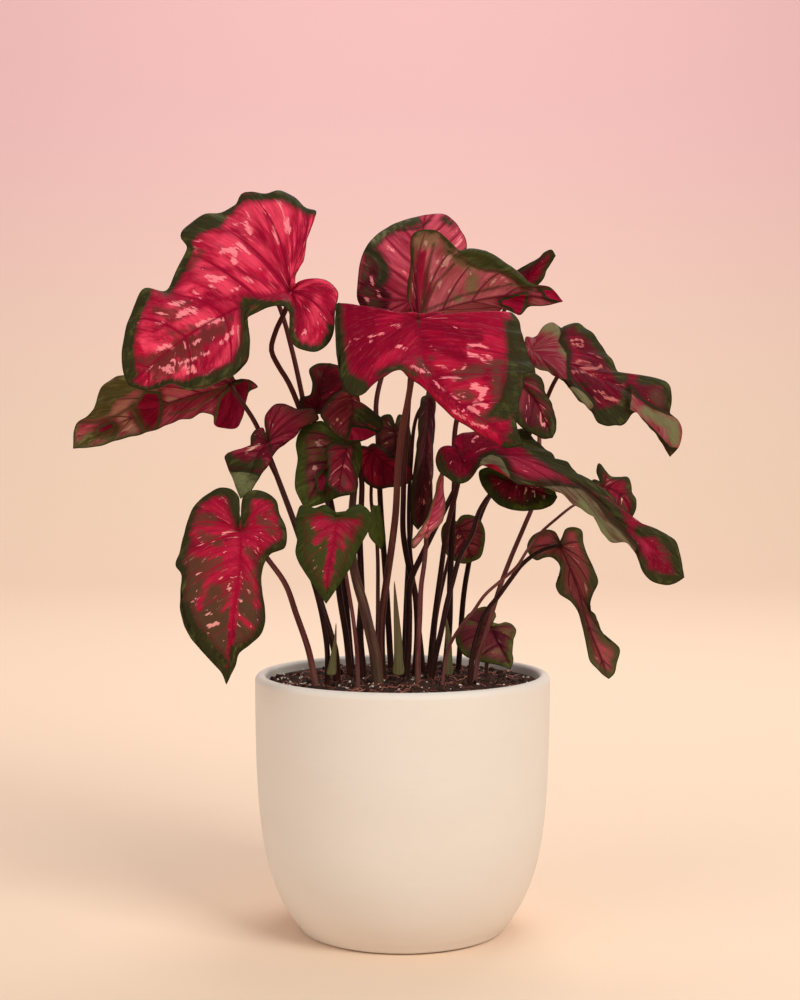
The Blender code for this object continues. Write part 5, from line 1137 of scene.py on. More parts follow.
def build_leaf(name, leaf, materials, seed, marks=(), rolls=()):
    """A closed leaf: upper face, underside and a rounded edge, with its maps."""
    per_vein = leaf.get("fine", 5)
    veins = leaf.get("veins", 7)
    rows = 2 * veins * per_vein + 1
    half = leaf.get("across", 22)
    u, w = np.linspace(0, 1, rows), np.linspace(-1, 1, 2 * half + 1)
    sheet = leaf_sheet(leaf, u, w)
    sheet = sheet[:, [half]] + leaf.get("narrow", 1.0) * (sheet - sheet[:, [half]])
    sheet = roll_margins(sheet, w, rolls, leaf_frame(leaf)[3])
    rolled = 1 + np.arange(1, ROLL_COLUMNS + 1) / 100
    w = np.concatenate([-rolled[::-1], w, rolled])
    columns = len(w)
    middle = columns // 2
    points = sheet.reshape(-1, 3)
    fields = mark_fields(flattened(points), marks)
    over = np.clip(fields["back"] / 0.25 + 0.6, 0, 1)
    points = points + (FOLD_RISE * over**2 * (3 - 2 * over))[:, None] * unit(EYE - points)
    sheet = points.reshape(sheet.shape)
    first, place = weld(points)
    faces = grid_faces(rows, columns)
    corners = place[faces]
    whole = ((corners[:, 0] != corners[:, 1]) & (corners[:, 1] != corners[:, 2])
             & (corners[:, 2] != corners[:, 0]))
    faces = faces[whole]
    normal = surface_normals(points, faces, place, len(first))

    vein_row = (2 * np.clip(np.floor(u * veins), 0, veins - 1) + 1) / (2 * veins) * (rows - 1)
    vein_row = np.round(vein_row).astype(int)
    to_vein = np.linalg.norm(sheet - sheet[vein_row], axis=2)
    to_rib = np.linalg.norm(sheet - sheet[:, [middle]], axis=2)
    margin = np.concatenate([sheet[:, 0], sheet[::-1, -1]])
    dense = np.concatenate([margin, (margin + np.roll(margin, 1, axis=0)) / 2])
    to_margin = nearest(points, dense)
    length = np.linalg.norm(np.diff(sheet[:, 0], axis=0), axis=1).sum()
    width = to_rib[:, 0].mean() + to_rib[:, -1].mean()
    v = np.clip(np.abs(np.broadcast_to(w, to_vein.shape)), 0, 1).reshape(-1)
    to_joint = np.linalg.norm(points - sheet[0, middle], axis=1)
    to_vein, to_rib = to_vein.reshape(-1), to_rib.reshape(-1)
    along = np.repeat(u, columns)

    size = min(1.0, length / 14.0)
    line = np.minimum(to_vein, to_rib)
    calm = np.clip(to_rib / 0.5, 0, 1) * np.clip(to_margin / 0.3, 0, 1) * np.clip((1 - along) * 12, 0, 1)
    quilt = QUILT * size * (1 - np.exp(-(line / QUILT_WIDTH) ** 2)) * calm
    cords = (RIB_CORD * size * np.exp(-(to_rib / 0.09) ** 2) * np.clip(1.2 - along, 0, 1) * (along > 0.1)
              + VEIN_CORD * size * np.exp(-(to_vein / 0.06) ** 2) * (1 - v))
    rise = (quilt + LEAF_THICKNESS / 2)[:, None] * normal
    fall = (quilt - LEAF_THICKNESS / 2 - cords)[:, None] * normal

    count = len(first)
    loop = np.concatenate([np.arange(rows) * columns, (np.arange(rows - 2, 0, -1) + 1) * columns - 1])
    edge = points[loop]
    onward = np.roll(edge, -1, axis=0) - np.roll(edge, 1, axis=0)
    outward = np.cross(onward, normal[loop])
    outward = unit(outward + 1e-12)
    if ((edge - points.mean(axis=0)) * outward).sum() < 0:
        outward = -outward
    rim = edge + outward * LEAF_THICKNESS * 0.5
    solid = np.concatenate([(points + rise)[first], (points + fall)[first], rim])

    top, under = place[faces], place[faces][:, ::-1] + count
    ring = np.arange(len(loop))
    ahead = np.roll(ring, -1)
    high, low, mid = place[loop], place[loop] + count, 2 * count + ring
    strip = np.concatenate([
        np.stack([high[ring], mid[ring], mid[ahead]], 1),
        np.stack([high[ring], mid[ahead], high[ahead]], 1),
        np.stack([mid[ring], low[ring], low[ahead]], 1),
        np.stack([mid[ring], low[ahead], mid[ahead]], 1)])
    source = np.concatenate([
        np.stack([loop[ring], loop[ring], loop[ahead]], 1),
        np.stack([loop[ring], loop[ahead], loop[ahead]], 1),
        np.stack([loop[ring], loop[ring], loop[ahead]], 1),
        np.stack([loop[ring], loop[ahead], loop[ahead]], 1)])
    trial = np.cross(solid[mid[0]] - solid[high[0]], solid[mid[1]] - solid[high[0]])
    if trial @ outward[0] < 0:
        strip, source = strip[:, ::-1], source[:, ::-1]
    all_faces = np.concatenate([top, under, strip])
    grid_of = np.concatenate([faces, faces[:, ::-1], source]).reshape(-1)
    slots = np.concatenate([np.zeros(len(top)), np.ones(len(under)), np.zeros(len(strip))])

    shift = 17.3 * seed
    way = np.repeat(u, columns) * length + shift
    cross = np.tile(w, rows) * width / 2 + shift
    maps = {
        "leaf": np.stack([way, cross], 1)[grid_of],
        "lines": np.stack([line / (0.35 + 0.65 * (1 - v)), to_margin], 1)[grid_of],
        "centre": np.stack([to_joint, fields["bare"]], 1)[grid_of],
        "greens": np.stack([fields["green"], fields["olive"]], 1)[grid_of],
        "reds": np.stack([fields["deep"], fields["rosy"]], 1)[grid_of],
        "folds": np.stack([fields["back"], fields["crease"]], 1)[grid_of],
        "flecks": np.stack([fields["fleck"], to_rib], 1)[grid_of],
    }
    return add_mesh(name, solid, all_faces, maps, materials, slots)


print("leaf thickness", LEAF_THICKNESS * 10, "mm")

# %% [markdown]
# ## The colours of a blade
# Up close the colouring has layers, and each becomes one mix in the finish: a crimson ground that turns
# rosier between the veins; pale pink flecks with hard edges, drawn out along the veins; olive patches
# with soft edges; deep red veins with a darker line in them; and a green margin whose inner edge is
# ragged, because the red follows the veins outwards. The noise that makes the flecks is stretched along
# the vein paths, so they point the right way everywhere. The underside has the same layers in duller
# colours. Where a leaf folds over, the colours of its other face are laid on inside the fold's outline,
# with a dark green edge and a soft shadow beside it.

# %% Blade finish
# Where the layers of a blade begin and end, in cm from a vein, from the margin or from a mark's outline.
STAR_EDGE = (0.6, 1.25)
VEIN_SIDES = (0.17, 0.02)
VEIN_CORE = (0.035, 0.006)
FLECK_EDGE = (-0.02, 0.05)
MARGIN_LINE = (0.08, 0.03)
FOLD_SHADOW = (-0.5, -0.02)
FOLD_EDGE = (-0.02, 0.03)
FOLD_LINE = (0.10, 0.05)
# A fold's dark line is painted shade over the margin's green.
CREASE_SHADE = (-0.16, 0.02)


def blade_finish(name, ground=paint(164, 10, 46), rosy=paint(206, 44, 70), deep=paint(112, 6, 32),
                 vein=paint(140, 5, 40), fleck=paint(248, 138, 142), olive=paint(84, 54, 40),
                 back=None, back_light=paint(150, 112, 86), back_green=paint(110, 108, 70),
                 rim=paint(50, 46, 20), rim_light=paint(84, 82, 40), rim_width=0.5,
                 rosiness=0.5, deepness=0.5, flecks=0.5, fleck_size=1.0, olives=0.35, star=0.0, ragged=0.5, gloss=0.52):
    """Ground, flecks, olive patches, veins and margin laid over each other, from the leaf's maps.

    star sets how far the red reaches from the joint and the veins; at nought the whole blade is red.
    back is the colour of the turned-over parts; without it the face shows none.
    """
    f = Finish(name, Specular_IOR_Level=0.05)
    leaf = f.place("leaf")

    def pair(title):
        chart = f.node("UVMap", {}, uv_map=title)
        return f.split(chart, 0), f.split(chart, 1)

    to_vein, to_margin = pair("lines")
    to_joint, bare_at = pair("centre")
    green_at, olive_at = pair("greens")
    deep_at, rosy_at = pair("reds")
    back_at, crease_shade_at = pair("folds")
    fleck_at, to_rib = pair("flecks")

    broad = f.noise(f.place("leaf", scale=(0.34, 0.26, 1.0)), 1.0, 2.0, 0.5, 0.4)
    cloud = f.noise(f.place("leaf", scale=(1.2, 0.42, 1.0)), 1.0, 4.0, 0.6, 0.6)
    streak = f.noise(f.place("leaf", scale=(4.2, 0.5, 1.0)), 1.0, 4.0, 0.62, 0.25)
    grain = f.noise(f.place("leaf", scale=(7.0, 2.0, 1.0)), 1.0, 4.0, 0.65, 0.3)
    tooth = f.noise(f.place("leaf", scale=(2.6, 0.8, 1.0)), 1.2, 3.0, 0.6)
    wobble = f.minus(tooth, 0.5)

    def inside(field, low, high, rough):
        return f.step(f.plus(field, f.times(wobble, rough)), low, high)

    deep_share = f.step(f.plus(broad, (deepness - 0.5) * 0.6), 0.46, 0.62)
    deep_share = f.most(deep_share, inside(deep_at, -0.3, 0.3, 1.2))
    colour = f.mix(deep_share, ground, deep)
    rosy_share = f.step(f.plus(cloud, (rosiness - 0.5) * 0.6), 0.44, 0.64)
    rosy_share = f.times(rosy_share, f.minus(1.0, f.times(deep_share, 0.7)))
    rosy_share = f.most(rosy_share, f.times(inside(rosy_at, -0.4, 0.4, 1.2), 0.9))
    colour = f.mix(f.times(f.step(to_vein, 0.03, 0.30), rosy_share), colour, rosy)
    colour = f.mix(f.times(inside(deep_at, -0.12, 0.2, 0.9), 0.85), colour, deep)
    colour = f.mix(f.spread(f.step(streak, 0.40, 0.72), 0.0, 0.42), colour, scaled(deep, 0.45))
    colour = f.mix(f.spread(f.step(grain, 0.5, 0.75), 0.0, 0.22), colour, both(rosy, 0.5, fleck, 0.4))

    outside = 0.0
    if star:
        near = f.plus(f.times(to_vein, 2.2), f.times(to_joint, 0.3 / star))
        near = f.least(f.least(near, f.times(to_joint, 0.34 / star)),
                      f.plus(f.times(to_rib, 3.0), 0.02))
        near = f.plus(near, f.times(f.minus(cloud, 0.5), 1.1))
        outside = f.step(f.plus(near, f.times(wobble, 0.5)), *STAR_EDGE)
        outside = f.times(outside, f.minus(1.0, inside(rosy_at, -0.16, 0.12, 0.7)))
        colour = f.mix(outside, colour, olive)

    dark = f.noise(f.place("leaf", scale=(0.75, 0.5, 1.0), shift=(31.0, 7.0, 0.0)), 1.0, 3.0, 0.55, 0.8)
    dark_share = f.times(f.step(f.plus(dark, (olives - 0.5) * 0.5), 0.53, 0.64),
                        f.step(to_vein, 0.05, 0.25))
    dark_share = f.most(dark_share, inside(olive_at, -0.25, 0.15, 0.9))
    colour = f.mix(f.times(dark_share, 0.75), colour, olive)

    spot = f.noise(f.place("leaf", scale=(1.9 / fleck_size, 0.8 / fleck_size, 1.0), shift=(5.0, 71.0, 0.0)),
                   1.0, 3.0, 0.62, 0.7)
    clump = f.noise(f.place("leaf", scale=(0.5, 0.4, 1.0), shift=(3.0, 11.0, 0.0)), 1.0, 2.0)
    spot = f.plus(f.plus(spot, f.times(f.minus(clump, 0.5), 0.42)),
                  (flecks - 0.5) * 0.3)
    spot_share = f.times(f.step(spot, 0.615, 0.65), f.step(to_vein, 0.05, 0.11))
    spot_share = f.times(spot_share, f.step(to_margin, rim_width * 0.9, rim_width * 1.5))
    torn = f.noise(f.place("leaf", scale=(3.8, 1.5, 1.0)), 1.0, 4.0, 0.7, 0.5)
    placed_fleck = f.plus(fleck_at, f.times(f.minus(torn, 0.5), 0.8))
    spot_share = f.most(spot_share, f.step(placed_fleck, *FLECK_EDGE))
    colour = f.mix(f.times(spot_share, f.spread(streak, 1.0, 0.6)), colour, fleck)

    vein_share = f.minus(0.8, f.times(outside, 0.65))
    colour = f.mix(f.times(f.step(to_vein, *VEIN_SIDES), vein_share), colour, vein)
    colour = f.mix(f.times(f.step(to_vein, *VEIN_CORE), 0.45), colour,
                   scaled(vein, 0.4))

    wide = f.noise(f.place("leaf", scale=(0.4, 0.0, 1.0), shift=(9.0, 2.0, 0.0)), 1.0, 1.0)
    depth = f.plus(to_margin, f.times(wobble, ragged * 1.4))
    depth = f.plus(depth, f.times(f.minus(0.5, wide), rim_width * 2.4))
    depth = f.plus(depth, f.times(f.step(to_vein, 0.2, 0.0), 0.28 * rim_width))
    depth = f.plus(depth, f.times(inside(bare_at, -0.3, 0.3, 0.4), 3.0))
    depth = f.least(depth, f.minus(rim_width, f.plus(green_at, f.times(wobble, 0.5))))
    green = f.mix(f.step(f.noise(leaf, 1.1, 3.0, 0.6), 0.48, 0.75), rim, rim_light)
    green = f.mix(f.spread(f.step(streak, 0.4, 0.7), 0.0, 0.5), green, scaled(rim, 0.4))
    shade = f.mix(f.times(f.step(depth, rim_width * 1.2 + 0.3, rim_width), 0.7), colour,
                  both(olive, 0.42, deep, 0.25))
    colour = f.mix(f.step(depth, rim_width + 0.08, rim_width - 0.1), shade, green)
    edge = f.times(f.step(to_margin, *MARGIN_LINE), 0.75)
    colour = f.mix(edge, colour, scaled(rim, 0.6))

    if back:
        other = f.mix(f.step(cloud, 0.44, 0.62), back, back_light)
        other = f.mix(f.spread(f.step(streak, 0.4, 0.7), 0.0, 0.5), other, scaled(back, 0.45))
        other = f.mix(inside(green_at, -0.3, 0.3, 0.7), other,
                      f.mix(f.step(grain, 0.5, 0.8), back_green, scaled(back_light, 0.7)))
        fold = f.plus(back_at, f.times(wobble, 0.12))
        colour = f.mix(f.times(f.step(fold, *FOLD_SHADOW), 0.62), colour, scaled(deep, 0.25))
        colour = f.mix(f.step(fold, *FOLD_EDGE), colour, other)
        colour = f.mix(f.step(f.math("ABSOLUTE", fold), *FOLD_LINE), colour, scaled(rim, 0.7))
    # Painted shade along each fold: a dark line of half the margin's green with a little deep red.
    crease = f.plus(crease_shade_at, f.times(wobble, 0.08))
    colour = f.mix(f.times(f.step(crease, *CREASE_SHADE), 0.8), colour, both(rim, 0.5, deep, 0.12))

    net = f.cells(f.place("leaf", scale=(3.2, 2.2, 1.0)), 1.0, "DISTANCE_TO_EDGE")
    height = f.plus(f.times(f.step(net, 0.0, 0.14), 0.6), f.times(grain, 0.5))
    height = f.plus(height, f.times(streak, 0.8))
    rough = f.spread(f.noise(leaf, 2.0, 3.0), gloss - 0.08, gloss + 0.10)
    return f.done(Base_Color=colour, Roughness=rough, Normal=f.bump(height, 0.0005, 0.5))


# %% [markdown]
# Each kind of leaf mixes the same layers in its own shares, and a few leaves that are seen large get
# shares of their own. Small ones share a finish: their maps are shifted, so no two look alike.

# %% Shares of each kind
UPPER = {
    "crimson": looks(),
    "red": looks(ground=(118, 12, 36), rosy=(146, 32, 52), deep=(76, 12, 26),
                fleck=(214, 120, 118), flecks=0.42, rim_width=0.3, ragged=0.3),
    "pink": looks(ground=(208, 80, 106), rosy=(238, 138, 148), deep=(180, 52, 80),
                 vein=(170, 40, 66), olive=(150, 120, 80), flecks=0.4, rim_width=0.1, ragged=0.1,
                 rim=(120, 84, 60), rim_light=(134, 124, 76)),
    "olive": looks(ground=(168, 10, 46), rosy=(196, 44, 68), vein=(176, 8, 48), star=1.0,
                  olive=(82, 54, 36), fleck=(240, 190, 160), olives=0.3, flecks=0.42,
                  fleck_size=0.5, rim_width=0.38),
    "green": looks(ground=(150, 14, 44), rosy=(184, 40, 66), vein=(170, 14, 50), star=0.5,
                  olive=(58, 56, 26), fleck=(220, 160, 130), olives=0.4, flecks=0.38,
                  fleck_size=0.45, rim_width=0.5),
    "underside": looks(ground=(140, 20, 44), olives=0.45),
}
DULL = looks(ground=(128, 44, 52), rosy=(160, 74, 80), deep=(92, 24, 32), vein=(88, 20, 32),
            fleck=(200, 140, 124), olive=(98, 82, 52), back=(150, 12, 42),
            back_light=(180, 40, 62), rim=(68, 64, 34), rim_light=(104, 96, 56), gloss=0.5,
            rosiness=0.5, flecks=0.4)
UNDER = {
    "crimson": DULL,
    "red": {**DULL, **looks(ground=(110, 42, 46), rosy=(136, 62, 66))},
    "pink": {**DULL, **looks(ground=(190, 84, 96), rosy=(214, 124, 124), rim_width=0.15)},
    "olive": {**DULL, **looks(ground=(108, 66, 54), olives=0.6)},
    "green": {**DULL, **looks(ground=(96, 82, 56), rosy=(118, 78, 62), olives=0.7)},
    "underside": DULL,
}

# %% [markdown]
# ## Marks given one by one
# The largest leaves carry their own marks. Each is a kind, a half-width and the points of its line, in
# centimetres across and up on the picture plane. A half-width of nought makes the points an outline.

# %% Marks
def marks(text):
    """Marks from text: each line has a kind, a half-width, a colon and the runs, parted by slashes."""
    found = []
    for line in text.strip().splitlines():
        head, runs = line.split(":")
        kind, width = head.split()
        found += [(kind, float(width), *points(run)) for run in runs.split("/")]
    return found


MARKS = {
    "blade_heart_front": marks("""
        rosy 0.3: -4.1 25, -5.2 24.6
        rosy 0.16: -4.2 24.6, -5.3 23.6
        rosy 0.25: -4 25, -3 24.9
        rosy 0.14: -4 24.4, -3.6 23.2
        rosy 0.22: -4.2 24.4, -4.3 22.8, -4.6 21.4"""),
    "blade_hanging_lance": marks("""
        rosy 0.3: 8.3 23.6, 9 23.8 / 10.4 24, 10.8 23
        green 0.3: 11.8 21.8, 11.7 21 / 9.4 21.5, 9.6 20.6"""),
    "blade_dark_centre": marks("""
        back 0: -3.4 29.7, -3.1 30.6, -2.2 30.5, -1.4 30.2, -2.2 29.7
        green 0: -3 30.8, -2.9 31.6, -1.9 31.8, -1 30.9, -1.2 30.2, -2 30.7
        rosy 0.3: -2.8 30.2, -2 30.3
        crease 0.02: -3.1 31.2, -3.3 30.4, -3.4 29.8
        fleck 0.05: -4.2 31.2, -3.7 30.7 / -4.4 30.6, -4 30.2"""),
    "blade_spotted": marks("""
        back 0: -5.1 26.6, -5.25 27.5, -4.8 27.9, -4.55 27.3, -4.8 26.6
        green 0.3: -6.2 30, -6.3 28.4, -6.1 26.8
        fleck 0.08: -5.4 28.4, -5.3 28 / -5.2 29.6, -4.9 29.3
        rosy 0.25: -4.8 27.6, -4.8 26.9
        green 0.25: -3.6 26.6, -2.8 26.7
        fleck 0.09: -3.4 27.2, -3.3 27.6"""),
    "blade_big_left": marks("""
        olive 0.4: -15.4 34.3, -14 35, -12.4 35.7, -10.9 36.6
        olive 0.26: -14.9 33.6, -13.4 34.4, -12.3 35
        olive 0.22: -14.9 37.6, -13.6 37.2 / -13.4 42.3, -12.2 42.3 / -15.2 33.9, -14.2 34.3, -13.2 34.4
        olive 0.2: -13.4 41.2, -13 40.3 / -13.9 35.5, -12.2 36 / -15.8 34.6, -15.1 33.9
        olive 0.2: -12.9 40.2, -12.2 41
        deep 0.4: -5.4 38.9, -4.6 38.6, -4.3 37.6
        deep 0.35: -6.3 37.4, -6.1 36.4
        deep 0.25: -5.8 43.2, -6.1 41.8, -6.7 40.6
        deep 0.2: -10.3 37.4, -10.5 36, -11.2 34.8, -12 34.2 / -7 38.4, -9.5 38.5, -12 38, -15 36.4
        fleck 0.14: -13.3 34.1, -12.7 34.1
        fleck 0.12: -14.5 34.1, -13.9 34.1 / -11.9 39.6, -11 39.5, -10.7 39.6 / -11.6 39.1, -11.4 38.9
        fleck 0.12: -9.6 39.6, -9.1 39.3 / -14 37.9, -13.3 38 / -14.4 34, -13.9 33.8
        green 0.55: -13.2 42, -12.6 42.7, -11.3 43.1
        green 0.3: -10.9 43.3, -9.9 44.3 / -9.5 38, -9.4 36.9, -9.5 35.6, -10 34.3, -11.3 33.5, -13.2 33.1
        green 0.42: -14.3 38.9, -13.5 40.2, -13 41.3
        green 0.5: -15.7 38.6, -16.5 37, -16.8 35.2, -16.6 33.8
        green 0.24: -9.4 38.1, -8.2 37.9, -7 37.9
        green 0.2: -6.8 37.6, -6.8 36.3, -6.3 35.4 / -9.5 44.4, -8.4 44.4, -7.3 44.5, -6.3 43.9, -5.5 43.5
        bare 0.6: -5.5 42.6, -6 41, -6.6 39.8, -6.3 39, -5 39.4, -4 38.6, -3.9 37.4
        olive 0.16: -14 36.2, -12.3 36.5, -10.6 37
        olive 0.14: -13.9 37.5, -13 38
        deep 0.5: -14.6 34.6, -12.6 35.6, -11 36.2
        deep 0.3: -13.9 38.2, -12.6 38 / -5.6 38.4, -6.2 37.2
        deep 0.16: -7 39.2, -7.8 41.6, -8.2 43.3 / -7.3 39.4, -9.2 41.3, -9.9 42.4, -11.2 42.3
        deep 0.14: -7 40.2, -6.9 42, -6.6 43.2 / -7.4 38.9, -10 40, -12 40.1
        rosy 0.7: -8.8 40.8, -10.6 41.6
        rosy 0.5: -7.5 42, -7.2 43.4 / -10.6 38.9, -12.4 40.3
        rosy 0.4: -9.2 42.6, -9.3 43.6 / -14.5 36.8, -12 37.2 / -11 34.4, -10.2 36.4
        rosy 0.3: -5.3 37, -5.2 38.2
        fleck 0.16: -10.9 41.1, -10.1 41.3, -10.2 40.5 / -9.4 42.9, -9.25 42.2
        fleck 0.1: -10.1 41.6, -9.6 41.4, -9.3 41 / -10.2 42.8, -9.9 42.7 / -7.8 42.6, -7.5 41.6
        fleck 0.1: -12.6 38.8, -12.2 38.3 / -10.3 38.8, -9.9 38.9 / -14.9 36.8, -14.5 36.8
        fleck 0.1: -13.4 34.4, -12.6 34.7 / -12.2 34.9, -11.7 35 / -12.2 33.4, -11.5 33.9
        fleck 0.13: -6.9 43.1, -6.9 42.3 / -14.9 35.2, -14.2 35.5, -13.9 35.3
        fleck 0.18: -13.6 37.2, -12.9 37.6, -12.5 37.5 / -12.4 36.7, -11.7 36.9, -11 37
        fleck 0.11: -13 33.9, -12.6 33.9
        fleck 0.09: -10.9 35.6, -10.3 36.3
        fleck 0.08: -15.6 33.9, -15.2 34.2 / -12.6 35.6, -12.3 35.8
        crease 0.03: -9.75 38.1, -9.7 36.6, -9.8 35.4, -10.3 34.4, -11.6 33.8
        crease 0.03: -7.05 37.7, -7.1 36.4, -6.6 35.4"""),
    # On this leaf the deep outline over the left lobe is painted shade: that lobe curls back out of the light.
    "blade_top_back": marks("""
        green 0.26: -2.2 41.3, -1.6 40.9, -1.2 40.3, -1.1 39.8, -1.3 39.4
        green 0.3: -1.9 41.5, -1.2 42.3, -0.2 42.8, 0.7 43
        green 0.12: 2.5 43.1, 2.9 42.8
        deep 0: -2.2 41.3, -2.7 39, -3.2 37.8, -0.8 37.6, -0.7 38.5, -1.3 39.3, -1.1 40, -1.5 40.9
        olive 0.25: -2.2 38.7, -1.6 38
        olive 0.2: -2.4 39.6, -2 40.6
        rosy 0.5: -0.9 41.5, 0.2 40.6 / 1.6 42.8, 3 42.4, 3.5 41.4
        rosy 0.4: -0.2 38.4, -0.6 37.8
        fleck 0.07: -1.9 39.6, -1.8 39.1 / -2.2 38.3, -2 38 / -1.5 38.8, -1.4 38.3 / -2.4 40.6, -2.2 40.3
        fleck 0.06: -0.9 41.4, -0.6 41.2
        bare 0.6: 1 43.2, 2.6 43.4, 3.7 42.2, 3.8 41 / -2.6 40.4, -2.8 38.4
        crease 0.13: -2.2 41.3, -1.55 40.9, -1.15 40.3, -1.1 39.7, -1.4 39.2
        green 0.16: -2.1 41.3, -1.5 40.8, -1.2 40.2
        crease 0.01: -0.3 42.4, 0.9 42.5, 1.7 43"""),
    "blade_top_folded": marks("""
        deep 0: 0.5 37.5, 0.45 39, 0.7 40.6, 1.2 40.9, 1.5 39.9, 1.7 38.8, 1.4 37.5
        deep 0: 0.5 41.2, 1.4 41.2, 1.5 40, 1.3 38.8, 1.1 37.2, 0.1 37.3, 0.3 39
        green 0.2: 0.1 38.2, 0.35 40, 0.6 41.3
        olive 0.45: 1 41.9, 1.8 41.9
        green 0.1: 2.6 41.3, 3.6 40.6, 4.6 40.2
        fleck 0.05: 2.3 39.4, 2.2 39 / 2.9 38.9, 2.7 38.6 / 5.6 39.5, 5.3 39.2 / 2 40.6, 2.4 40.3
        fleck 0.05: 2.6 40.8, 2.7 40.3 / 4.2 40.2, 4.4 40.1 / 5.8 39.8, 6.3 39.4
        crease 0.1: 0.6 42.2, 0.35 41, 0.4 39.8, 0.25 38.6, 0.05 37.5
        crease 0.02: 1.1 37.4, 1.35 38.6, 1.5 40, 1.9 41.6
        crease 0.02: 3.4 40.9, 4.2 40.35, 5 40, 5.9 39.95, 6.7 39.5, 7.3 38.95, 8.2 38.75
        crease 0.01: 1.1 37.4, 2 39.2, 3.1 40.4 / 1.2 37.5, 3.6 38.5, 6.6 39.2
        olive 0.35: 0.9 42, 1.7 42.1
        olive 0.3: 4.25 39.7, 4.2 38.9 / 2.6 41.5, 3.4 40.6, 4.6 40.2
        rosy 0.35: 2 38.2, 3.4 39.4
        rosy 0.3: 1.9 40.8, 2.1 39.6
        rosy 0.16: 2.6 37.9, 4.6 38.2, 6.6 38.6
        fleck 0.06: 2.9 41, 3 40.7 / 1.4 41.7, 1.5 41.2 / 1.8 40, 1.75 39.3
        fleck 0.04: 5 39.4, 5.6 39.3
        green 0: 3.3 41.2, 4.4 41.5, 5.4 41.2, 6.4 40.5, 7.4 39.6, 8.3 39, 7.2 39, 6.6 39.6, 5.8 40.05, \
          4.9 40.05, 4.1 40.4
        back 0: 5.9 38.2, 6.8 38.5, 7.6 38.7, 7.3 37.6, 7 37, 6.6 37.7, 6 37.9
        back 0: 8.3 38.9, 9.2 38.9, 9.9 38, 8.8 38.3
        bare 0.5: 0.3 41.5, 0.2 38 / 1.5 37.4, 4 37.7, 6 37.8 / 8.4 38.4, 9.8 38.2"""),
    "blade_front_centre": marks("""
        green 0.26: -4 37.8, -3.9 36.4, -3.7 34.8, -3.4 33.5
        green 0.42: -3.2 33.3, -2.5 32.9
        green 0: 6.2 36.9, 6.9 37.1, 7.5 36, 8.3 34.2, 7.9 33.6, 7.3 33.2, 7.1 31.8, 6.4 31, 5.2 31.2, \
          5.9 32.2, 6.3 33.6, 6.4 35.2
        deep 1: -2.6 36.6, -2.4 35
        deep 0.35: 0.4 36.9, 2.4 36.6, 4.6 35.9
        deep 0.3: 1.2 34.2, 2 33, 2.6 32.4 / 0.9 37, 1.3 35.6, 3.6 34.8
        bare 0.75: -3.4 38.2, -1 37.5, 1 37.4, 3 37.4, 5.6 37
        bare 0.5: -1.6 33.4, 0.2 34.2, 1.4 33.2, 3 31, 5.4 29.6
        green 0.1: -1.4 33.7, -0.2 34.2, 0.8 33.7
        green 0.24: 6.6 30, 7.2 29.5
        rosy 0.5: 4.3 35.2, 5.2 34.8 / 4.4 33.2, 5 31.6
        rosy 0.35: 2.2 34.4, 3.4 34.1
        rosy 0.3: 2.4 32.4, 3 33.2 / -1.6 34.4, -0.4 34.9 / 3.2 31.4, 5.6 30.2
        rosy 0.4: 5.2 35.8, 6 35.4
        olive 0.3: 3.4 33.7, 4.6 33.9 / 5.7 33.9, 5.8 32.2 / 4.8 31.1, 6.2 31.4
        olive 0.28: 3.4 32.5, 4 32.4
        olive 0.22: 5.2 34.3, 5.9 34.4
        olive 0.2: 1 34.5, 1.6 33.8
        fleck 0.2: 4.3 33, 5 32.8, 4.8 32.3
        fleck 0.16: 4.4 32, 5.1 31.8
        fleck 0.14: 4 31.7, 4.6 31.4
        fleck 0.07: 2.1 34.2, 3.2 34 / 3.1 31.5, 3.9 31
        fleck 0.06: 2.4 33.6, 3.2 33.4 / 4.2 30.8, 5.1 30.5 / 2.2 33, 2.6 32.7 / -0.5 35.5, 0.2 35.2
        fleck 0.1: 0.5 34.2, 1.2 33.9 / 4 34.9, 4.9 34.6
        fleck 0.12: 4 35.4, 4.7 35.5, 5.2 35.2
        fleck 0.08: 5 34.9, 5.4 34.6
        fleck 0.05: -1.4 36.1, -1.1 36.2 / -2.2 35.9, -1.9 35.7 / -0.6 36.6, -0.1 36.7 / 3.6 33.9, 3.8 34.2
        fleck 0.05: 1.7 35.5, 2 35.2
        crease 0.03: 6.5 36.8, 6.6 35, 6.4 33.4, 6 32
        crease 0.01: 0.95 37.3, 1 36.6
        crease 0.02: 7.2 36.3, 7.1 34.4, 7.1 32.8"""),
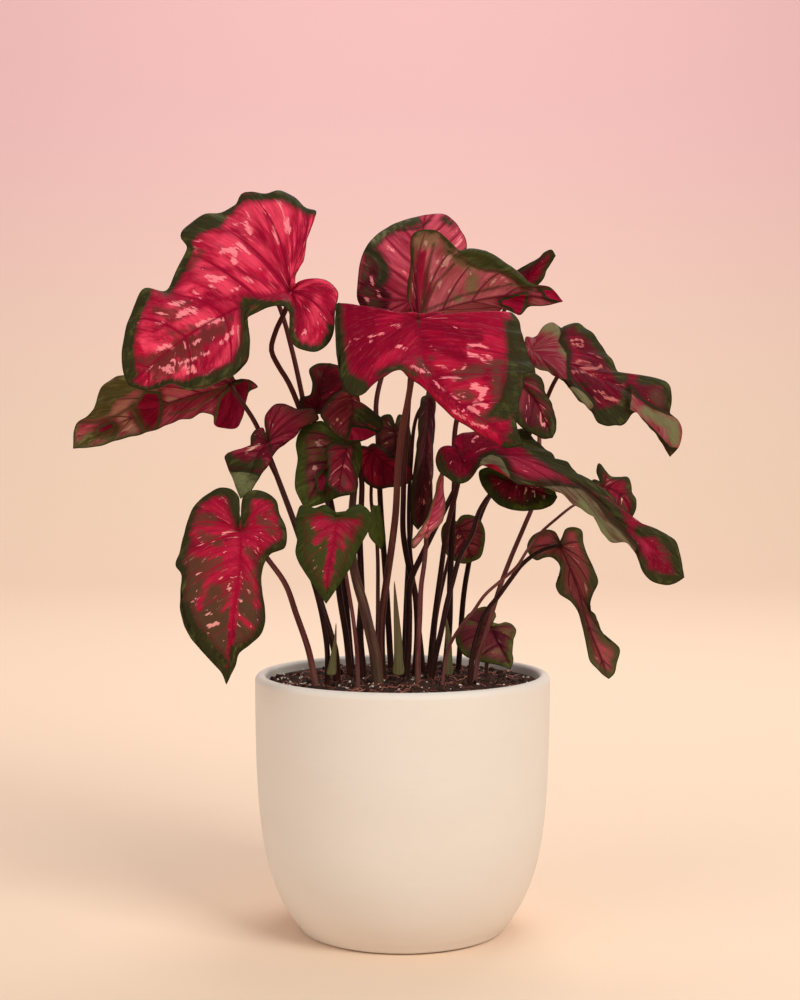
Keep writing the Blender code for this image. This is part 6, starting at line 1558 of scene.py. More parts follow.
    "blade_right_twisted": marks("""
        green 0.24: 8.6 36.5, 9.3 36.6, 9.6 36, 9.9 35
        green 0.3: 10.4 32.7, 11.3 32 / 14.7 31.5, 15.5 31.1, 16.3 30.6, 16.5 29.7
        green 0.35: 15.6 31, 16.4 30.6, 16.5 29.8
        back 0: 7.2 36.2, 8 35.95, 8.5 36.9, 9.3 37.2, 9.65 36.2, 9.5 35.7, 10 35, 10.05 33.3, 9 33.6, 7.6 34
        back 0: 13.75 31.6, 13.85 33, 14.3 32.4, 15.2 31.7, 16.2 31.25, 17.2 30.9, 17.2 29.6, 16.8 29.2, \
          16.2 29.3, 15.2 30.4, 14.2 31.3
        green 0.25: 8.9 36.7, 9.4 36.2
        crease 0.07: 9.7 36.4, 9.55 35.7, 10.05 35, 10 33.7, 10.6 33.15, 11.2 33.05
        back 0.26: 10.3 32.8, 11 32.3, 11.4 31.8
        deep 0.5: 10.6 36.2, 11.4 35, 12.2 34
        deep 0.6: 11.4 32.9, 12.8 32.8
        deep 0.4: 14.6 33, 15.4 32.4
        green 0.28: 10.4 36.9, 11.4 36.1, 12.4 34.8, 13.3 33.5
        green 0: 11.2 31.8, 12 30.4, 13.4 30.4, 13.9 31.6, 13.7 32.9, 13.4 32.9, 13.2 31.9, 12.2 31.6
        green 0.32: 14.6 33.4, 16 33.3, 16.2 32.3, 16.2 31.6
        olive 0.4: 15.4 32.4, 15.7 31.9
        green 0.2: 10.4 32.7, 11.4 31.9
        green 0.12: 7.4 34.2, 9 33.9
        fleck 0.07: 10.2 35.9, 10.3 35.5 / 10.5 35.9, 10.6 35.5 / 10.8 35.8, 10.9 35.5
        fleck 0.07: 11.6 32.7, 12.2 32.6
        fleck 0.1: 10.9 34.1, 11.7 34, 12 34.2
        fleck 0.06: 10.3 33.9, 11 33.8 / 11.3 33.7, 12.2 33.6 / 11.6 32.3, 12 32
        fleck 0.05: 10.5 34.4, 10.9 34.6 / 12.9 33.1, 13.4 33
        fleck 0.08: 12.3 32.3, 13.2 32.1
        crease 0.03: 13.75 33, 14.2 32.4, 15.2 31.7, 16.2 31.3 / 13.7 32.9, 13.65 31.6
        bare 0.5: 7.6 34.2, 9 33.8, 10 33.4"""),
    "blade_long_arching": marks("""
        green 0.5: 15.8 24.1, 16.6 23.3, 17 22
        green 0.3: 14.8 21.6, 16 21.2, 17 21.4 / 14.4 24.2, 16 24.1, 16.6 23.2
        olive 0.3: 15.9 23.4, 16.1 22.6
        bare 0.6: 2.4 29.2, 3.6 30.3, 5.6 30.4
        green 0.12: 2.2 28.9, 2.6 27.9, 3.4 27.3, 4.1 27.4
        deep 0.8: 3 28.5, 4 28.6
        deep 0.5: 4.2 29.6, 6 29
        rosy 0.4: 7 28.1, 8.8 27.8
        rosy 0.3: 13.7 24.5, 14.9 23.2
        back 0: 4.4 27.7, 4.8 28.6, 5.4 28.95, 6.1 28.6, 6.5 27.8, 6.7 27.3, 7.4 26.9, 5.6 26.8
        back 0: 8.4 27, 9.6 27, 10.9 26.8, 11.8 26, 12.4 25.1, 13.3 24.3, 14.3 23.3, 14.1 22.6, 13.2 22.8, \
          12.2 23.4, 11 25, 9.4 26
        green 0.14: 4.9 28.75, 5.5 28.9, 6.2 28.4, 6.6 27.6, 7.6 27.1, 9.4 27.1
        green 0.45: 7.2 29.9, 8.4 29, 9.4 28.3, 10.3 27.8, 11 27.2, 12.2 26.7
        green 0.4: 9.6 28.2, 10.2 28.4
        green 0.22: 10.9 25.9, 12 24.6, 12.5 23.9
        green 0.35: 12 26, 12.9 25.3, 13.3 24.5
        crease 0.04: 8.4 27, 9.6 27, 10.9 26.8, 11.8 26, 12.4 25.1, 13.3 24.2, 14.2 23.2"""),
    "blade_left_drooping": marks("""
        green 0.45: -18.9 31.8, -18 32.6, -17 33.2, -15.6 33.2
        rosy 0.22: -19.4 31, -17.6 31.6, -16.6 32.3, -15.6 32.6
        green 0.12: -18.6 31.8, -17.2 32.6
        back 0: -15.6 32.7, -14.75 32.6, -14.65 31.8, -14.8 30.9, -15.1 30.2, -15.7 30.3, -16.4 31.6
        back 0: -11.1 32.3, -10.4 33, -9.2 33.6, -9.4 32, -10 30.2, -11.6 30.2, -11.3 31.3
        green 0.16: -16.3 31.8, -15.9 30.8, -15.3 30.3
        crease 0.05: -14.75 32.7, -14.6 31.8, -14.75 30.9, -15.1 30.4
        green 0: -16 33.1, -17 33.6, -18.1 33.2, -18.8 31.6, -19.9 31.1, -18.6 31, -17.8 31.3, -17.4 32.2, \
          -16.6 32.5
        olive 0.3: -17.8 31.4, -16.4 32, -15.2 32.8 / -17 31.2, -16.4 30.4
        rosy 0.3: -17.2 32.3, -15.8 32.7
        crease 0.03: -19.7 30.85, -18.6 30.8, -17.4 31.2, -16.4 31.8
        back 0.22: -18.3 30.35, -17.7 30.6
        green 0.3: -19.9 29.2, -18.8 30
        green 0.2: -18.8 30, -17.6 29.9, -17.3 30.5
        rosy 0.35: -14.2 32.5, -12.6 32.6
        deep 0.4: -13.6 31.8, -11 32.8
        crease 0.01: -10.6 33.1, -12.6 32.3, -14.5 31.9 / -10.8 33, -12.6 31.6, -14.2 31.3
        bare 0.8: -14.6 30.8, -12.6 31, -11.4 31.8
        bare 0.5: -11.2 30.6, -10.2 30.7, -9.4 32.4, -9 33.2
        fleck 0.06: -16.6 30.5, -16.2 30.7
        fleck 0.05: -17 30.3, -16.8 30.4 / -15.5 31, -15.4 31.1"""),
    "blade_left_centre": marks("""
        green 0.3: -10.6 28.6, -9.6 28, -8.7 28.3
        back 0: -10.6 27.9, -9.3 27.8, -8.6 27.6, -9.2 26.6, -10 25.9, -10.8 27.2
        green 0.5: -10 27.4, -9.4 26.8
        rosy 0.25: -9.4 29.1, -8.6 29.4
        deep 0.3: -9.2 30, -8.6 29.9
        green 0.2: -9.2 30.3, -9.2 29.8
        bare 0.7: -8.3 31.2, -7.2 31.9, -5.8 31.6
        bare 0.5: -8 28.8, -6.6 29.8, -5.8 30.4
        crease 0.03: -8.3 30.9, -8.1 29.6, -7.9 28.9
        fleck 0.04: -9.5 29, -8.7 29.5"""),
    "blade_heart_left": marks("""
        rosy 0.22: -9.9 23.6, -11 22.2, -12 20.8, -12.45 19.6
        rosy 0.16: -9.9 24.2, -11.6 24.3, -12.9 24 / -10.2 23.7, -11.6 23.1, -12.9 22.7
        rosy 0.14: -9.6 23.8, -8.9 23.3, -8.4 23
        rosy 0.2: -9.7 23.4, -9.2 21.6, -8.9 19.6
        rosy 0.12: -10.3 20.3, -11 19.3 / -10.1 22.6, -10.5 21.8
        rosy 0.1: -10.1 19.2, -9.2 18.3
        olive 0.3: -12.6 24.9, -11.6 24.9 / -12.8 20.9, -12.4 20.5 / -11.5 20.7, -11.2 19.6
        olive 0.25: -12.2 23.9, -11.2 23.5 / -8.6 24.9, -7.9 24.3 / -8.5 22.4, -9 21.6
        olive 0.25: -9.4 20.9, -9.2 20.2
        olive 0.35: -12.9 22.4, -12 22, -11.3 22.3
        olive 0.16: -9.4 23, -9.1 22.6
        green 0.3: -13.2 19.6, -12.9 18.6, -12 17.4, -11 16.2
        green 0.22: -9.9 17, -8.9 17.6, -8.6 18.4
        rosy 0.3: -11.3 25.6, -10.5 24.8
        rosy 0.35: -9.2 26, -9.6 25.3
        fleck 0.07: -11.9 19.1, -11.7 19.2
        fleck 0.09: -11.8 18.4, -11.3 18.6
        fleck 0.05: -11.2 21.2, -11 21.4 / -10.6 20.9, -10.5 20.6"""),
}
OWN = {
    "blade_heart_left": (
        looks(ground=(156, 8, 44), rosy=(186, 26, 58), vein=(160, 6, 44), star=1.25,
        fleck=(246, 160, 150)), {}),
    "blade_spotted": (
        looks(vein=(78, 14, 26), ground=(112, 40, 42), rosy=(146, 68, 68), deep=(84, 26, 30),
        olive=(84, 78, 36), back=(124, 8, 36), back_light=(146, 24, 52), star=0.0, olives=0.6,
        fleck=(214, 150, 140), flecks=0.52, rim=(66, 70, 26), rim_light=(96, 102, 46)), {}),
    "blade_dark_centre": (
        looks(vein=(92, 24, 34), ground=(140, 46, 52), rosy=(168, 80, 82), deep=(100, 24, 32),
        olive=(66, 60, 30), back=(124, 8, 36), back_light=(146, 24, 52), star=0.0, olives=0.3, flecks=0.5,
        rim_width=0.12), {}),
    "blade_spotted_fold": (
        looks(vein=(90, 14, 28), ground=(138, 14, 42), rosy=(150, 44, 58), deep=(100, 8, 28), flecks=0.55,
        olives=0.5, rim_width=0.16), {}),
    "blade_red_upright": (
        looks(vein=(78, 14, 26), ground=(100, 8, 26), rosy=(122, 20, 38), deep=(70, 6, 18), flecks=0.3,
        rim_width=0.12), {}),
    "blade_red_centre": (
        looks(vein=(112, 8, 32), ground=(164, 12, 46), rosy=(198, 36, 66), deep=(122, 6, 32), flecks=0.36,
        rim_width=0.16), {}),
    "blade_round_centre": (
        looks(ground=(104, 44, 42), rosy=(128, 62, 56), deep=(76, 28, 30), vein=(80, 22, 30),
        olive=(66, 56, 28), star=0.0, olives=0.3, rim_width=0.14), {}),
    # This leaf stands in shadow among the stems: its dark colours are its red darkened as painted shade.
    "blade_edge_on": (
        looks(vein=(78, 14, 26), ground=(74, 22, 26), rosy=(98, 36, 40), deep=(48, 14, 18), flecks=0.3,
        rim_width=0.14), {}),
    "blade_round_back": (
        looks(ground=(132, 48, 50), rosy=(158, 70, 70), deep=(106, 32, 38), vein=(88, 20, 32), star=0.0,
        olives=0.4, rim=(76, 78, 32), rim_light=(100, 104, 48), rim_width=0.22), {}),
    # This lobe lies in shadow: its colours are partly its own dark red and green, partly painted shade.
    "blade_dark_lobe": (
        looks(vein=(78, 14, 26), ground=(110, 6, 28), rosy=(126, 18, 38), deep=(64, 6, 18),
        olive=(46, 38, 14), star=0.5, rim=(44, 46, 14), rim_light=(78, 84, 28), rim_width=0.42), {}),
    "blade_small_right": (
        looks(vein=(78, 14, 26), ground=(136, 18, 42), rosy=(168, 52, 68), olive=(66, 52, 24), star=0.55,
        rim_width=0.3), {}),
    "blade_low_right": (
        looks(ground=(108, 40, 46), rosy=(134, 66, 66), deep=(84, 28, 34), olive=(104, 92, 50),
        vein=(84, 22, 34), star=0.0, olives=0.55, rim=(84, 82, 40), rim_light=(112, 114, 56),
        rim_width=0.26, fleck=(160, 100, 90)), {}),
    "blade_behind_centre": (
        looks(vein=(78, 14, 26), ground=(120, 28, 42), rosy=(150, 58, 66), deep=(84, 18, 28),
        olive=(58, 50, 20), olives=0.6, rim_width=0.36, flecks=0.4), {}),
    "blade_small_green": (
        looks(ground=(84, 86, 30), rosy=(98, 102, 40), deep=(66, 68, 22), vein=(72, 70, 30),
        olive=(80, 84, 30), star=0.0, rim=(72, 78, 26), flecks=0.2), {}),
    "blade_heart_front": (
        looks(ground=(138, 10, 40), rosy=(164, 30, 56), vein=(146, 8, 42), olive=(60, 60, 24),
        rim=(52, 56, 20), rim_light=(72, 80, 32), star=0.5, olives=0.2), {}),
    "blade_hanging_lance": (
        {}, looks(ground=(130, 66, 58), rosy=(164, 62, 70), deep=(104, 42, 42), olive=(94, 84, 50),
        rim=(74, 70, 38), rim_light=(100, 94, 56), rim_width=0.2, olives=0.3, flecks=0.3)),
    "blade_big_left": (
        looks(ground=(186, 12, 50), rosy=(234, 64, 90), deep=(150, 2, 40), olive=(92, 44, 34),
        rosiness=0.56, flecks=0.38, olives=0.3, rim_width=0.3), {}),
    "blade_front_centre": (
        looks(ground=(150, 2, 40), rosy=(186, 24, 56), deep=(124, 0, 32), rosiness=0.42, flecks=0.36,
        olives=0.2, rim_width=0.3), {}),
    # This leaf's deep colour is painted shade, laid mostly on its left lobe, which curls back out of the light.
    "blade_top_back": (
        looks(ground=(164, 40, 60), rosy=(204, 76, 92), deep=(72, 8, 20), vein=(140, 24, 48), flecks=0.34,
        rosiness=0.55, deepness=0.35, olives=0.15, rim=(58, 56, 30), rim_light=(112, 108, 72),
        rim_width=0.22), {}),
    "blade_right_twisted": (
        looks(ground=(122, 10, 34), rosy=(150, 30, 50), deep=(92, 8, 26), fleck=(206, 112, 106),
        back=(134, 30, 48), back_light=(148, 78, 76), flecks=0.36, olives=0.3, rim_width=0.26,
        rosiness=0.4), {}),
    "blade_long_arching": (
        looks(ground=(128, 0, 34), rosy=(158, 30, 56), deep=(108, 0, 26), flecks=0.3, olives=0.2,
        back=(94, 62, 48), back_light=(112, 98, 68), rim_width=0.28, rosiness=0.42), {}),
    "blade_right_back": (
        looks(ground=(160, 8, 42), rosy=(206, 46, 70), fleck=(240, 120, 126), rim_width=0.2), {}),
    "blade_top_folded": (
        {}, looks(back=(140, 6, 40), back_light=(164, 22, 56), ground=(148, 66, 66), rosy=(188, 88, 96),
        deep=(132, 8, 38), olive=(108, 94, 60), vein=(96, 26, 36), rim=(60, 58, 26),
        rim_light=(92, 90, 50), rim_width=0.16, flecks=0.34, rosiness=0.5, deepness=0.4)),
    "blade_left_drooping": (
        {}, looks(ground=(160, 54, 66), rosy=(190, 84, 92), deep=(134, 30, 48), olive=(176, 128, 104),
        back=(124, 4, 36), back_light=(148, 18, 50), back_green=(60, 58, 26), rim=(92, 84, 46),
        rim_light=(136, 126, 78), rim_width=0.14, flecks=0.34, olives=0.25)),
    "blade_left_centre": (
        looks(ground=(126, 22, 42), rosy=(152, 40, 60), deep=(92, 10, 28), vein=(88, 8, 28),
        back=(70, 66, 36), back_light=(84, 80, 46), flecks=0.32, olives=0.15, rim_width=0.14), {}),
}
ROLLS = {
    "blade_big_left": [(-12.3, 33.1, 2.6, 0.5, 1), (-10.0, 44.2, 0.8, 0.4, -1)],
    "blade_top_folded": [(5.8, 40.8, 2.6, 0.8, 1)],
    "blade_front_centre": [(-4.0, 36.0, 1.8, 0.4, 1)],
    "blade_left_drooping": [(-15.5, 33.9, 2.4, 0.6, 1)],
    "blade_hanging_lance": [(11.5, 19.2, 1.0, 0.3, -1)],
    "blade_heart_left": [(-13.0, 18.6, 1.6, 0.4, 1)],
}


def leaf_materials(name, kind):
    """The two finishes of a leaf, each its own if it has shares of its own, else its kind's, made once."""
    found = []
    for face, kinds, own in zip(("upper_", "under_"), (UPPER, UNDER), OWN.get(name, ({}, {}))):
        title = face + (name if own else kind)
        found.append(bpy.data.materials.get(title) or blade_finish(title, **{**kinds[kind], **own}))
    return found


print("kinds of leaf:", ", ".join(UPPER))

# %% [markdown]
# ## All the leaves
# Each leaf takes the place of its plain solid. The veins are counted to suit the leaf's size: seven side
# veins in the big ones, five or so in the small ones.

# %% Leaves
RESHAPED = {
    "blade_pink_furled": dict(narrow=0.72),
    "blade_front_centre": dict(bulge=0.25),
}


def leaf_detail(leaf):
    """How finely to build: by the length of the margin."""
    length = np.linalg.norm(np.diff(margin_points(leaf, "left"), axis=0), axis=1).sum()
    if length > 11:
        return dict(veins=8, fine=8, across=30)
    if length > 6:
        return dict(veins=7, fine=6, across=22)
    return dict(veins=5, fine=5, across=14)


for seed, (name, leaf) in enumerate(LEAVES.items()):
    detailed = {**leaf_detail(leaf), **leaf, **RESHAPED.get(name, {})}
    made = build_leaf("leaf" + name[5:], detailed, leaf_materials(name, leaf["kind"]), seed,
                      MARKS.get(name, ()), ROLLS.get(name, ()))
    settle(made, leaf["kind"], name)
print("leaves:", len(LEAVES))

# %% [markdown]
# ## Stems
# A caladium's stems are round and fleshy, fine at the top and thicker at the foot, most of them nearly
# black-red, a few pink or pale. Each is a circle carried along a smooth path from the joint under its
# blade down into the soil. The circle is not quite true: a few shallow grooves run down it, and it flares
# a little where it meets the blade.

# %% Stem builder
STEM_STEPS = 70
STEM_SIDES = 14
JOINT_DROP = 0.03
ROOT_DEPTH = 0.8


def soil_top(x, y):
    """Height of the soil: a low mound with a fixed fine relief that dies away at the wall."""
    radius = np.hypot(x, y) / (POT_RADIUS - POT_WALL)
    relief = (np.sin(2.3 * x + 0.7 * y + 0.4) * np.cos(1.9 * y - 0.6 * x)
              + 0.6 * np.sin(4.1 * x - 2.2 * y + 1.3) + 0.5 * np.cos(3.4 * y + 2.7 * x + 0.2))
    inside = np.clip(1.0 - radius**4, 0.0, 1.0)
    return SOIL_LEVEL + SOIL_MOUND * (1.0 - radius**2) + SOIL_RELIEF * relief * inside


def stem_path(stem):
    """Points down a stem, evenly spaced from the joint to the soil, then straight on into it."""
    way = placed(stem["way"])
    way[-1, 2] = soil_top(way[-1, 0], way[-1, 1])
    rib, _, _, normal = leaf_frame(LEAVES[stem["blade"]])
    line = smooth_line(np.vstack([rib[0] - normal * JOINT_DROP, way]), np.linspace(0, 1, STEM_STEPS))
    onward = unit(line[-1] - line[-3])
    return np.vstack([line, line[-1] + onward * ROOT_DEPTH / 2, line[-1] + onward * ROOT_DEPTH])


def tube(path, radius, sides, grooves=0.0):
    """A ring of radius r (1 + grooves cos 5 a) carried along a path, closed at both ends by a point."""
    ahead = unit(np.gradient(path, axis=0))
    side = unit(np.cross(ahead, np.array([0.0, 1.0, 0.0])))
    other = np.cross(ahead, side)
    a = np.linspace(0, 2 * np.pi, sides + 1)
    ring = radius[:, None] * (1 + grooves * np.cos(5 * a)[None])
    points = path[:, None] + ring[..., None] * (
        np.cos(a)[None, :, None] * side[:, None] + np.sin(a)[None, :, None] * other[:, None])
    points = np.concatenate([np.broadcast_to(path[:1, None], (1, sides + 1, 3)), points,
                             np.broadcast_to(path[-1:, None], (1, sides + 1, 3))])
    points[:, -1] = points[:, 0]
    rows, columns = points.shape[:2]
    flat = points.reshape(-1, 3)
    first, place = weld(flat)
    faces = grid_faces(rows, columns)
    corners = place[faces]
    whole = ((corners[:, 0] != corners[:, 1]) & (corners[:, 1] != corners[:, 2])
             & (corners[:, 2] != corners[:, 0]))
    steps = np.concatenate([[0], np.cumsum(np.linalg.norm(np.diff(path, axis=0), axis=1))])
    along = np.concatenate([steps[:1], steps, steps[-1:]])
    chart = np.stack([np.repeat(along, columns), np.tile(a * radius.mean(), rows)], 1)
    return flat[first], corners[whole][:, ::-1], chart[faces[whole][:, ::-1].reshape(-1)]


print("path of the tallest stem:", np.round(stem_path(STEMS["stem_big_left"])[[0, -1]], 1).tolist())

# %% [markdown]
# The stem's skin has fine streaks along it, a soft shine, and a paler foot where it comes out of its
# sheath. The streaks are noise stretched along the stem by the tube's own map.

# %% Stem finish
def stem_finish(name, dark, light, pale, upper_colour, gloss=0.38):
    f = Finish(name, Specular_IOR_Level=0.08)
    streak = f.noise(f.place("along", scale=(0.35, 9.0, 1.0)), 1.0, 4.0, 0.6, 0.3)
    colour = f.mix(f.step(streak, 0.35, 0.68), dark, light)
    mottle = f.noise(f.place("Object", scale=(1.0, 1.0, 0.5)), 260.0, 3.0, 0.6)
    colour = f.mix(f.spread(f.step(mottle, 0.5, 0.75), 0.0, 0.3), colour, pale)
    low = f.split(f.place(), 2)
    colour = f.mix(f.times(f.step(low, 0.175, 0.150), 0.45), colour, pale)
    # From 22 to 31 cm up, the skin turns towards its upper colour, which is lighter.
    colour = f.mix(f.times(f.step(low, 0.22, 0.31), 0.6), colour, upper_colour)
    rough = f.spread(mottle, gloss - 0.05, gloss + 0.12)
    return f.done(Base_Color=colour, Roughness=rough, Normal=f.bump(streak, 0.0003, 0.5))


STEM_COLOURS = {
    "dark": [(26, 6, 4), (54, 22, 16), (74, 40, 30), (92, 40, 34)],
    "brown": [(60, 26, 20), (96, 52, 42), (112, 74, 58), (108, 54, 46)],
    "pink": [(74, 32, 30), (110, 58, 52), (124, 82, 70), (138, 88, 78)],
    "pale": [(64, 38, 30), (96, 64, 50), (88, 72, 50), (120, 82, 66)],
}
STEM_FINISHES = {
    kind: stem_finish(f"stem_{kind}_skin", *(paint(*colour) for colour in colours))
    for kind, colours in STEM_COLOURS.items()
}
for name, stem in STEMS.items():
    path = stem_path(stem)
    top, foot = stem["radii"]
    share = np.linspace(0, 1, len(path))
    radius = top + (foot - top) * share + 0.35 * top * np.exp(-share / 0.02)
    skin, faces, chart = tube(path, radius, STEM_SIDES, 0.03)
    made = add_mesh(name.replace("stem_", "stalk_"), skin, faces, {"along": chart},
                    [STEM_FINISHES[stem["kind"]]])
    settle(made, "stem_" + stem["kind"], name)
print("stems:", len(STEMS))

# %% [markdown]
# ## Sheaths
# At the foot of some stems stands a narrow pointed wrap, the papery sheath of the next leaf. It is the
# same kind of surface as a blade, only narrow, so the same builder makes it, with a finish of straight
# fibres instead of the layers of a blade.

# %% Sheaths
def sheath_finish():
    f = Finish("sheath_skin", Specular_IOR_Level=0.35)
    fibre = f.noise(f.place("leaf", scale=(0.3, 14.0, 1.0)), 1.0, 3.0, 0.6)
    colour = f.mix(f.step(fibre, 0.32, 0.7), paint(64, 50, 20), paint(110, 98, 38))
    tip = f.split(f.place(), 2)
    colour = f.mix(f.times(f.step(tip, 0.16, 0.21), 0.5), colour, paint(78, 38, 32))
    return f.done(Base_Color=colour, Roughness=f.spread(fibre, 0.45, 0.62),
                  Normal=f.bump(fibre, 0.0003, 0.6))


sheath_skin = sheath_finish()
for seed, (name, sheath) in enumerate(SHEATHS.items()):
    shape = {**sheath, "veins": 3, "fine": 6, "across": 10, "narrow": 0.6}
    made = build_leaf(name + "_wrap", shape, (sheath_skin, sheath_skin), seed)
    settle(made, "sheath", name)
print("sheaths:", len(SHEATHS))

# %% [markdown]
# ## Soil
# Potting soil is a loose heap: dark crumbs, white grains of perlite and reddish fibres of coir and root.
# One fine disc carries the mound, with a rough relief from a sum of waves; on it lie a few hundred
# separate crumbs and grains, each a lumpy ball of a few dozen faces, and fibres that curl across the top.
# Everything random is drawn from a generator with a fixed seed, so the heap is the same every time.

# %% Soil disc
SOIL_RINGS = 70
SOIL_TURNS = 220


def rough_soil(x, y):
    """The mound and relief of the plain solid, plus finer waves that make crumbs of about 2 mm."""
    fine = (np.sin(9.1 * x + 3.3 * y) * np.cos(8.3 * y - 2.7 * x) + 0.7 * np.sin(15.7 * x - 11.9 * y + 0.8)
            + 0.6 * np.cos(19.3 * y + 13.1 * x) * np.sin(17.0 * x - 5.0 * y))
    radius = np.hypot(x, y) / inner_radius(SOIL_LEVEL)
    return soil_top(x, y) + 0.035 * fine * np.clip(1.2 - radius**6, 0, 1)


def soil_finish():
    f = Finish("soil_crumb", Specular_IOR_Level=0.2)
    place = f.place()
    clod = f.noise(place, 420.0, 5.0, 0.7)
    fine = f.noise(place, 1700.0, 4.0, 0.7)
    colour = f.mix(f.step(clod, 0.35, 0.7), paint(36, 20, 14), paint(82, 52, 38))
    colour = f.mix(f.times(f.step(fine, 0.55, 0.75), 0.5), colour, paint(122, 78, 58))
    height = f.plus(clod, f.times(fine, 0.5))
    return f.done(Base_Color=colour, Roughness=f.spread(fine, 0.85, 1.0),
                  Normal=f.bump(height, 0.0012, 0.9))


def make_soil():
    """A disc over radius r and angle a with height from rough_soil, closed below by its own mirror."""
    r = np.linspace(0, inner_radius(SOIL_LEVEL) - 0.02, SOIL_RINGS)
    a = np.linspace(0, 2 * np.pi, SOIL_TURNS + 1)
    x, y = r[:, None] * np.cos(a), r[:, None] * np.sin(a)
    top = np.stack([x, y, rough_soil(x, y)], 2)
    under = top.copy()
    under[..., 2] = SOIL_LEVEL - 0.8
    grid = np.concatenate([top, under[::-1]])
    grid[:, -1] = grid[:, 0]
    flat = grid.reshape(-1, 3)
    first, place = weld(flat)
    corners = place[grid_faces(*grid.shape[:2])]
    whole = ((corners[:, 0] != corners[:, 1]) & (corners[:, 1] != corners[:, 2])
             & (corners[:, 2] != corners[:, 0]))
    return add_mesh("soil_heap", flat[first], corners[whole][:, ::-1], materials=[soil_finish()])


soil_heap = settle(make_soil(), "soil", "soil")
print("soil heap:", len(soil_heap.data.polygons), "faces")

# %% [markdown]
# The loose pieces are one ball, copied and lumped by whole arrays: a grid of latitude and longitude, a
# table of places, sizes and turns, and one product of the two.

# %% Crumbs and perlite
def lumps(count, size, spread, rng, squash=0.8, rise=0.3):
    """Balls of 6 x 8 points, each with its own size, turn and lumpiness, lying on the soil."""
    lat, lon = np.linspace(0, np.pi, 6), np.linspace(0, 2 * np.pi, 9)
    ball = np.stack([np.outer(np.sin(lat), np.cos(lon)), np.outer(np.sin(lat), np.sin(lon)),
                     np.outer(np.cos(lat), np.ones(9))], 2).reshape(-1, 3)
    ball[np.isclose(np.linalg.norm(ball[:, :2], axis=1), 0)] *= (0, 0, 1)
    ball.reshape(6, 9, 3)[:, -1] = ball.reshape(6, 9, 3)[:, 0]
    first, place = weld(ball)
    corners = place[grid_faces(6, 9)]
    whole = ((corners[:, 0] != corners[:, 1]) & (corners[:, 1] != corners[:, 2])
             & (corners[:, 2] != corners[:, 0]))
    corners, ball = corners[whole][:, ::-1], ball[first]
    reach = (inner_radius(SOIL_LEVEL) - 0.3) * rng.random(count) ** spread
    turn = rng.random(count) * 2 * np.pi
    x, y = reach * np.cos(turn), reach * np.sin(turn)
    sizes = size[0] + (size[1] - size[0]) * rng.random(count) ** 2.5
    spin = rng.random(count) * 2 * np.pi
    wide = ball[None] * (1 + 0.28 * rng.standard_normal((count, len(ball), 1)).clip(-1.4, 1.4))
    wide = wide * (sizes[:, None] * (0.7 + 0.6 * rng.random((count, 3))))[:, None]
    wide[..., 2] *= squash
    turned = np.stack([wide[..., 0] * np.cos(spin)[:, None] - wide[..., 1] * np.sin(spin)[:, None],
                       wide[..., 0] * np.sin(spin)[:, None] + wide[..., 1] * np.cos(spin)[:, None],
                       wide[..., 2]], 2)
    base = np.stack([x, y, rough_soil(x, y) + rise * sizes], 1)
    points = (turned + base[:, None]).reshape(-1, 3)
    faces = (corners[None] + (np.arange(count) * len(ball))[:, None, None]).reshape(-1, 3)
    return points, faces


rng = np.random.default_rng(7)


def perlite_finish():
    f = Finish("perlite_grain", Specular_IOR_Level=0.3, Roughness=0.8)
    pore = f.noise(f.place(), 1500.0, 3.0, 0.7)
    colour = f.mix(pore, paint(206, 190, 166), paint(246, 232, 208))
    return f.done(Base_Color=colour, Normal=f.bump(pore, 0.0004, 0.7))


for title, count, size, finish in (
    ("soil_crumbs", 520, (0.05, 0.22), bpy.data.materials["soil_crumb"]),
    ("perlite", 300, (0.03, 0.1), perlite_finish()),
):
    points, faces = lumps(count, size, 0.55, rng)
    made = add_mesh(title, points, faces, materials=[finish])
    settle(made, "soil")
    print(title, count)

# %% [markdown]
# Fibres and fine roots are thin tubes on a wandering path: a start, a heading that drifts, and a height
# that rises and falls over the crumbs. All of them are worked out together as one block of arrays.

# %% Fibres
def fibre_finish():
    f = Finish("fibre", Specular_IOR_Level=0.3, Roughness=0.7)
    tone = f.noise(f.place(), 90.0, 2.0)
    return f.done(Base_Color=f.mix(f.step(tone, 0.35, 0.65), paint(118, 56, 48), paint(186, 114, 96)))


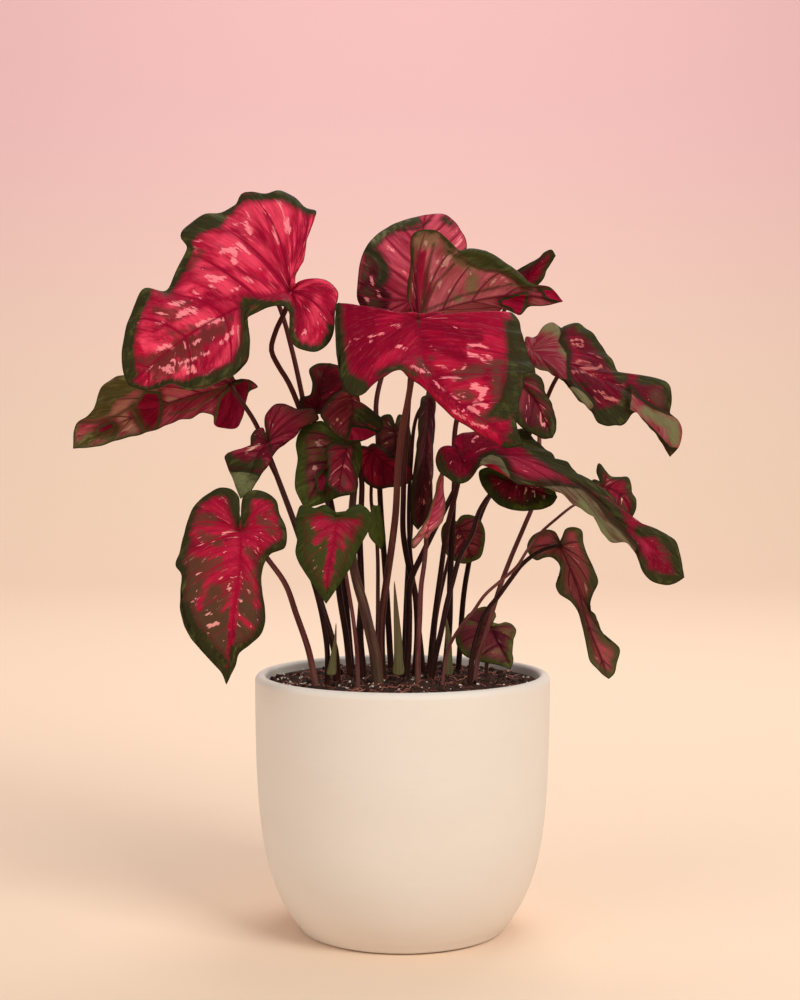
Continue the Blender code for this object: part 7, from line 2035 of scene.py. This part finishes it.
def make_fibres(count, steps, sides, rng):
    """Thin tubes: heading drifts along each fibre, the place is its running sum, the height arches."""
    heading = rng.random((count, 1)) * 2 * np.pi + np.cumsum(rng.standard_normal((count, steps)) * 0.28, 1)
    stride = (0.08 + 0.14 * rng.random((count, 1)))
    reach = 7.4 * rng.random(count) ** 0.7
    turn = rng.random(count) * 2 * np.pi
    x = (reach * np.cos(turn))[:, None] + np.cumsum(np.cos(heading) * stride, 1)
    y = (reach * np.sin(turn))[:, None] + np.cumsum(np.sin(heading) * stride, 1)
    far = np.maximum(1.0, np.hypot(x, y) / (inner_radius(SOIL_LEVEL) - 0.25))
    x, y = x / far, y / far
    share = np.linspace(0, 1, steps)[None]
    arch = (0.02 + 0.16 * rng.random((count, 1))) * np.sin(np.pi * share) * np.sin(3 * np.pi * share + 2) ** 2
    path = np.stack([x, y, rough_soil(x, y) + 0.03 + arch], 2)
    ahead = unit(np.gradient(path, axis=1) + 1e-9)
    side = unit(np.cross(ahead, np.array([0.0, 0.0, 1.0])) + 1e-9)
    other = np.cross(ahead, side)
    a = np.linspace(0, 2 * np.pi, sides, endpoint=False)
    thick = (0.012 + 0.016 * rng.random((count, 1, 1, 1)))
    ring = np.cos(a)[:, None] * side[:, :, None] + np.sin(a)[:, None] * other[:, :, None]
    points = path[:, :, None] + thick * ring
    body = points.reshape(count, -1, 3)
    ends = np.stack([path[:, 0], path[:, -1]], 1)
    points = np.concatenate([body, ends], 1)
    i, j = np.meshgrid(np.arange(steps - 1), np.arange(sides), indexing="ij")
    p, q = (i * sides + j).ravel(), (i * sides + (j + 1) % sides).ravel()
    faces = np.concatenate([np.stack([p, q, q + sides], 1), np.stack([p, q + sides, p + sides], 1)])
    k, n = np.arange(sides), (np.arange(sides) + 1) % sides
    cap = steps * sides
    last = (steps - 1) * sides
    faces = np.concatenate([faces, np.stack([np.full(sides, cap), n, k], 1),
                            np.stack([np.full(sides, cap + 1), last + k, last + n], 1)])
    faces = (faces[None] + (np.arange(count) * (cap + 2))[:, None, None]).reshape(-1, 3)
    return points.reshape(-1, 3), faces


FIBRES = 150
FIBRE_STEPS = 16
FIBRE_SIDES = 4
spots, faces = make_fibres(FIBRES, FIBRE_STEPS, FIBRE_SIDES, rng)
fibres = settle(add_mesh("fibres", spots, faces[:, ::-1], materials=[fibre_finish()]), "soil")
print("fibres:", FIBRES)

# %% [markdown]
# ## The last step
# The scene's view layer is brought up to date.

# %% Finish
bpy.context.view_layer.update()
